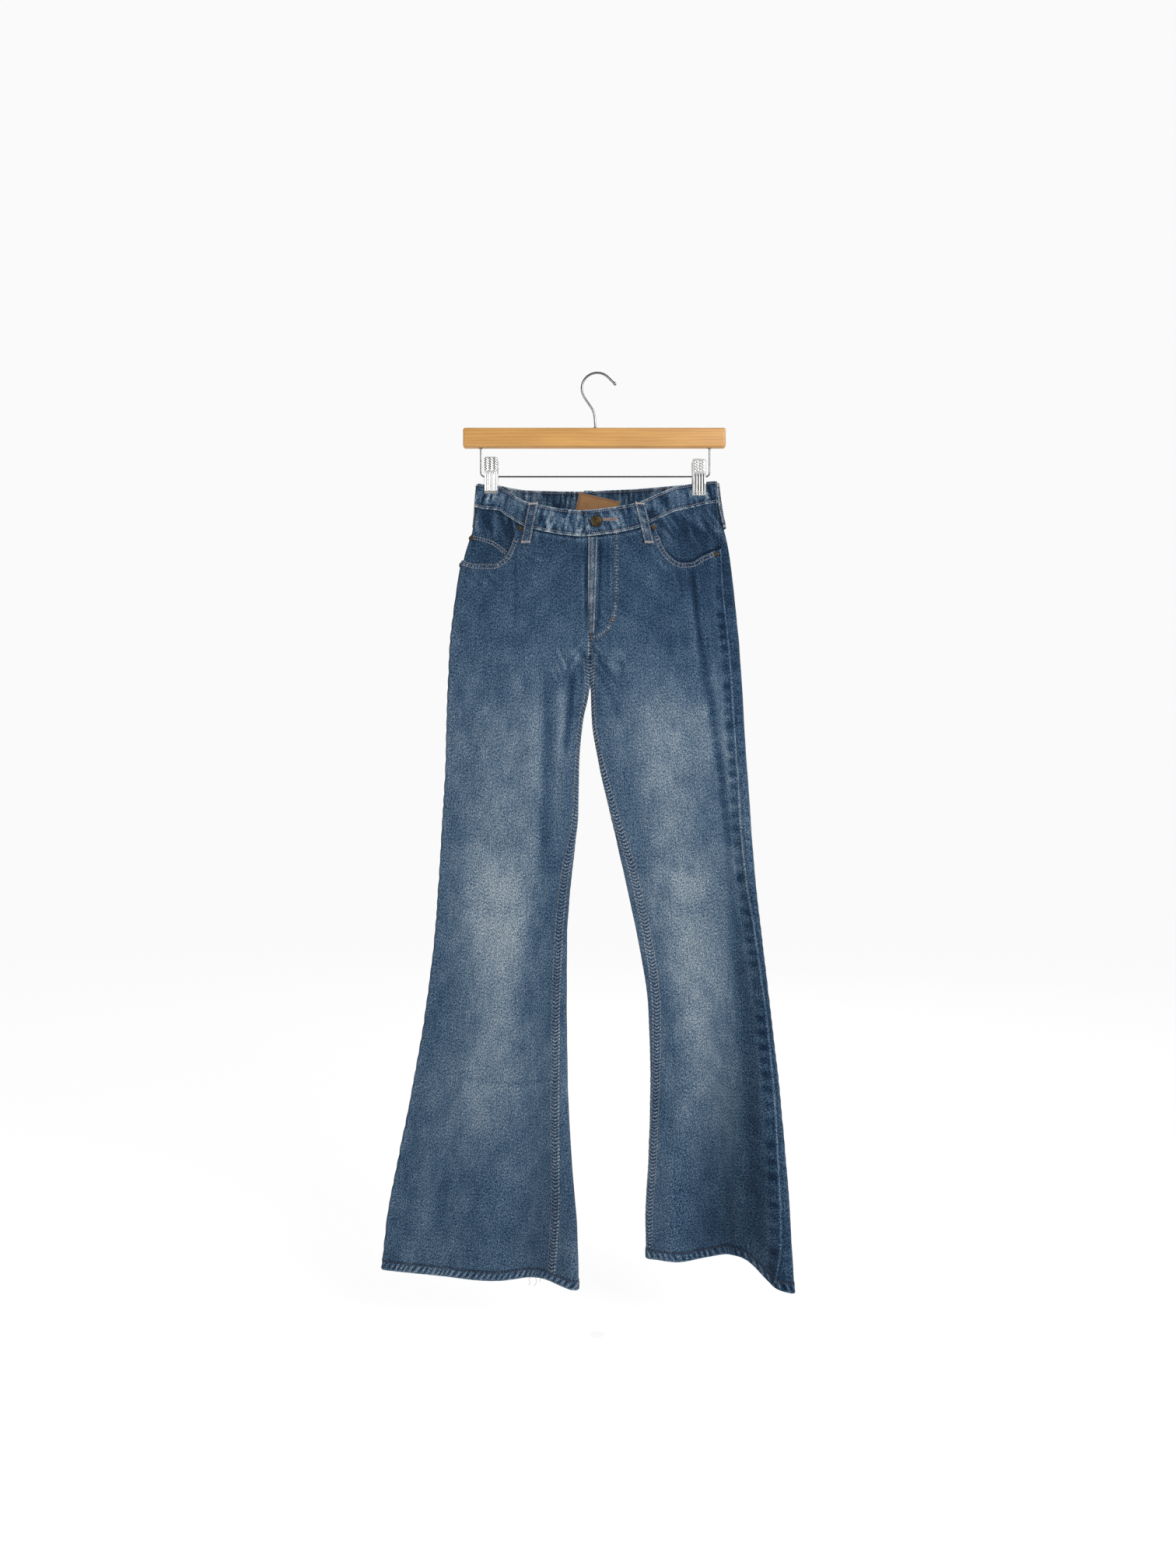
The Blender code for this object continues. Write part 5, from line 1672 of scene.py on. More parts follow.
def panel_grid(half: Half, shares: Array, rows: Array, top_of: Callable, bottom_of: Callable, is_back: bool) -> tuple:
    """Turns and drops of a grid whose top and bottom edges are functions of the turn.

    The edges depend on the turn and the turn on the drop, so both are found by going halfway there
    again and again.

    Args:
        half: The trouser half.
        shares: Places of the columns.
        rows: Places of the rows, from 0 at the top to 1.
        top_of: Gives the top edge's drop at a turn and drop.
        bottom_of: Gives the bottom edge's.
        is_back: Whether it is a back piece.

    Returns:
        Turns and drops.
    """
    shares = np.asarray(shares, dtype=float)[None, :]
    rows = np.asarray(rows, dtype=float)[:, None]
    drop = np.full((len(rows), shares.shape[1]), LEG_TOP_DROP)
    for _ in range(SEAM_SEARCH_STEPS):
        turn = panel_turns(half, shares, drop, is_back)
        top = top_of(turn, drop)
        drop = (drop + top + (bottom_of(turn, drop) - top) * rows) / 2.0
    return panel_turns(half, shares, drop, is_back), drop


def waist_seam(x: Number, layer: Layer) -> Array:
    """Drop of the waistband's lower edge on the front or back layer."""
    return station(f"{layer.value}_top", x) + station("height", x)


def yoke_seam(turn: Number) -> Array:
    """Drop of the seam under the yoke: low at the centre back and high at the sides."""
    turn = np.mod(turn, 2.0)
    share = np.where(turn < 1.0, 0.0, np.clip(2.0 - turn, 0.0, 1.0))
    return YOKE_SIDE_DROP + (YOKE_CENTRE_DROP - YOKE_SIDE_DROP) * share


def mouth_drop(half: Half, shares: Array) -> Array:
    """Drop of the pocket mouth at each share, held level past its corner."""
    return smooth_column(half.mouth, "drop", np.asarray(shares, dtype=float)[None, :], "share")


class LegPanels:
    """Front and back panels, each from the pocket or yoke down to the hem."""

    torso_rows = 44
    leg_rows = 264

    def top_of(self, half: Half, shares: Array, is_back: bool) -> Callable:
        """The function that gives a panel's upper edge."""

        def back_top(turn: Array, drop: Array) -> Array:
            return yoke_seam(turn) + SEAM_GAP

        def front_top(turn: Array, drop: Array) -> Array:
            waist = waist_seam(half.point(turn, drop)[..., 0], Layer.FRONT) + WAIST_SEAM_GAP
            wide = np.broadcast_to(shares[None, :], waist.shape)
            return np.where(wide <= half.mouth[-1].share, np.maximum(mouth_drop(half, shares), waist), waist)

        return back_top if is_back else front_top

    def build(self, half: Half, is_back: bool) -> bpy.types.Object:
        def bottom_of(turn: Array, drop: Array) -> Array:
            return half.hem(turn) - HEM_HEIGHT - SEAM_GAP

        def leg_top(turn: Array, drop: Array) -> Array:
            return np.full_like(drop, LEG_TOP_DROP)

        shares = spaced(96 if is_back else 88)
        if not is_back:
            shares = np.unique(np.concatenate([shares, [mouth.share for mouth in half.mouth], [0.397, 0.419]]))
        top = self.top_of(half, shares, is_back)
        torso = panel_grid(half, shares, np.linspace(0.0, 1.0, self.torso_rows), top, leg_top, is_back)
        leg = panel_grid(half, shares, np.linspace(0.0, 1.0, self.leg_rows), leg_top, bottom_of, is_back)
        turn = np.concatenate([torso[0][:-1], leg[0]])
        drop = np.concatenate([torso[1][:-1], leg[1]])
        patch = GARMENT.piece(half, turn, drop)
        if not is_back:
            # Painted shade in a dark band just under the pocket mouth and the waistband, and a paler line below it.
            below = drop - top(turn, drop)
            patch.wear = patch.wear - 0.4 * bell(below, 1.6) + 0.2 * bell(below - 3.4, 1.6)
        side = "back" if is_back else "front"
        thing = wall(patch, DENIM).build(f"{side}_leg_{half.name}", CLOTH)
        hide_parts(f"{side}_panel_{half.name}")
        return thing


class Yokes:
    """The two back yokes between waistband and back panel."""

    def build(self, half: Half) -> bpy.types.Object:
        """Make one yoke."""

        def top_of(turn: Array, drop: Array) -> Array:
            return waist_seam(half.point(turn, drop)[..., 0], Layer.BACK) + WAIST_SEAM_GAP

        def bottom_of(turn: Array, drop: Array) -> Array:
            return yoke_seam(turn)

        turn, drop = panel_grid(half, spaced(90), np.linspace(0.0, 1.0, 26), top_of, bottom_of, True)
        patch = GARMENT.piece(half, turn, drop)
        thing = wall(patch, DENIM).build(f"back_yoke_{half.name}", CLOTH)
        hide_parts(f"yoke_{half.name}")
        return thing


class Waistband:
    """The waistband: one strip from the underlap, round the back, to the overlap at the front."""

    rows = 27
    row_stitches = (0.1, 0.9)
    thread_lift = 0.12
    height = 34.0
    edge_radius = 1.3
    edge_reach = 0.055
    hole_x = (6.2, 25.0)
    hole_drop = 202.3

    def line(self, half: Half, turn: Array, row: Array, over: bool) -> tuple:
        """Cloth of the band and its lift.

        The lift is the lap's step. The relief is a soft pillow between the two stitched rows, which is a sine over the
        height, less a groove at either row, with streaks and puckers of noise. Streaks and both rubbed edges set the
        wear too, and the grooves darken it, partly as wear and partly as painted shade.

        Args:
            half: The trouser half.
            turn: Turns.
            row: Shares of the band's height.
            over: Whether it belongs to the upper end of the lap.

        Returns:
            The patch, the lifts and the relief.
        """
        turn, row = np.broadcast_arrays(turn, row)
        is_front = np.mod(turn, 2.0) <= 1.0
        drop = np.full(turn.shape, WAIST_DROP)
        for _ in range(SEAM_SEARCH_STEPS):
            x = half.point(turn, drop)[..., 0]
            front_top = station("front_top", x)
            back_top = station("back_top", x)
            height = station("height", x)
            drop = np.where(is_front, front_top, back_top) + height * row
        lift = UNDERLAP_LIFT * ease(x, *UNDERLAP_RAMP)
        if over:
            lift = OVERLAP_LIFT * (1.0 - ease(x, *OVERLAP_RAMP))
        lift = np.where(is_front, lift, 0.0)
        patch = GARMENT.patch(half, turn, drop)
        pull = sum(bell(row - at, 0.07) for at in self.row_stitches)
        run = turn * half.run(drop)
        pucker = ripple(run / 3.4, 4.0) * np.exp(-(((row - 0.5) / 0.46) ** 4))
        streak = mottle(run / 3.1 + row * 1.7, row * 2.6 + run / 40.0, 31.0)
        streak = streak * (0.6 + 0.7 * mottle(run / 26.0, row * 1.5, 33.0))
        # Darker at the sewn rows, partly wear and partly painted shade in their grooves; streaks, puckers and rubbed
        # edges are wear.
        patch.wear = patch.wear + 0.1 - 0.24 * pull + 0.18 * pucker + 0.56 * streak
        patch.wear = patch.wear + 0.55 * bell(row, self.edge_reach) + 0.55 * bell(1.0 - row, self.edge_reach)
        return patch, lift, 0.35 * np.sin(math.pi * row) - 0.3 * pull + 0.2 * pucker + 0.22 * streak

    def runs(self) -> tuple:
        """The band's three runs up to the lap's end: half, turns and whether each is over the lap."""
        there = 0.995 * (1.0 - spaced(118, 0.55))
        there_and_back = np.concatenate([there, -there[-2::-1]])
        under = front_turns(LEFT, np.linspace(UNDERLAP_X, CENTRE_X + 2.0, 12))
        return (
            (LEFT, under, False),
            (RIGHT, there_and_back, False),
            (LEFT, -there_and_back, True),
        )

    def build(self) -> list:
        """Make the band and its stitches."""
        row = np.linspace(0.0, 1.0, self.rows)[:, None]
        parts = [self.line(half, turn[None, :], row, over) for half, turn, over in self.runs()]
        lap_x = LAP_EDGE_TOP_X + (LAP_EDGE_LOW_X - LAP_EDGE_TOP_X) * row
        lap = [CENTRE_X - 1.2 + (lap_x - CENTRE_X + 1.2) * share for share in (0.35, 0.7, 1.0)]
        lap = np.concatenate([front_turns(RIGHT, x) for x in lap], axis=1)
        parts.append(self.line(RIGHT, lap, row, True))

        def gathered(name: str) -> Array:
            return np.concatenate([getattr(part[0], name) for part in parts], axis=1)

        patch = Patch(*(gathered(name) for name in PATCH_PARTS))
        lift = np.concatenate([part[1] for part in parts], axis=1)
        relief = np.concatenate([part[2] for part in parts], axis=1)
        steps = np.diff(patch.points, axis=1, prepend=patch.points[:, :1])
        patch.across = np.cumsum(np.linalg.norm(steps, axis=-1), axis=1)
        edge = np.clip(np.minimum(row, 1.0 - row) * self.height / self.edge_radius, 0.0, 1.0)
        thickness = BAND_THICKNESS * (0.45 + 0.55 * np.sqrt(1.0 - (1.0 - edge) ** 2)) + relief
        thing = wall(patch, thickness, lift + relief / 2.0).build("waist_band", [DENIM_FINISH, SHADED_INNER_FINISH])
        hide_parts("waistband")
        return [thing] + self.sew()

    def sew(self) -> list:
        """Sew the rows along both edges, outside and inside, down the lap's end and round the buttonhole."""
        outside = Thread("stitches_waist", Yarn.PALE)
        inside = Thread("stitches_waist_inside", Yarn.ROSE)
        for row in self.row_stitches:
            for half, turn, over in self.runs()[1:]:
                turn = turn[(turn > -0.99) & (turn < 0.985)]
                patch, lift, relief = self.line(half, turn, np.full(len(turn), row), over)
                outside.sew(patch, lift + relief + BAND_THICKNESS / 2.0 + self.thread_lift)
                is_back = np.mod(turn, 2.0) > 1.02
                inside.sew(patch.pick(is_back), -(BAND_THICKNESS / 2.0) - self.thread_lift)
        row = np.linspace(0.08, 0.92, 20)
        lap_x = LAP_EDGE_TOP_X + (LAP_EDGE_LOW_X - LAP_EDGE_TOP_X) * row + 3.2
        for half, keep in ((RIGHT, lap_x < CENTRE_X), (LEFT, lap_x >= CENTRE_X)):
            if keep.sum() > 2:
                turn = half.front_turn(lap_x[keep], WAIST_DROP)
                patch, lift, relief = self.line(half, turn, row[keep], True)
                outside.sew(patch, lift + relief + BAND_THICKNESS / 2.0 + self.thread_lift)
        hole = Thread("buttonhole", Yarn.ROSE)
        for offset in (-1.0, 1.0):
            x = np.linspace(*self.hole_x, 24)
            turn = LEFT.front_turn(x, WAIST_DROP)
            drop_share = (self.hole_drop + offset - station("front_top", x)) / self.height
            patch, lift, relief = self.line(LEFT, turn, drop_share, True)
            hole.satin(patch, lift + relief + BAND_THICKNESS / 2.0 + self.thread_lift, 1.9)
        return [outside.build(), inside.build(), hole.build()]


def front_turns(half: Half, x: Array) -> Array:
    """Turns of places along the waist, by X."""
    return half.front_turn(x, np.full(np.shape(x), WAIST_DROP))


class Hems:
    """The turned hems: rings of thicker cloth, roped by the pull of their stitches."""

    rows = 13

    def place(self, half: Half, turn: Array, row: Array) -> tuple:
        """Cloth of the hem with the height of its ropes.

        The ropes are sines of the way round, 7.4 mm long and leaning by the height, 0.4 mm high.
        """
        turn, row = np.broadcast_arrays(turn, row)
        drop = half.hem(turn) - HEM_HEIGHT * (1.0 - row)
        patch = GARMENT.patch(half, turn, drop)
        run = turn * half.run(drop)
        phase = run / 7.4 + 0.5 * row + 0.35 * ripple(run / 19.0, 8.0 + half.sign)
        rope = np.sin(TAU * phase) * np.sin(math.pi * np.clip(row * 1.15 - 0.1, 0.0, 1.0))
        rope = rope * (0.8 + 0.3 * ripple(run / 13.0, 3.0))
        stitch = bell(row - 0.1, 0.07)
        # The ropes' ridges are paler and their hollows darker from wear; the sewn row is darker, partly wear and
        # partly painted shade in its groove.
        patch.wear = patch.wear + 0.02 + 0.32 * rope - 0.34 * stitch
        patch.wear = patch.wear + 0.36 * bell(1.0 - row, 0.12) * (0.75 + 0.4 * ripple(run / 4.0, 5.0))
        return patch, 0.38 * rope - 0.2 * stitch

    def build(self, half: Half) -> list:
        """Make one hem and its stitches."""
        turn = 1.0 + 2.0 * np.linspace(0.0, 1.0, 470)[None, :-1]
        row = np.linspace(0.0, 1.0, self.rows)[:, None]
        patch, rope = self.place(half, turn, row)
        edge = np.clip(np.minimum(row + 0.04, 1.0 - row) * HEM_HEIGHT / 1.3, 0.0, 1.0)
        thickness = HEM_THICKNESS * (0.4 + 0.6 * np.sqrt(1.0 - (1.0 - edge) ** 2)) + rope
        thing = wall(patch, thickness, rope / 2.0, True).build(f"leg_hem_{half.name}", CLOTH)
        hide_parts(f"hem_{half.name}")
        thread = Thread(f"stitches_hem_{half.name}", Yarn.BROWN)
        patch, rope = self.place(half, turn[0], np.full(turn.shape[1], 0.1))
        thread.sew(patch, rope + HEM_THICKNESS / 2.0 + 0.05, 3.3, 2.5)
        return [thing, thread.build()]


class Pockets:
    """Facings, coin pocket, stitched pocket mouths and the back pockets."""

    band = 7.6
    rows_at = (1.7, 6.2)
    thread_lift = 0.55
    strip_places = (-0.25, 0.0, 0.35, 0.9, 1.7, 2.6, 3.6, 4.6, 5.4, 6.2, 6.9, 7.3, 7.6)
    # Section of a strip: shares of its width and heights.
    section = ((-0.03, 0.0, 0.06, 0.14, 0.85, 0.94, 1.0), (-0.5, 0.1, 0.5, 0.62, 0.55, 0.35, -0.35))
    rung_length = 4.1
    seat_rows = (2.0, 7.5)
    seat_bulge = 1.2
    seat_bulge_reach = 30.0

    def strip(
        self,
        line: Array,
        side: float,
        width: float,
        name: str,
        layer: Layer,
        base: float,
        rows_at: Sequence,
        yarn: Yarn,
        shade: float = 0.06,
    ) -> list:
        """Raise a folded band of cloth beside an edge and sew its rows.

        Its section is about 0.6 mm high and drops under the cloth at both sides. Rungs, a cosine of the way
        along it with some noise, rise between grooves at the sewn rows.

        Args:
            line: X and drop along the edge, at even steps.
            side: 1 if the band lies to the right of the line's heading, else -1.
            width: Width of the band.
            name: Name of the piece.
            layer: Layer that it lies on.
            base: Height of the cloth that it lies on.
            rows_at: Distances of the stitched rows from the edge.
            yarn: Their yarn.
            shade: Added to the wear and painted shade.

        Returns:
            The two new pieces.
        """
        place = np.array(self.strip_places) / self.strip_places[-1]
        x, drop = beside(line, side * place * width)
        patch = GARMENT.layer(x, drop, layer, shade)
        way = np.arange(len(line))[:, None] * np.linalg.norm(line[1] - line[0])
        section = np.interp(place, *self.section)
        pull = sum(bell(place * width - at, 0.8) for at in rows_at)
        rung = np.cos(TAU * (way / self.rung_length + 0.35 * ripple(way / 11.0, width)))
        bulge = (0.75 * rung + 0.5 * ripple(way / 2.6 + place * 1.4, width)) * (section > 0.2)
        # Paler rungs and folded edges are wear; the sewn rows are darker, partly wear and partly painted shade in
        # their grooves, and the margins where the band drops under the cloth are painted shadow.
        patch.wear = patch.wear - 0.42 * pull + 0.36 * bulge + 0.4 * (section > 0.3) * (np.abs(place - 0.5) > 0.4)
        patch.wear = np.clip(patch.wear - 0.4 * (place < -0.01) - 0.4 * (place > 0.98), 0.02, 0.78)
        surface = ribbon(patch, base + section - 0.22 * pull * (section > 0.2) + 0.16 * bulge)
        thing = surface.build(name, [DENIM_FINISH])
        thread = Thread(f"stitches_{name}", yarn)
        for at in rows_at:
            x, drop = beside(line, side * at)
            thread.sew(GARMENT.layer(x[:, 0], drop[:, 0], layer), base + self.thread_lift)
        return [thing, thread.build()]

    def mouth_line(self, half: Half) -> Array:
        """X and drop along a pocket's mouth, from the side to the waist."""
        shares = np.linspace(0.05, half.mouth[-1].share, 60)
        drop = mouth_drop(half, shares)[0]
        turn = panel_turns(half, shares, drop, False)
        x = half.point(turn, drop)[..., 0]
        keep = drop > waist_seam(x, Layer.FRONT) + WAIST_SEAM_GAP
        return resample(np.stack([x[keep], drop[keep]], axis=-1)[::3], 1.3)

    def facing(self, half: Half) -> bpy.types.Object:
        """Make the cloth behind a mouth."""
        lift = -LAYER_STEP - (PATCH_LIFT if half.sign < 0 else 0.0)
        shares = np.linspace(0.0, FACING_SHARE, 60)

        def top_of(turn: Array, drop: Array) -> Array:
            return waist_seam(half.point(turn, drop)[..., 0], Layer.FRONT) - (1.5 if half.sign < 0 else 0.2)

        def bottom_of(turn: Array, drop: Array) -> Array:
            return mouth_drop(half, shares) + FACING_MARGIN

        turn, drop = panel_grid(half, shares, np.linspace(0.0, 1.0, 30), top_of, bottom_of, False)
        patch = GARMENT.piece(half, turn, drop, -0.03)
        # Painted shadow, darkest just under the pocket mouth's edge.
        patch.wear = patch.wear - 0.34 * bell(drop - mouth_drop(half, shares) + 1.0, 2.6)
        surface = wall(patch, DENIM, lift)
        thing = surface.build(f"facing_{half.name}", [SHADED_FACING_FINISH, REVERSE_FINISH])
        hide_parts(f"pocket_facing_{half.name}")
        return thing

    def coin(self) -> list:
        """Make the coin pocket with its double-stitched top."""
        first, last = COIN_POCKET_TOP[0].share, COIN_POCKET_TOP[-1].share
        shares = np.linspace(first, last, 40)

        def top_of(turn: Array, drop: Array) -> Array:
            return smooth_column(COIN_POCKET_TOP, "drop", shares[None, :], "share")

        def bottom_of(turn: Array, drop: Array) -> Array:
            return mouth_drop(RIGHT, shares) + COIN_POCKET_MARGIN

        turn, drop = panel_grid(RIGHT, shares, np.linspace(0.0, 1.0, 18), top_of, bottom_of, False)
        patch = GARMENT.piece(RIGHT, turn, drop, -0.04)
        thing = wall(patch, DENIM, -LAYER_STEP).build("watch_pocket", [SHADED_FACING_FINISH, REVERSE_FINISH])
        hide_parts("coin_pocket")
        x = patch.points[0, :, 0]
        line = resample(np.stack([x, drop[0]], axis=-1)[2::4], 1.2)
        base = -LAYER_STEP + DENIM / 2.0
        return [thing] + self.strip(
            line, 1.0, 6.0, "watch_pocket_edge", Layer.FRONT, base, (1.3, 4.8), Yarn.PALE, 0.02
        )

    @staticmethod
    def seat_place(half: Half, across: Array, rows: Array) -> tuple:
        """Half width, X and drop at shares across and down a back pocket, which tapers to a point."""
        half_width = BACK_POCKET_HALF_TOP + (BACK_POCKET_HALF_LOW - BACK_POCKET_HALF_TOP) * rows
        x = CENTRE_X + half.sign * (BACK_POCKET_X + half_width * across)
        top = BACK_POCKET_TOP_DROP - BACK_POCKET_SLOPE * across
        low = BACK_POCKET_TOP_DROP + BACK_POCKET_HEIGHT + BACK_POCKET_POINT * (1.0 - np.abs(across))
        return half_width, x, top + (low - top) * rows

    def back_pocket(self, half: Half) -> list:
        """Make one plain patch pocket with a hemmed top and two rows round it."""
        across = np.linspace(-1.0, 1.0, 61)[None, :]
        rows = np.linspace(0.0, 1.0, 52)[:, None]
        half_width, x, drop = self.seat_place(half, across, rows)
        patch = GARMENT.layer(x, drop, Layer.BACK, 0.03)
        edge = np.minimum(np.minimum(rows * 110.0, (1.0 - rows) * 110.0), (1.0 - np.abs(across)) * half_width)
        patch.wear = patch.wear + 0.16 * bell(edge, 1.5) - 0.06 * bell(edge - 4.0, 2.5)
        bulge = self.seat_bulge * np.clip(edge / self.seat_bulge_reach, 0.0, 1.0)
        thing = wall(patch, DENIM, PATCH_LIFT + bulge).build(f"seat_pocket_{half.name}", CLOTH)
        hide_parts(f"back_pocket_{half.name}")
        thread = Thread(f"stitches_seat_pocket_{half.name}", Yarn.PALE)
        for inset in self.seat_rows:
            share = 1.0 - inset / 66.0
            down = np.linspace(0.02, 1.0 - inset / 112.0, 70)
            left = np.stack([np.full(70, -share), down], axis=-1)
            bottom = np.stack([np.linspace(-share, share, 90), np.full(90, 1.0 - inset / 118.0)], axis=-1)
            right = np.stack([np.full(70, share), down], axis=-1)
            rim = np.stack([np.linspace(-0.98, 0.98, 90), np.full(90, 0.018 + (inset - 2.0) / 80.0)], axis=-1)
            for path in (left, bottom, right, rim):
                _, x, drop = self.seat_place(half, path[:, 0], path[:, 1])
                bulge = self.seat_bulge * min(inset / self.seat_bulge_reach, 1.0)
                thread.sew(GARMENT.layer(x, drop, Layer.BACK), PATCH_LIFT + DENIM / 2.0 + 0.15 + bulge)
        return [thing, thread.build()]

    def build(self) -> dict:
        """Make them all."""
        made: dict = {}
        for half in HALVES.values():
            made[f"facing_{half.name}"] = [self.facing(half)]
            line = self.mouth_line(half)
            name = f"pocket_mouth_{half.name}"
            made[name] = self.strip(
                line, -half.sign, self.band, name, Layer.FRONT, DENIM / 2.0, self.rows_at, Yarn.PALE
            )
            made[f"seat_{half.name}"] = self.back_pocket(half)
        made["coin"] = self.coin()
        return made


POCKETS = Pockets()


class Seams:
    """Felled inseams, the rise, the crotch and the yoke seams."""

    fell_places = (-1.6, -0.9, 0.0, 0.6, 1.6, 3.0, 4.4, 5.8, 7.2, 8.6, 10.0, 10.6, 11.2, 11.8)
    # Section of the fell: distances from its edge and heights.
    section = ((-1.6, -0.9, 0.0, 0.6, 10.2, 11.0, 11.8), (-0.6, 0.05, 0.35, 0.6, 0.6, 0.3, -0.5))
    fell_rows = (1.6, 10.0)
    arrow_length = 4.75
    arrow_middle = 5.6

    def inseam(self, half: Half) -> list:
        """Raise the inseam's fell on the front panel and sew its two rows.

        The fell puckers in small arrow shapes: the cosine of the drop, shifted by the distance from the
        middle of the fell.
        """
        drop = np.arange(384.0, half.hem_inner - HEM_HEIGHT - 1.0, 0.95)[:, None]
        place = np.array(self.fell_places)
        turn = half.inseam(drop) - place[None, :] / half.run(drop)
        patch = GARMENT.patch(half, turn, drop, shade=0.05)
        section = np.interp(place, *self.section)
        arrow = drop / self.arrow_length + np.abs(place - self.arrow_middle) / 8.0 + 0.3 * ripple(drop / 21.0, 6.0)
        arrow = np.cos(TAU * arrow) * (section > 0.3)
        pull = bell(place - self.fell_rows[0], 0.7) + bell(place - self.fell_rows[1], 0.7)
        # Paler arrows and edges are wear; the sewn rows are darker, partly wear and partly painted shade, and the
        # margin where the fell drops under the cloth is painted shadow.
        patch.wear = patch.wear + 0.32 * arrow - 0.05 + 0.3 * bell(place - 0.6, 0.7) - 0.26 * pull
        patch.wear = patch.wear + 0.28 * bell(place - 10.9, 0.6) - 0.35 * (place > 11.5)
        surface = ribbon(patch, DENIM / 2.0 + section + 0.2 * arrow - 0.15 * pull)
        thing = surface.build(f"inseam_{half.name}", [DENIM_FINISH])
        thread = Thread(f"stitches_inseam_{half.name}", Yarn.ROSE)
        for at in self.fell_rows:
            turn = half.inseam(drop[:, 0]) - at / half.run(drop[:, 0])
            thread.sew(GARMENT.patch(half, turn, drop[:, 0]), DENIM / 2.0 + 0.55, 3.0, 2.2)
        return [thing, thread.build()]

    def build(self) -> dict:
        """Make every seam."""
        made: dict = {}
        for half in HALVES.values():
            made[f"inseam_{half.name}"] = self.inseam(half)
            turn = np.linspace(2.0 + half.outseam(YOKE_SIDE_DROP) - 0.005, 1.02, 120)
            drop = yoke_seam(turn)
            x = half.point(turn, drop)[..., 0]
            line = resample(np.stack([x, drop], axis=-1)[2::5], 1.4)
            name = f"yoke_seam_{half.name}"
            made[name] = POCKETS.strip(
                line, float(half.sign), 8.6, name, Layer.BACK, DENIM / 2.0, (1.6, 7.0), Yarn.PALE
            )
        drop = np.linspace(196.0, 384.0, 40)
        line = resample(np.stack([np.full(40, CENTRE_X - 0.6), drop], axis=-1)[::3], 1.4)
        made["rise"] = POCKETS.strip(line, -1.0, 8.6, "back_rise", Layer.BACK, DENIM / 2.0, (1.8, 7.0), Yarn.PALE)
        drop = np.linspace(349.0, 384.0, 20)
        line = resample(np.stack([np.full(20, CENTRE_X - 0.4), drop], axis=-1)[::3], 1.2)
        made["crotch"] = POCKETS.strip(
            line, -1.0, 6.4, "front_crotch", Layer.FRONT, DENIM / 2.0, (1.6, 5.2), Yarn.ROSE
        )
        return made


class Fly:
    """The fly's lapped edge, the rows sewn on it and the curved strip beside it."""

    edge_rows = (0.14, 0.86)
    curve = ((28.6, 219.0), (28.4, 262.0), (28.0, 303.0), (25.0, 330.0), (15.0, 350.0), (1.0, 359.0), (-8.0, 361.5))
    tacks = (((15.5, 337.0), (22.5, 331.0)), ((-9.5, 353.0), (-9.0, 361.0)))

    def build(self) -> list:
        """Make the edge strip with its rows, the bar tacks and the curved strip."""
        rows = np.linspace(0.0, 1.0, 110)[:, None]
        across = np.linspace(0.0, 1.0, 11)[None, :]
        edge = CENTRE_X + SEAM_GAP
        width = PLACKET_TOP_X + (PLACKET_LOW_X - PLACKET_TOP_X) * rows - edge
        drop = PLACKET_TOP_DROP + (PLACKET_LOW_DROP - PLACKET_TOP_DROP) * rows + across * 0.0
        patch = GARMENT.layer(edge + width * across, drop, Layer.FRONT, 0.2)
        rim = np.minimum(across, 1.0 - across)
        pucker = ripple(drop / 5.2 + across, 9.0)
        # Pale rims are wear; the dark lines at the sewn rows are partly wear and partly painted shade in their
        # grooves.
        patch.wear = patch.wear + 0.26 * bell(rim, 0.08) - 0.26 * bell(rim - 0.22, 0.09)
        patch.wear = patch.wear + 0.1 * pucker
        relief = 0.3 * np.sin(math.pi * across) + 0.12 * pucker
        surface = wall(patch, DENIM + relief, PLACKET_LIFT + relief / 2.0)
        strip = surface.build("fly_edge", [WORN_FINISH, REVERSE_FINISH])
        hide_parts("fly_placket")
        pale = Thread("stitches_fly_edge", Yarn.ROSE)
        drop = np.linspace(228.0, 350.0, 90)
        for share in self.edge_rows:
            width = PLACKET_TOP_X + (PLACKET_LOW_X - PLACKET_TOP_X) * (drop - PLACKET_TOP_DROP) / 126.6 - edge
            line = GARMENT.layer(edge + width * share, drop)
            pale.sew(line, PLACKET_LIFT + DENIM / 2.0 + 0.3)
        line = resample(self.curve, 1.3)
        curve = POCKETS.strip(
            line, 1.0, 6.2, "fly_curve", Layer.FRONT, DENIM / 2.0 - 0.3, (1.0, 5.0), Yarn.BROWN, 0.2
        )
        brown = Thread("bartacks_fly", Yarn.BROWN)
        for places in self.tacks:
            brown.satin(GARMENT.layer(*resample(places, 0.8).T), DENIM / 2.0 + 0.45, 2.2)
        return [strip, pale.build(), brown.build()] + curve


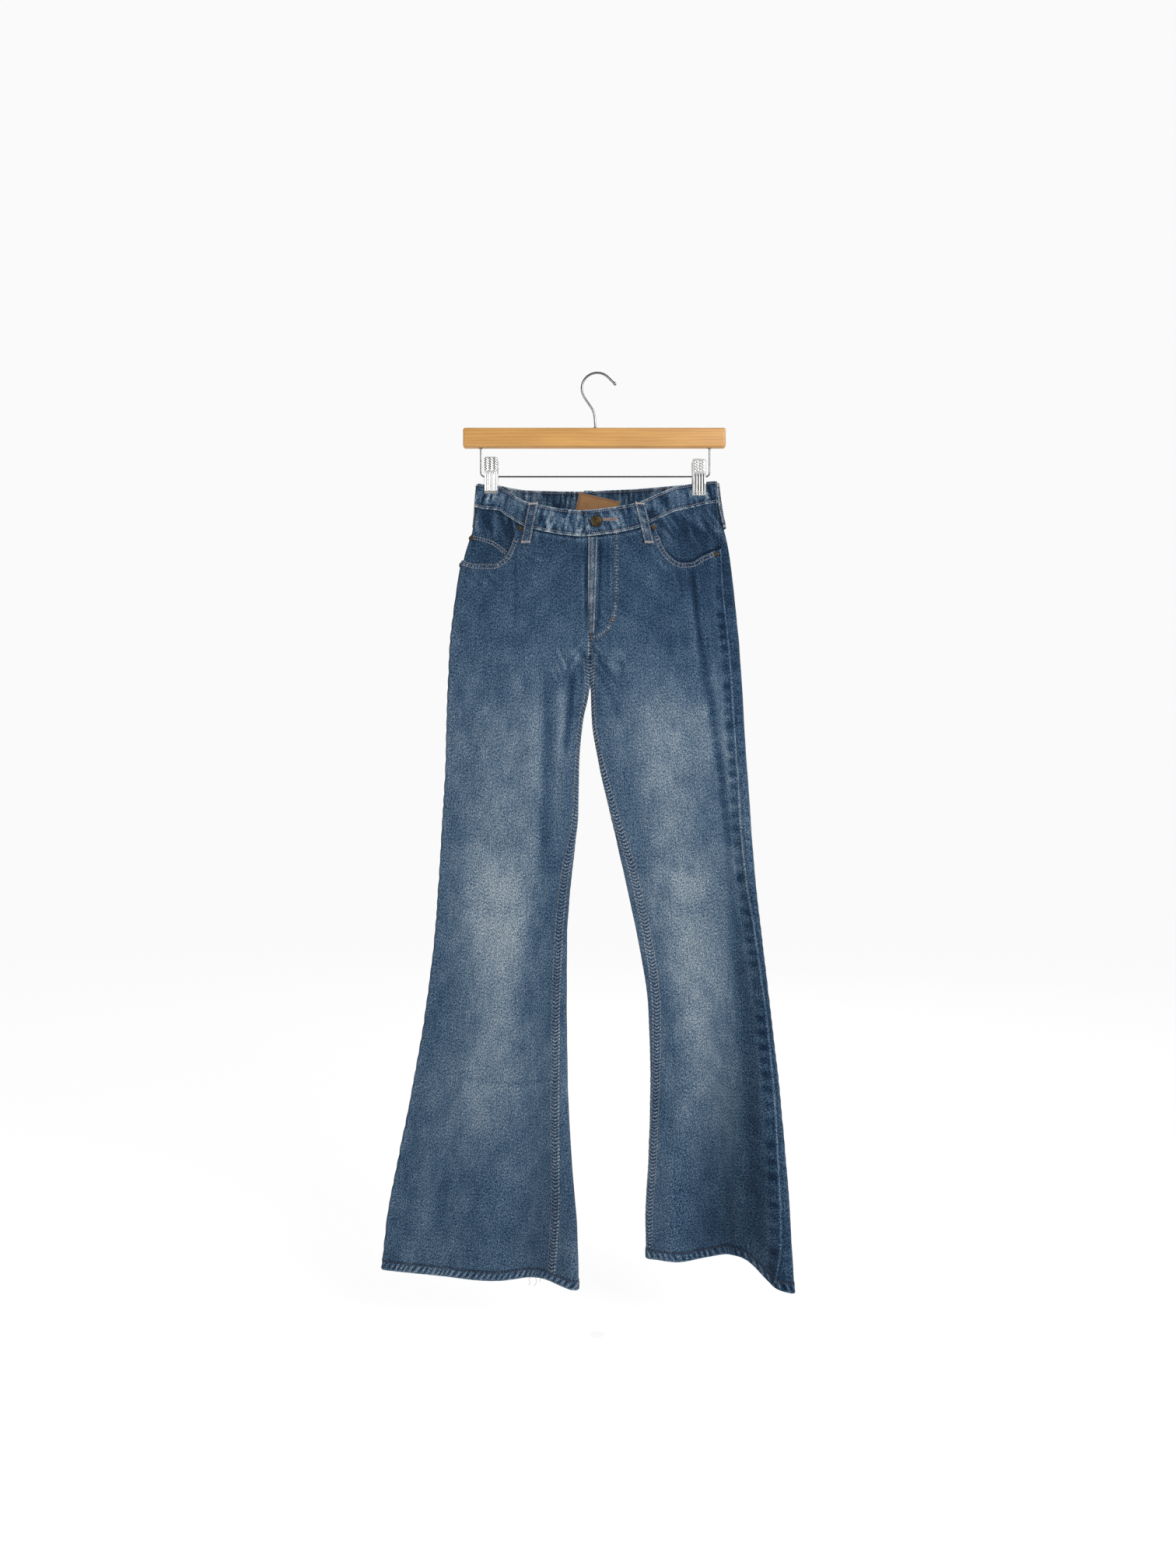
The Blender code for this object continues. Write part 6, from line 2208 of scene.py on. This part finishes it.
class BeltLoops:
    """The five belt loops with their rows and bar tacks."""

    down = np.linspace(0.0, 1.0, 46)[:, None]
    across = np.linspace(-0.5, 0.5, 15)[None, :]
    stitched_share = 0.16
    tack_row = 2

    def loop(self, name: str, patch: Patch, lift: float) -> list:
        """Make a loop with rounded edges, two rows and a bar tack at each end."""
        rim = 1.0 - 2.0 * np.abs(self.across)
        ends = np.minimum(self.down, 1.0 - self.down)
        soft = np.sqrt(1.0 - (1.0 - np.clip(rim * 6.0, 0.0, 1.0)) ** 2)
        pucker = ripple(patch.drop / 3.6 + np.abs(self.across) * 2.0, 2.0)
        # Pale rims are wear; the dark lines at the sewn rows are partly wear and partly painted shade in their
        # grooves.
        patch.wear = patch.wear + 0.46 * bell(rim, 0.13) - 0.34 * bell(rim - 0.34, 0.12) - 0.08
        patch.wear = patch.wear + 0.16 * pucker + 0.2 * bell(ends, 0.03)
        bow = 0.5 * np.sin(math.pi * self.down) ** 2
        body = LOOP_THICKNESS * (0.5 + 0.5 * soft) + 0.15 * pucker
        thing = wall(patch, body, lift + bow).build(name.replace("belt_loop", "loop"), [WORN_FINISH, REVERSE_FINISH])
        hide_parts(name)
        pale = Thread(name.replace("belt_loop", "stitches_loop"), Yarn.PALE)
        tack = Thread(name.replace("belt_loop", "bartack"), Yarn.PALE)
        columns = patch.drop.shape[1]
        inset = int(columns * self.stitched_share)
        for column in (inset, columns - 1 - inset):
            pale.sew(patch.pick((slice(None), column)), (lift + bow[:, 0]) + LOOP_THICKNESS / 2.0 + 0.1)
        for row in (self.tack_row, -1 - self.tack_row):
            tack.satin(patch.pick(row), lift + LOOP_THICKNESS / 2.0 + 0.2, 2.2)
        return [thing, pale.build(), tack.build()]

    def straight(self, name: str, top: tuple, low: tuple, layer: Layer) -> list:
        """Make a loop between two points of a layer."""
        x = top[0] + (low[0] - top[0]) * self.down + self.across * LOOP_WIDTH
        drop = top[1] + (low[1] - top[1]) * self.down + self.across * 0.0
        return self.loop(name, GARMENT.layer(x, drop, layer, 0.1), LOOP_LIFT)

    def side(self, half: Half, top: tuple, low: tuple) -> list:
        """Make a loop that bends round an outer fold."""
        drop = top[1] + (low[1] - top[1]) * self.down + self.across * 0.0
        run = top[0] + (low[0] - top[0]) * self.down + self.across * SIDE_LOOP_WIDTH
        patch = GARMENT.patch(half, run / half.run(drop), drop, shade=0.1)
        return self.loop(f"belt_loop_side_{half.name}", patch, LOOP_LIFT + 0.4)

    def build(self) -> dict:
        """Make all five."""
        return {
            "front_right": self.straight("belt_loop_front_right", (-85.0, 177.5), (-96.0, 233.0), Layer.FRONT),
            "front_left": self.straight("belt_loop_front_left", (55.8, 178.0), (69.2, 233.5), Layer.FRONT),
            "back": self.straight("belt_loop_back", (CENTRE_X, 155.0), (CENTRE_X, 212.0), Layer.BACK),
            "side_right": self.side(RIGHT, (-5.5, 150.0), (-9.5, 207.0)),
            "side_left": self.side(LEFT, (-1.0, 149.0), (0.0, 210.0)),
        }


class Label:
    """The plain tan label that hangs a little askew inside the back of the waistband."""

    corner_x = -24.2
    corner_drop = 158.4
    width = 57.0
    height = 30.0
    tilt = math.radians(13.0)
    thickness = 1.0
    inset = 1.6

    def rim(self, along: Array, down: Array) -> Array:
        """Distance from the label's nearest edge."""
        return np.minimum(np.minimum(along, self.width - along), np.minimum(down, self.height - down))

    def cloth(self, along: Array, down: Array) -> Patch:
        """The place of the label's points on the back layer, with a slightly wavy outline."""
        down = down + 0.35 * ripple(along / 9.0, 2.0) * (down > self.height / 2.0)
        x = self.corner_x + along * math.cos(self.tilt) - down * math.sin(self.tilt)
        drop = self.corner_drop + along * math.sin(self.tilt) + down * math.cos(self.tilt)
        patch = GARMENT.layer(x, drop, Layer.BACK)
        patch.across, patch.drop = along + 0.0 * down, down + 0.0 * along
        rim = self.rim(along, down)
        # Painted shade in the groove along the stitched rim; the very edge is paler.
        patch.wear = 0.62 - 0.3 * bell(rim - 2.4, 0.8) + 0.2 * bell(rim, 0.7)
        return patch

    def build(self) -> list:
        """Make the label, a pillow with a groove along its rim and a slow noise, and sew its four edges."""
        along = np.linspace(0.0, self.width, 76)[None, :]
        down = np.linspace(0.0, self.height, 42)[:, None]
        patch = self.cloth(along, down)
        rim = self.rim(along, down)
        pillow = 0.35 * (1.0 - bell(rim, 3.0)) - 0.25 * bell(rim - 2.4, 0.6)
        pillow = pillow + 0.16 * mottle(along / 7.0, down / 6.0, 3.0)
        lift = -(BAND_THICKNESS / 2.0 + SEAM_GAP + self.thickness / 2.0)
        body = self.thickness * 0.8 + pillow
        thing = wall(patch, body, lift - pillow / 2.0).build("size_label", [LABEL_FACE, LABEL_FACE])
        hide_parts("inner_label")
        thread = Thread("stitches_label", Yarn.BROWN)
        face = lift - self.thickness / 2.0 - 0.1
        left, right = self.inset, self.width - self.inset
        top, low = self.inset, self.height - self.inset
        edges = (
            ((left, top), (left, low)),
            ((right, top), (right, low)),
            ((left, top), (right, top)),
            ((left, low), (right, low)),
        )
        for edge in edges:
            path = resample(edge, 1.0)
            thread.sew(self.cloth(path[:, 0], path[:, 1]), face, 3.0, 2.3)
        return [thing, thread.build()]


class Fasteners:
    """The waist button and the five rivets, all of plain aged brass."""

    button_x = -1.5
    button_drop = 204.8
    button_profile = (
        (0.0, 0.0), (6.6, 0.0), (7.3, 0.35), (7.62, 0.95), (7.6, 1.6), (7.25, 2.2), (6.75, 2.55), (6.3, 2.55),
        (5.95, 2.35), (5.6, 1.95), (5.3, 1.85), (5.0, 2.05), (4.7, 2.12), (4.4, 2.0), (3.8, 1.9), (2.6, 1.95),
        (2.1, 2.1), (1.8, 2.4), (1.3, 2.58), (0.7, 2.62), (0.0, 2.62),
    )
    rivet_profile = (
        (0.0, 0.0), (3.1, 0.0), (3.28, 0.3), (3.2, 0.65), (2.85, 0.95), (2.4, 1.08), (2.1, 1.02), (1.85, 0.8),
        (1.6, 0.78), (1.4, 1.0), (1.1, 1.32), (0.6, 1.48), (0.0, 1.5),
    )
    rivets = {
        "pocket_right": (-103.4, 211.2, 0.0),
        "coin_pocket": (-170.6, 223.4, -LAYER_STEP),
        "pocket_left": (75.4, 210.6, 0.0),
        "side_left": (160.6, 245.2, 0.0),
        "side_right": (-184.0, 259.0, 0.0),
    }

    def fasten(self, name: str, node: str, x: float, drop: float, lift: float, profile: Sequence) -> bpy.types.Object:
        """Turn a profile about the cloth's own normal."""
        patch = GARMENT.layer(x, drop)
        base = patch.raised(lift + SEAM_GAP)
        thing = turned(base, patch.normals, profile, 56).build(name, [BRASS], SHARP_METAL)
        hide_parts(node)
        return thing

    def build(self) -> list:
        """Make all six."""
        lift = OVERLAP_LIFT + BAND_THICKNESS / 2.0
        made = [
            self.fasten("jeans_button", "waist_button", self.button_x, self.button_drop, lift, self.button_profile)
        ]
        for name, (x, drop, lift) in self.rivets.items():
            rivet = self.fasten(f"stud_{name}", f"rivet_{name}", x, drop, lift + DENIM / 2.0, self.rivet_profile)
            made.append(rivet)
        return made


class Hanger:
    """The wooden bar with its hook, and the wire rod with the two sprung clips."""

    bar_centre = (-4.0, 0.0, -87.0)
    bar_size = (355.0, 12.0, 26.6)
    bar_edge = 3.2
    hook_radius = 1.6
    hook_bend = 21.0
    hook_angles = (205.0, 45.0)
    hook_tip = 15.0
    hook_ball = 2.15
    neck = (
        (-2.6, 73.4), (-2.9, 66.0), (-3.6, 57.5), (-5.6, 50.0), (-9.4, 43.6), (-13.6, 37.5), (-17.0, 32.4),
    )
    rod_radius = 1.2
    rod_ends = (-157.7, 151.9)
    rod_drop = 139.0
    rod_corner = 5.5
    rod_start = 100.6
    # Side, X and top of each clip.
    clips = (("right", -143.6, 114.5), ("left", 137.4, 116.7))

    @staticmethod
    def metal(thing: bpy.types.Object, node: str) -> bpy.types.Object:
        """Let a metal piece stand for its CAD node."""
        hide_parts(node)
        return thing

    @staticmethod
    def arc(x: float, drop: float, radius: float, start: float, end: float, steps: int) -> Array:
        """X and drop along an arc, its angles in degrees from +X towards +Z."""
        angle = np.radians(np.linspace(start, end, steps + 1))
        return np.stack([x + radius * np.cos(angle), drop - radius * np.sin(angle)], axis=-1)

    @staticmethod
    def standing(line: Array) -> Array:
        """Points in space of a line in the hanger's plane."""
        return np.stack([line[:, 0], 0.0 * line[:, 0], -line[:, 1]], axis=-1)

    def collar(self, name: str, x: float, drop: float, up: float, radius: float) -> bpy.types.Object:
        """Make the small flared ferrule where a wire enters the bar."""
        profile = ((0.0, 0.0), (radius, 0.0), (radius, 0.5), (radius * 0.86, 0.9), (radius * 0.7, 1.5), (0.0, 1.6))
        base = np.array([x, 0.0, -drop])
        thing = turned(base, np.array([0.0, 0.0, up]), profile, 40).build(name, [WIRE], 45.0)
        return thing

    def hook(self) -> list:
        """Make the neck, the round bend and the tip, which swells into a ball."""
        middle = self.hook_bend - self.hook_radius
        bend = self.arc(0.0, middle, self.hook_bend, *self.hook_angles, 60)
        neck = resample(self.neck, 1.4)
        reach = self.hook_tip * math.sqrt(0.5)
        part = np.linspace(0.0, 1.0, 17)[1:, None]
        tip = bend[-1] + reach * part
        line = self.standing(np.concatenate([neck, bend[1:], tip]))
        radius = np.full(len(line), self.hook_radius)
        swell = np.linspace(0.0, 1.0, 8)
        radius[-8:] = self.hook_radius + (self.hook_ball - self.hook_radius) * ease(swell, 0.0, 0.6)
        radius[-3:] = self.hook_ball * np.array([0.95, 0.75, 0.35])
        thing = tube(line, radius, 20).build("wire_hook", [WIRE], SHARP_METAL)
        return [
            self.metal(thing, "hanger_hook"),
            self.collar("hook_ferrule", self.neck[0][0], 73.6, 1.0, 3.4),
        ]

    def rod(self) -> list:
        """Make the rod with its two rounded corners and a ferrule at each end."""
        low = self.rod_drop - self.rod_corner
        left = self.arc(self.rod_ends[0] + self.rod_corner, low, self.rod_corner, 180.0, 270.0, 14)
        right = self.arc(self.rod_ends[1] - self.rod_corner, low, self.rod_corner, 270.0, 360.0, 14)
        down = np.linspace(self.rod_start, low, 12)[:-1]
        start = np.stack([np.full(11, self.rod_ends[0]), down], axis=-1)
        end = np.stack([np.full(11, self.rod_ends[1]), down[::-1]], axis=-1)
        across = np.linspace(left[-1], right[0], 60)[1:-1]
        line = self.standing(np.concatenate([start, left, across, right, end]))
        thing = tube(line, self.rod_radius, 16).build("wire_rod", [WIRE], SHARP_METAL)
        made = [self.metal(thing, "hanger_rod")]
        for side, x in zip(("right", "left"), self.rod_ends):
            made.append(self.collar(f"rod_ferrule_{side}", x, self.rod_start - 0.2, -1.0, 2.7))
        return made

    def build(self) -> list:
        """Make the bar, the hook and the rod."""
        bar = block(self.bar_centre, self.bar_size, self.bar_edge, 7).build("wooden_bar", [WOOD], SHARP_METAL)
        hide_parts("hanger_bar")
        return [bar] + self.hook() + self.rod()


class Clip:
    """One sprung clip: two pressed plates and the coil between them."""

    width = 18.0
    sheet = 1.0
    profile = (
        (8.0, 0.0), (7.4, 8.0), (6.4, 17.0), (5.4, 22.5), (5.4, 26.0), (5.0, 36.0), (4.7, 44.0), (4.6, 49.0),
    )
    # Points down and across the front plate (-1) and the back plate (1).
    rows = {-1.0: 136, 1.0: 80}
    columns = {-1.0: 69, 1.0: 41}
    coil_turns = 7.0
    coil_length = 9.6
    coil_radius = 3.45

    def __init__(self, side: str, x: float, top: float) -> None:
        """Place the clip on the rod."""
        self.side = side
        self.x = x
        self.top = top

    def chevrons(self, across: Array, along: Array) -> Array:
        """Knurl of three columns of chevrons, upright ribs below it, and the plate's plain rim.

        A chevron is a sine of the way down plus the distance from its column's middle.
        """
        column = np.abs(np.mod(across + 9.0, 6.0) - 3.0)
        knurl = np.tanh(3.0 * np.sin(TAU * (along - 1.3 * column) / 3.1))
        knurl = knurl * (1.0 - ease(column, 2.45, 2.8))
        rib = np.tanh(2.0 * np.cos(TAU * across / 2.55))
        top = ease(along, 0.8, 1.6) * (1.0 - ease(along, 17.2, 18.2))
        low = ease(along, 19.0, 20.5) * (1.0 - ease(along, 43.5, 45.5))
        return 0.32 * knurl * top + 0.3 * rib * low

    def ovals(self, across: Array, along: Array) -> Array:
        """Two columns of four embossed ovals, and four grooves that end in dots.

        An oval is a Gaussian ring about its middle, a groove a Gaussian across it.
        """
        height = np.zeros_like(across + along)
        for middle in (4.4, 8.0, 11.7, 15.4):
            radius = np.sqrt(((np.abs(across) - 3.85) / 2.6) ** 2 + ((along - middle) / 1.25) ** 2)
            height = height + 0.42 * bell(radius - 0.85, 0.22) - 0.2 * bell(radius, 0.5)
        run = ease(along, 19.0, 20.5) * (1.0 - ease(along, 43.0, 44.0))
        for groove in (-5.55, -1.85, 1.85, 5.55):
            height = height - 0.42 * run * bell(across - groove, 0.62)
            dot = ((across - groove) ** 2 + (along - 46.0) ** 2) / 0.85**2
            height = height - 0.42 * bell(dot)
        return height

    def plate(self, sign: float) -> bpy.types.Object:
        """Press one plate: the profile carried across, its two sides folded in and its relief pushed out."""
        across = np.linspace(-0.5, 0.5, self.columns[sign])[None, :] * self.width
        share = np.linspace(0.0, 1.0, self.rows[sign])[:, None]
        teeth = np.abs(np.mod(across / 3.0 + 0.5, 1.0) - 0.5) * 2.0
        corner = 2.4 * (1.0 - np.sqrt(1.0 - np.clip((np.abs(across) - 6.6) / 2.4, 0.0, 1.0) ** 2))
        along = corner + share * (49.4 - 1.5 * teeth - corner)
        profile = np.asarray(self.profile, dtype=float)
        out = np.interp(along, profile[:, 1], profile[:, 0])
        beyond, before = (np.interp(along + step, profile[:, 1], profile[:, 0]) for step in (1.5, -1.5))
        out = (out + (beyond + before)) / 3.0
        fold = ease(np.abs(across), 7.4, 9.0) * (1.0 - ease(along, 26.0, 34.0))
        out = out - 1.5 * fold
        relief = self.chevrons(across, along) if self.side == "right" else self.ovals(across, along)
        relief = relief * (1.0 - ease(np.abs(across), 7.6, 8.8))
        points = np.stack(np.broadcast_arrays(self.x + across, sign * out, -self.top - along), axis=-1)
        normal = np.cross(np.gradient(points, axis=1), np.gradient(points, axis=0))
        normal = unit(normal)
        normal = normal * np.sign(normal[..., 1:2] * sign)
        # Relief height, which the plate's finish turns into tarnish and painted shade in the grooves and bright
        # ridges.
        wear = 0.5 + relief
        patch = Patch(points, normal, along * 0.0 + across, along, wear)
        surface = wall(patch, self.sheet + relief * 0.6, relief * 0.3)
        name = "front" if sign < 0.0 else "back"
        thing = surface.build(f"pressed_plate_{self.side}_{name}", [PRESSED, PRESSED], SHARP_METAL)
        return Hanger.metal(thing, f"clip_{self.side}_{name}")

    def spring(self) -> bpy.types.Object:
        """Wind the coil round the rod: a helix of seven turns."""
        part = np.linspace(0.0, 1.0, 150)
        angle = TAU * self.coil_turns * part + math.pi / 2.0
        x = self.x + (part - 0.5) * self.coil_length
        up = -Hanger.rod_drop + self.coil_radius * np.sin(angle)
        coil = np.stack([x, self.coil_radius * np.cos(angle), up], axis=-1)
        thing = tube(coil, 0.62, 10, (1.0, 0.0, 0.0)).build(f"spring_coil_{self.side}", [WIRE], SHARP_METAL)
        return Hanger.metal(thing, f"clip_{self.side}_spring")

    def build(self) -> list:
        """Make both plates and the coil."""
        return [self.plate(-1.0), self.plate(1.0), self.spring()]


class LooseEnds:
    """The few frayed ends of yarn at the right hem."""

    places = (
        ((-90.0, 1223.0), (-93.0, 1228.0), (-91.0, 1233.0), (-94.0, 1237.5)),
        ((-84.0, 1223.5), (-82.5, 1229.0), (-85.5, 1234.0)),
        ((-79.5, 1223.0), (-77.0, 1227.5), (-78.5, 1232.0)),
    )

    def build(self) -> bpy.types.Object:
        """Make thin curls of yarn that start inside the hem's edge."""
        whole: Optional[Surface] = None
        for number, places in enumerate(self.places):
            line = resample(places, 0.7)
            y = float(GARMENT.layer(line[0, 0], line[0, 1]).points[1]) + 0.3 * np.arange(len(line)) * (-1.0) ** number
            end = tube(np.stack([line[:, 0], y, -line[:, 1]], axis=-1), 0.24, 6)
            whole = end if whole is None else whole.join(end)
        return whole.build("loose_yarn", [YARNS[Yarn.PALE]], 80.0)


@dataclass(frozen=True)
class Cut:
    """The flat size that one sheet of cloth was cut to, in metres, its flat area and how it hangs."""

    width: float
    length: float
    area: Optional[float] = None
    held: str = "hung"


@dataclass(frozen=True)
class Backdrop(Finish):
    """The plain pale floor: bright near the part and as pale as the world's white far out."""

    far: tuple = (0.955, 0.955, 0.955)
    near: tuple = (1.06, 1.06, 1.06)
    glow: float = 0.84
    fade: tuple = (1.0, 6.0)

    def nodes(self, shader: Shader) -> bpy.types.Material:
        """A plain diffuse face with a faint cloud, mixed with its own light, which is all there is far out."""
        cloud = shader.noise(shader.place(), (1.3, 1.3, 1.3), 2.0)
        pale = shader.ramp((0.5 + cloud * 0.3).clamped(), ((0.0, (0.87, 0.87, 0.87)), (1.0, (0.9, 0.9, 0.9))))
        matte = shader.node("ShaderNodeBsdfDiffuse", {}, {"Color": pale, "Roughness": 0.6})
        reach = shader.node("ShaderNodeVectorMath", {"operation": "LENGTH"}, {0: shader.place()}, "Value")
        part = ((reach - self.fade[0]) / (self.fade[1] - self.fade[0])).clamped()
        glow = shader.ramp(part, ((0.0, self.near), (1.0, self.far)))
        light = shader.node("ShaderNodeEmission", {}, {"Color": glow, "Strength": 1.0})
        share = self.glow + (1.0 - self.glow) * part
        shader.node_to_output(shader.node("ShaderNodeMixShader", {}, {0: share, 1: matte, 2: light}))
        return shader.material


class Studio:
    """Floor, soft light and the camera."""

    floor_drop = 1300.0
    floor_reach = 16.0
    camera_place = (-0.0126, -1.595, -0.555)
    lens = 27.05
    sky = 0.955
    wall_light = 0.9
    room_light = 0.16
    lamps = (
        ("key", (1.5, -1.9, 0.7), (0.0, 0.0, -0.6), 1.5, 62.0),
        ("fill", (-1.8, -1.9, -0.2), (0.0, 0.0, -0.6), 1.7, 22.0),
        ("back", (0.6, 2.2, 0.6), (0.0, 0.0, -0.6), 1.8, 26.0),
    )

    def floor(self) -> None:
        """Make the floor as a plain disc of rings."""
        angle = np.linspace(0.0, TAU, 65)[None, :]
        radius = np.linspace(0.01, self.floor_reach, 24)[:, None] * 1000.0
        x, y = radius * np.cos(angle), radius * np.sin(angle)
        points = np.stack([x, y, 0.0 * x - self.floor_drop], axis=-1).reshape(-1, 3)
        mesh = bpy.data.meshes.new("floor")
        mesh.from_pydata((points * MM).tolist(), [], quads(24, 65)[:, ::-1].tolist())
        mesh.materials.append(Backdrop("pale_floor").material())
        thing = bpy.data.objects.new("floor", mesh)
        bpy.context.scene.collection.objects.link(thing)

    def world(self) -> None:
        """Light the scene from a bright side and a dimmer one, graded along Y, and show a plain white."""
        world = bpy.data.worlds.new("soft_white")
        world.use_nodes = True
        nodes, links = world.node_tree.nodes, world.node_tree.links
        nodes.clear()
        seen = nodes.new("ShaderNodeBackground")
        seen.inputs["Color"].default_value = (self.sky, self.sky, self.sky, 1.0)
        way = nodes.new("ShaderNodeTexCoord")
        parts = nodes.new("ShaderNodeSeparateXYZ")
        ramp = nodes.new("ShaderNodeMapRange")
        limits = {"From Min": -0.55, "From Max": 0.5, "To Min": self.room_light, "To Max": self.wall_light}
        for name, value in limits.items():
            ramp.inputs[name].default_value = value
        lit = nodes.new("ShaderNodeBackground")
        path = nodes.new("ShaderNodeLightPath")
        mix = nodes.new("ShaderNodeMixShader")
        output = nodes.new("ShaderNodeOutputWorld")
        links.new(way.outputs["Generated"], parts.inputs[0])
        links.new(parts.outputs["Y"], ramp.inputs["Value"])
        links.new(ramp.outputs["Result"], lit.inputs["Strength"])
        links.new(path.outputs["Is Camera Ray"], mix.inputs[0])
        links.new(lit.outputs[0], mix.inputs[1])
        links.new(seen.outputs[0], mix.inputs[2])
        links.new(mix.outputs[0], output.inputs["Surface"])
        bpy.context.scene.world = world

    def lamp(self, name: str, place: tuple, target: tuple, size: float, power: float) -> None:
        """Hang one large soft lamp that faces a target."""
        light = bpy.data.lights.new(name, "AREA")
        light.shape = "SQUARE"
        light.size = size
        light.energy = power
        thing = bpy.data.objects.new(name, light)
        thing.location = place
        heading = np.array(target) - np.array(place)
        flat = math.hypot(heading[0], heading[1])
        thing.rotation_euler = (math.atan2(flat, -heading[2]), 0.0, math.atan2(heading[1], heading[0]) - math.pi / 2.0)
        bpy.context.scene.collection.objects.link(thing)

    def camera(self) -> None:
        """Place the camera where the photograph was taken from."""
        data = bpy.data.cameras.new("camera")
        data.sensor_width = 36.0
        data.lens = self.lens
        data.clip_end = 100.0
        thing = bpy.data.objects.new("camera", data)
        thing.location = self.camera_place
        thing.rotation_euler = (math.pi / 2.0, 0.0, 0.0)
        bpy.context.scene.collection.objects.link(thing)
        bpy.context.scene.camera = thing

    def build(self) -> None:
        """Make the studio."""
        self.floor()
        self.world()
        for lamp in self.lamps:
            self.lamp(*lamp)
        self.camera()
        bpy.context.scene.view_settings.view_transform = "Standard"


def report(thing: bpy.types.Object) -> None:
    """Log a piece's triangles and the area of its faces."""
    mesh = thing.data
    totals = np.zeros(len(mesh.polygons), dtype=np.int32)
    mesh.polygons.foreach_get("loop_total", totals)
    areas = np.zeros(len(mesh.polygons), dtype=np.float32)
    mesh.polygons.foreach_get("area", areas)
    LOG.info("%s: %d triangles, %.4f square metres", thing.name, int((totals - 2).sum()), float(areas.sum()))


def declare(sheet: bpy.types.Object, carried: Iterable = ()) -> None:
    """Log a sheet of cloth and what is sewn on it."""
    list(carried)
    for thing in [sheet, *carried]:
        report(thing)


def main() -> None:
    """Build every piece in order."""
    logging.basicConfig(level=logging.INFO, format="%(message)s")
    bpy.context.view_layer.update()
    metal = Hanger().build()
    for side, x, top in Hanger.clips:
        metal += Clip(side, x, top).build()
    metal += Fasteners().build()
    for thing in metal:
        report(thing)
    panels, seams, pockets = LegPanels(), Seams().build(), POCKETS.build()
    fly, loops = Fly().build(), BeltLoops().build()
    for name, half in HALVES.items():
        front = panels.build(half, False)
        carried = seams[f"inseam_{name}"] + pockets[f"pocket_mouth_{name}"]
        if half is LEFT:
            carried = carried + fly[1:] + seams["crotch"]
        declare(front, carried)
        declare(panels.build(half, True))
        declare(Yokes().build(half), seams[f"yoke_seam_{name}"] + (seams["rise"] if half is RIGHT else []))
        declare(pockets[f"facing_{name}"][0])
        seat, thread = pockets[f"seat_{name}"]
        declare(seat, [thread])
        hem, thread = Hems().build(half)
        declare(hem, [thread] + ([LooseEnds().build()] if half is RIGHT else []))
    band = Waistband().build()
    declare(band[0], band[1:])
    declare(fly[0])
    declare(pockets["coin"][0], pockets["coin"][1:])
    label, thread = Label().build()
    declare(label, [thread])
    for loop in loops.values():
        declare(loop[0], loop[1:])
    Studio().build()


if __name__ == "__main__":
    main()
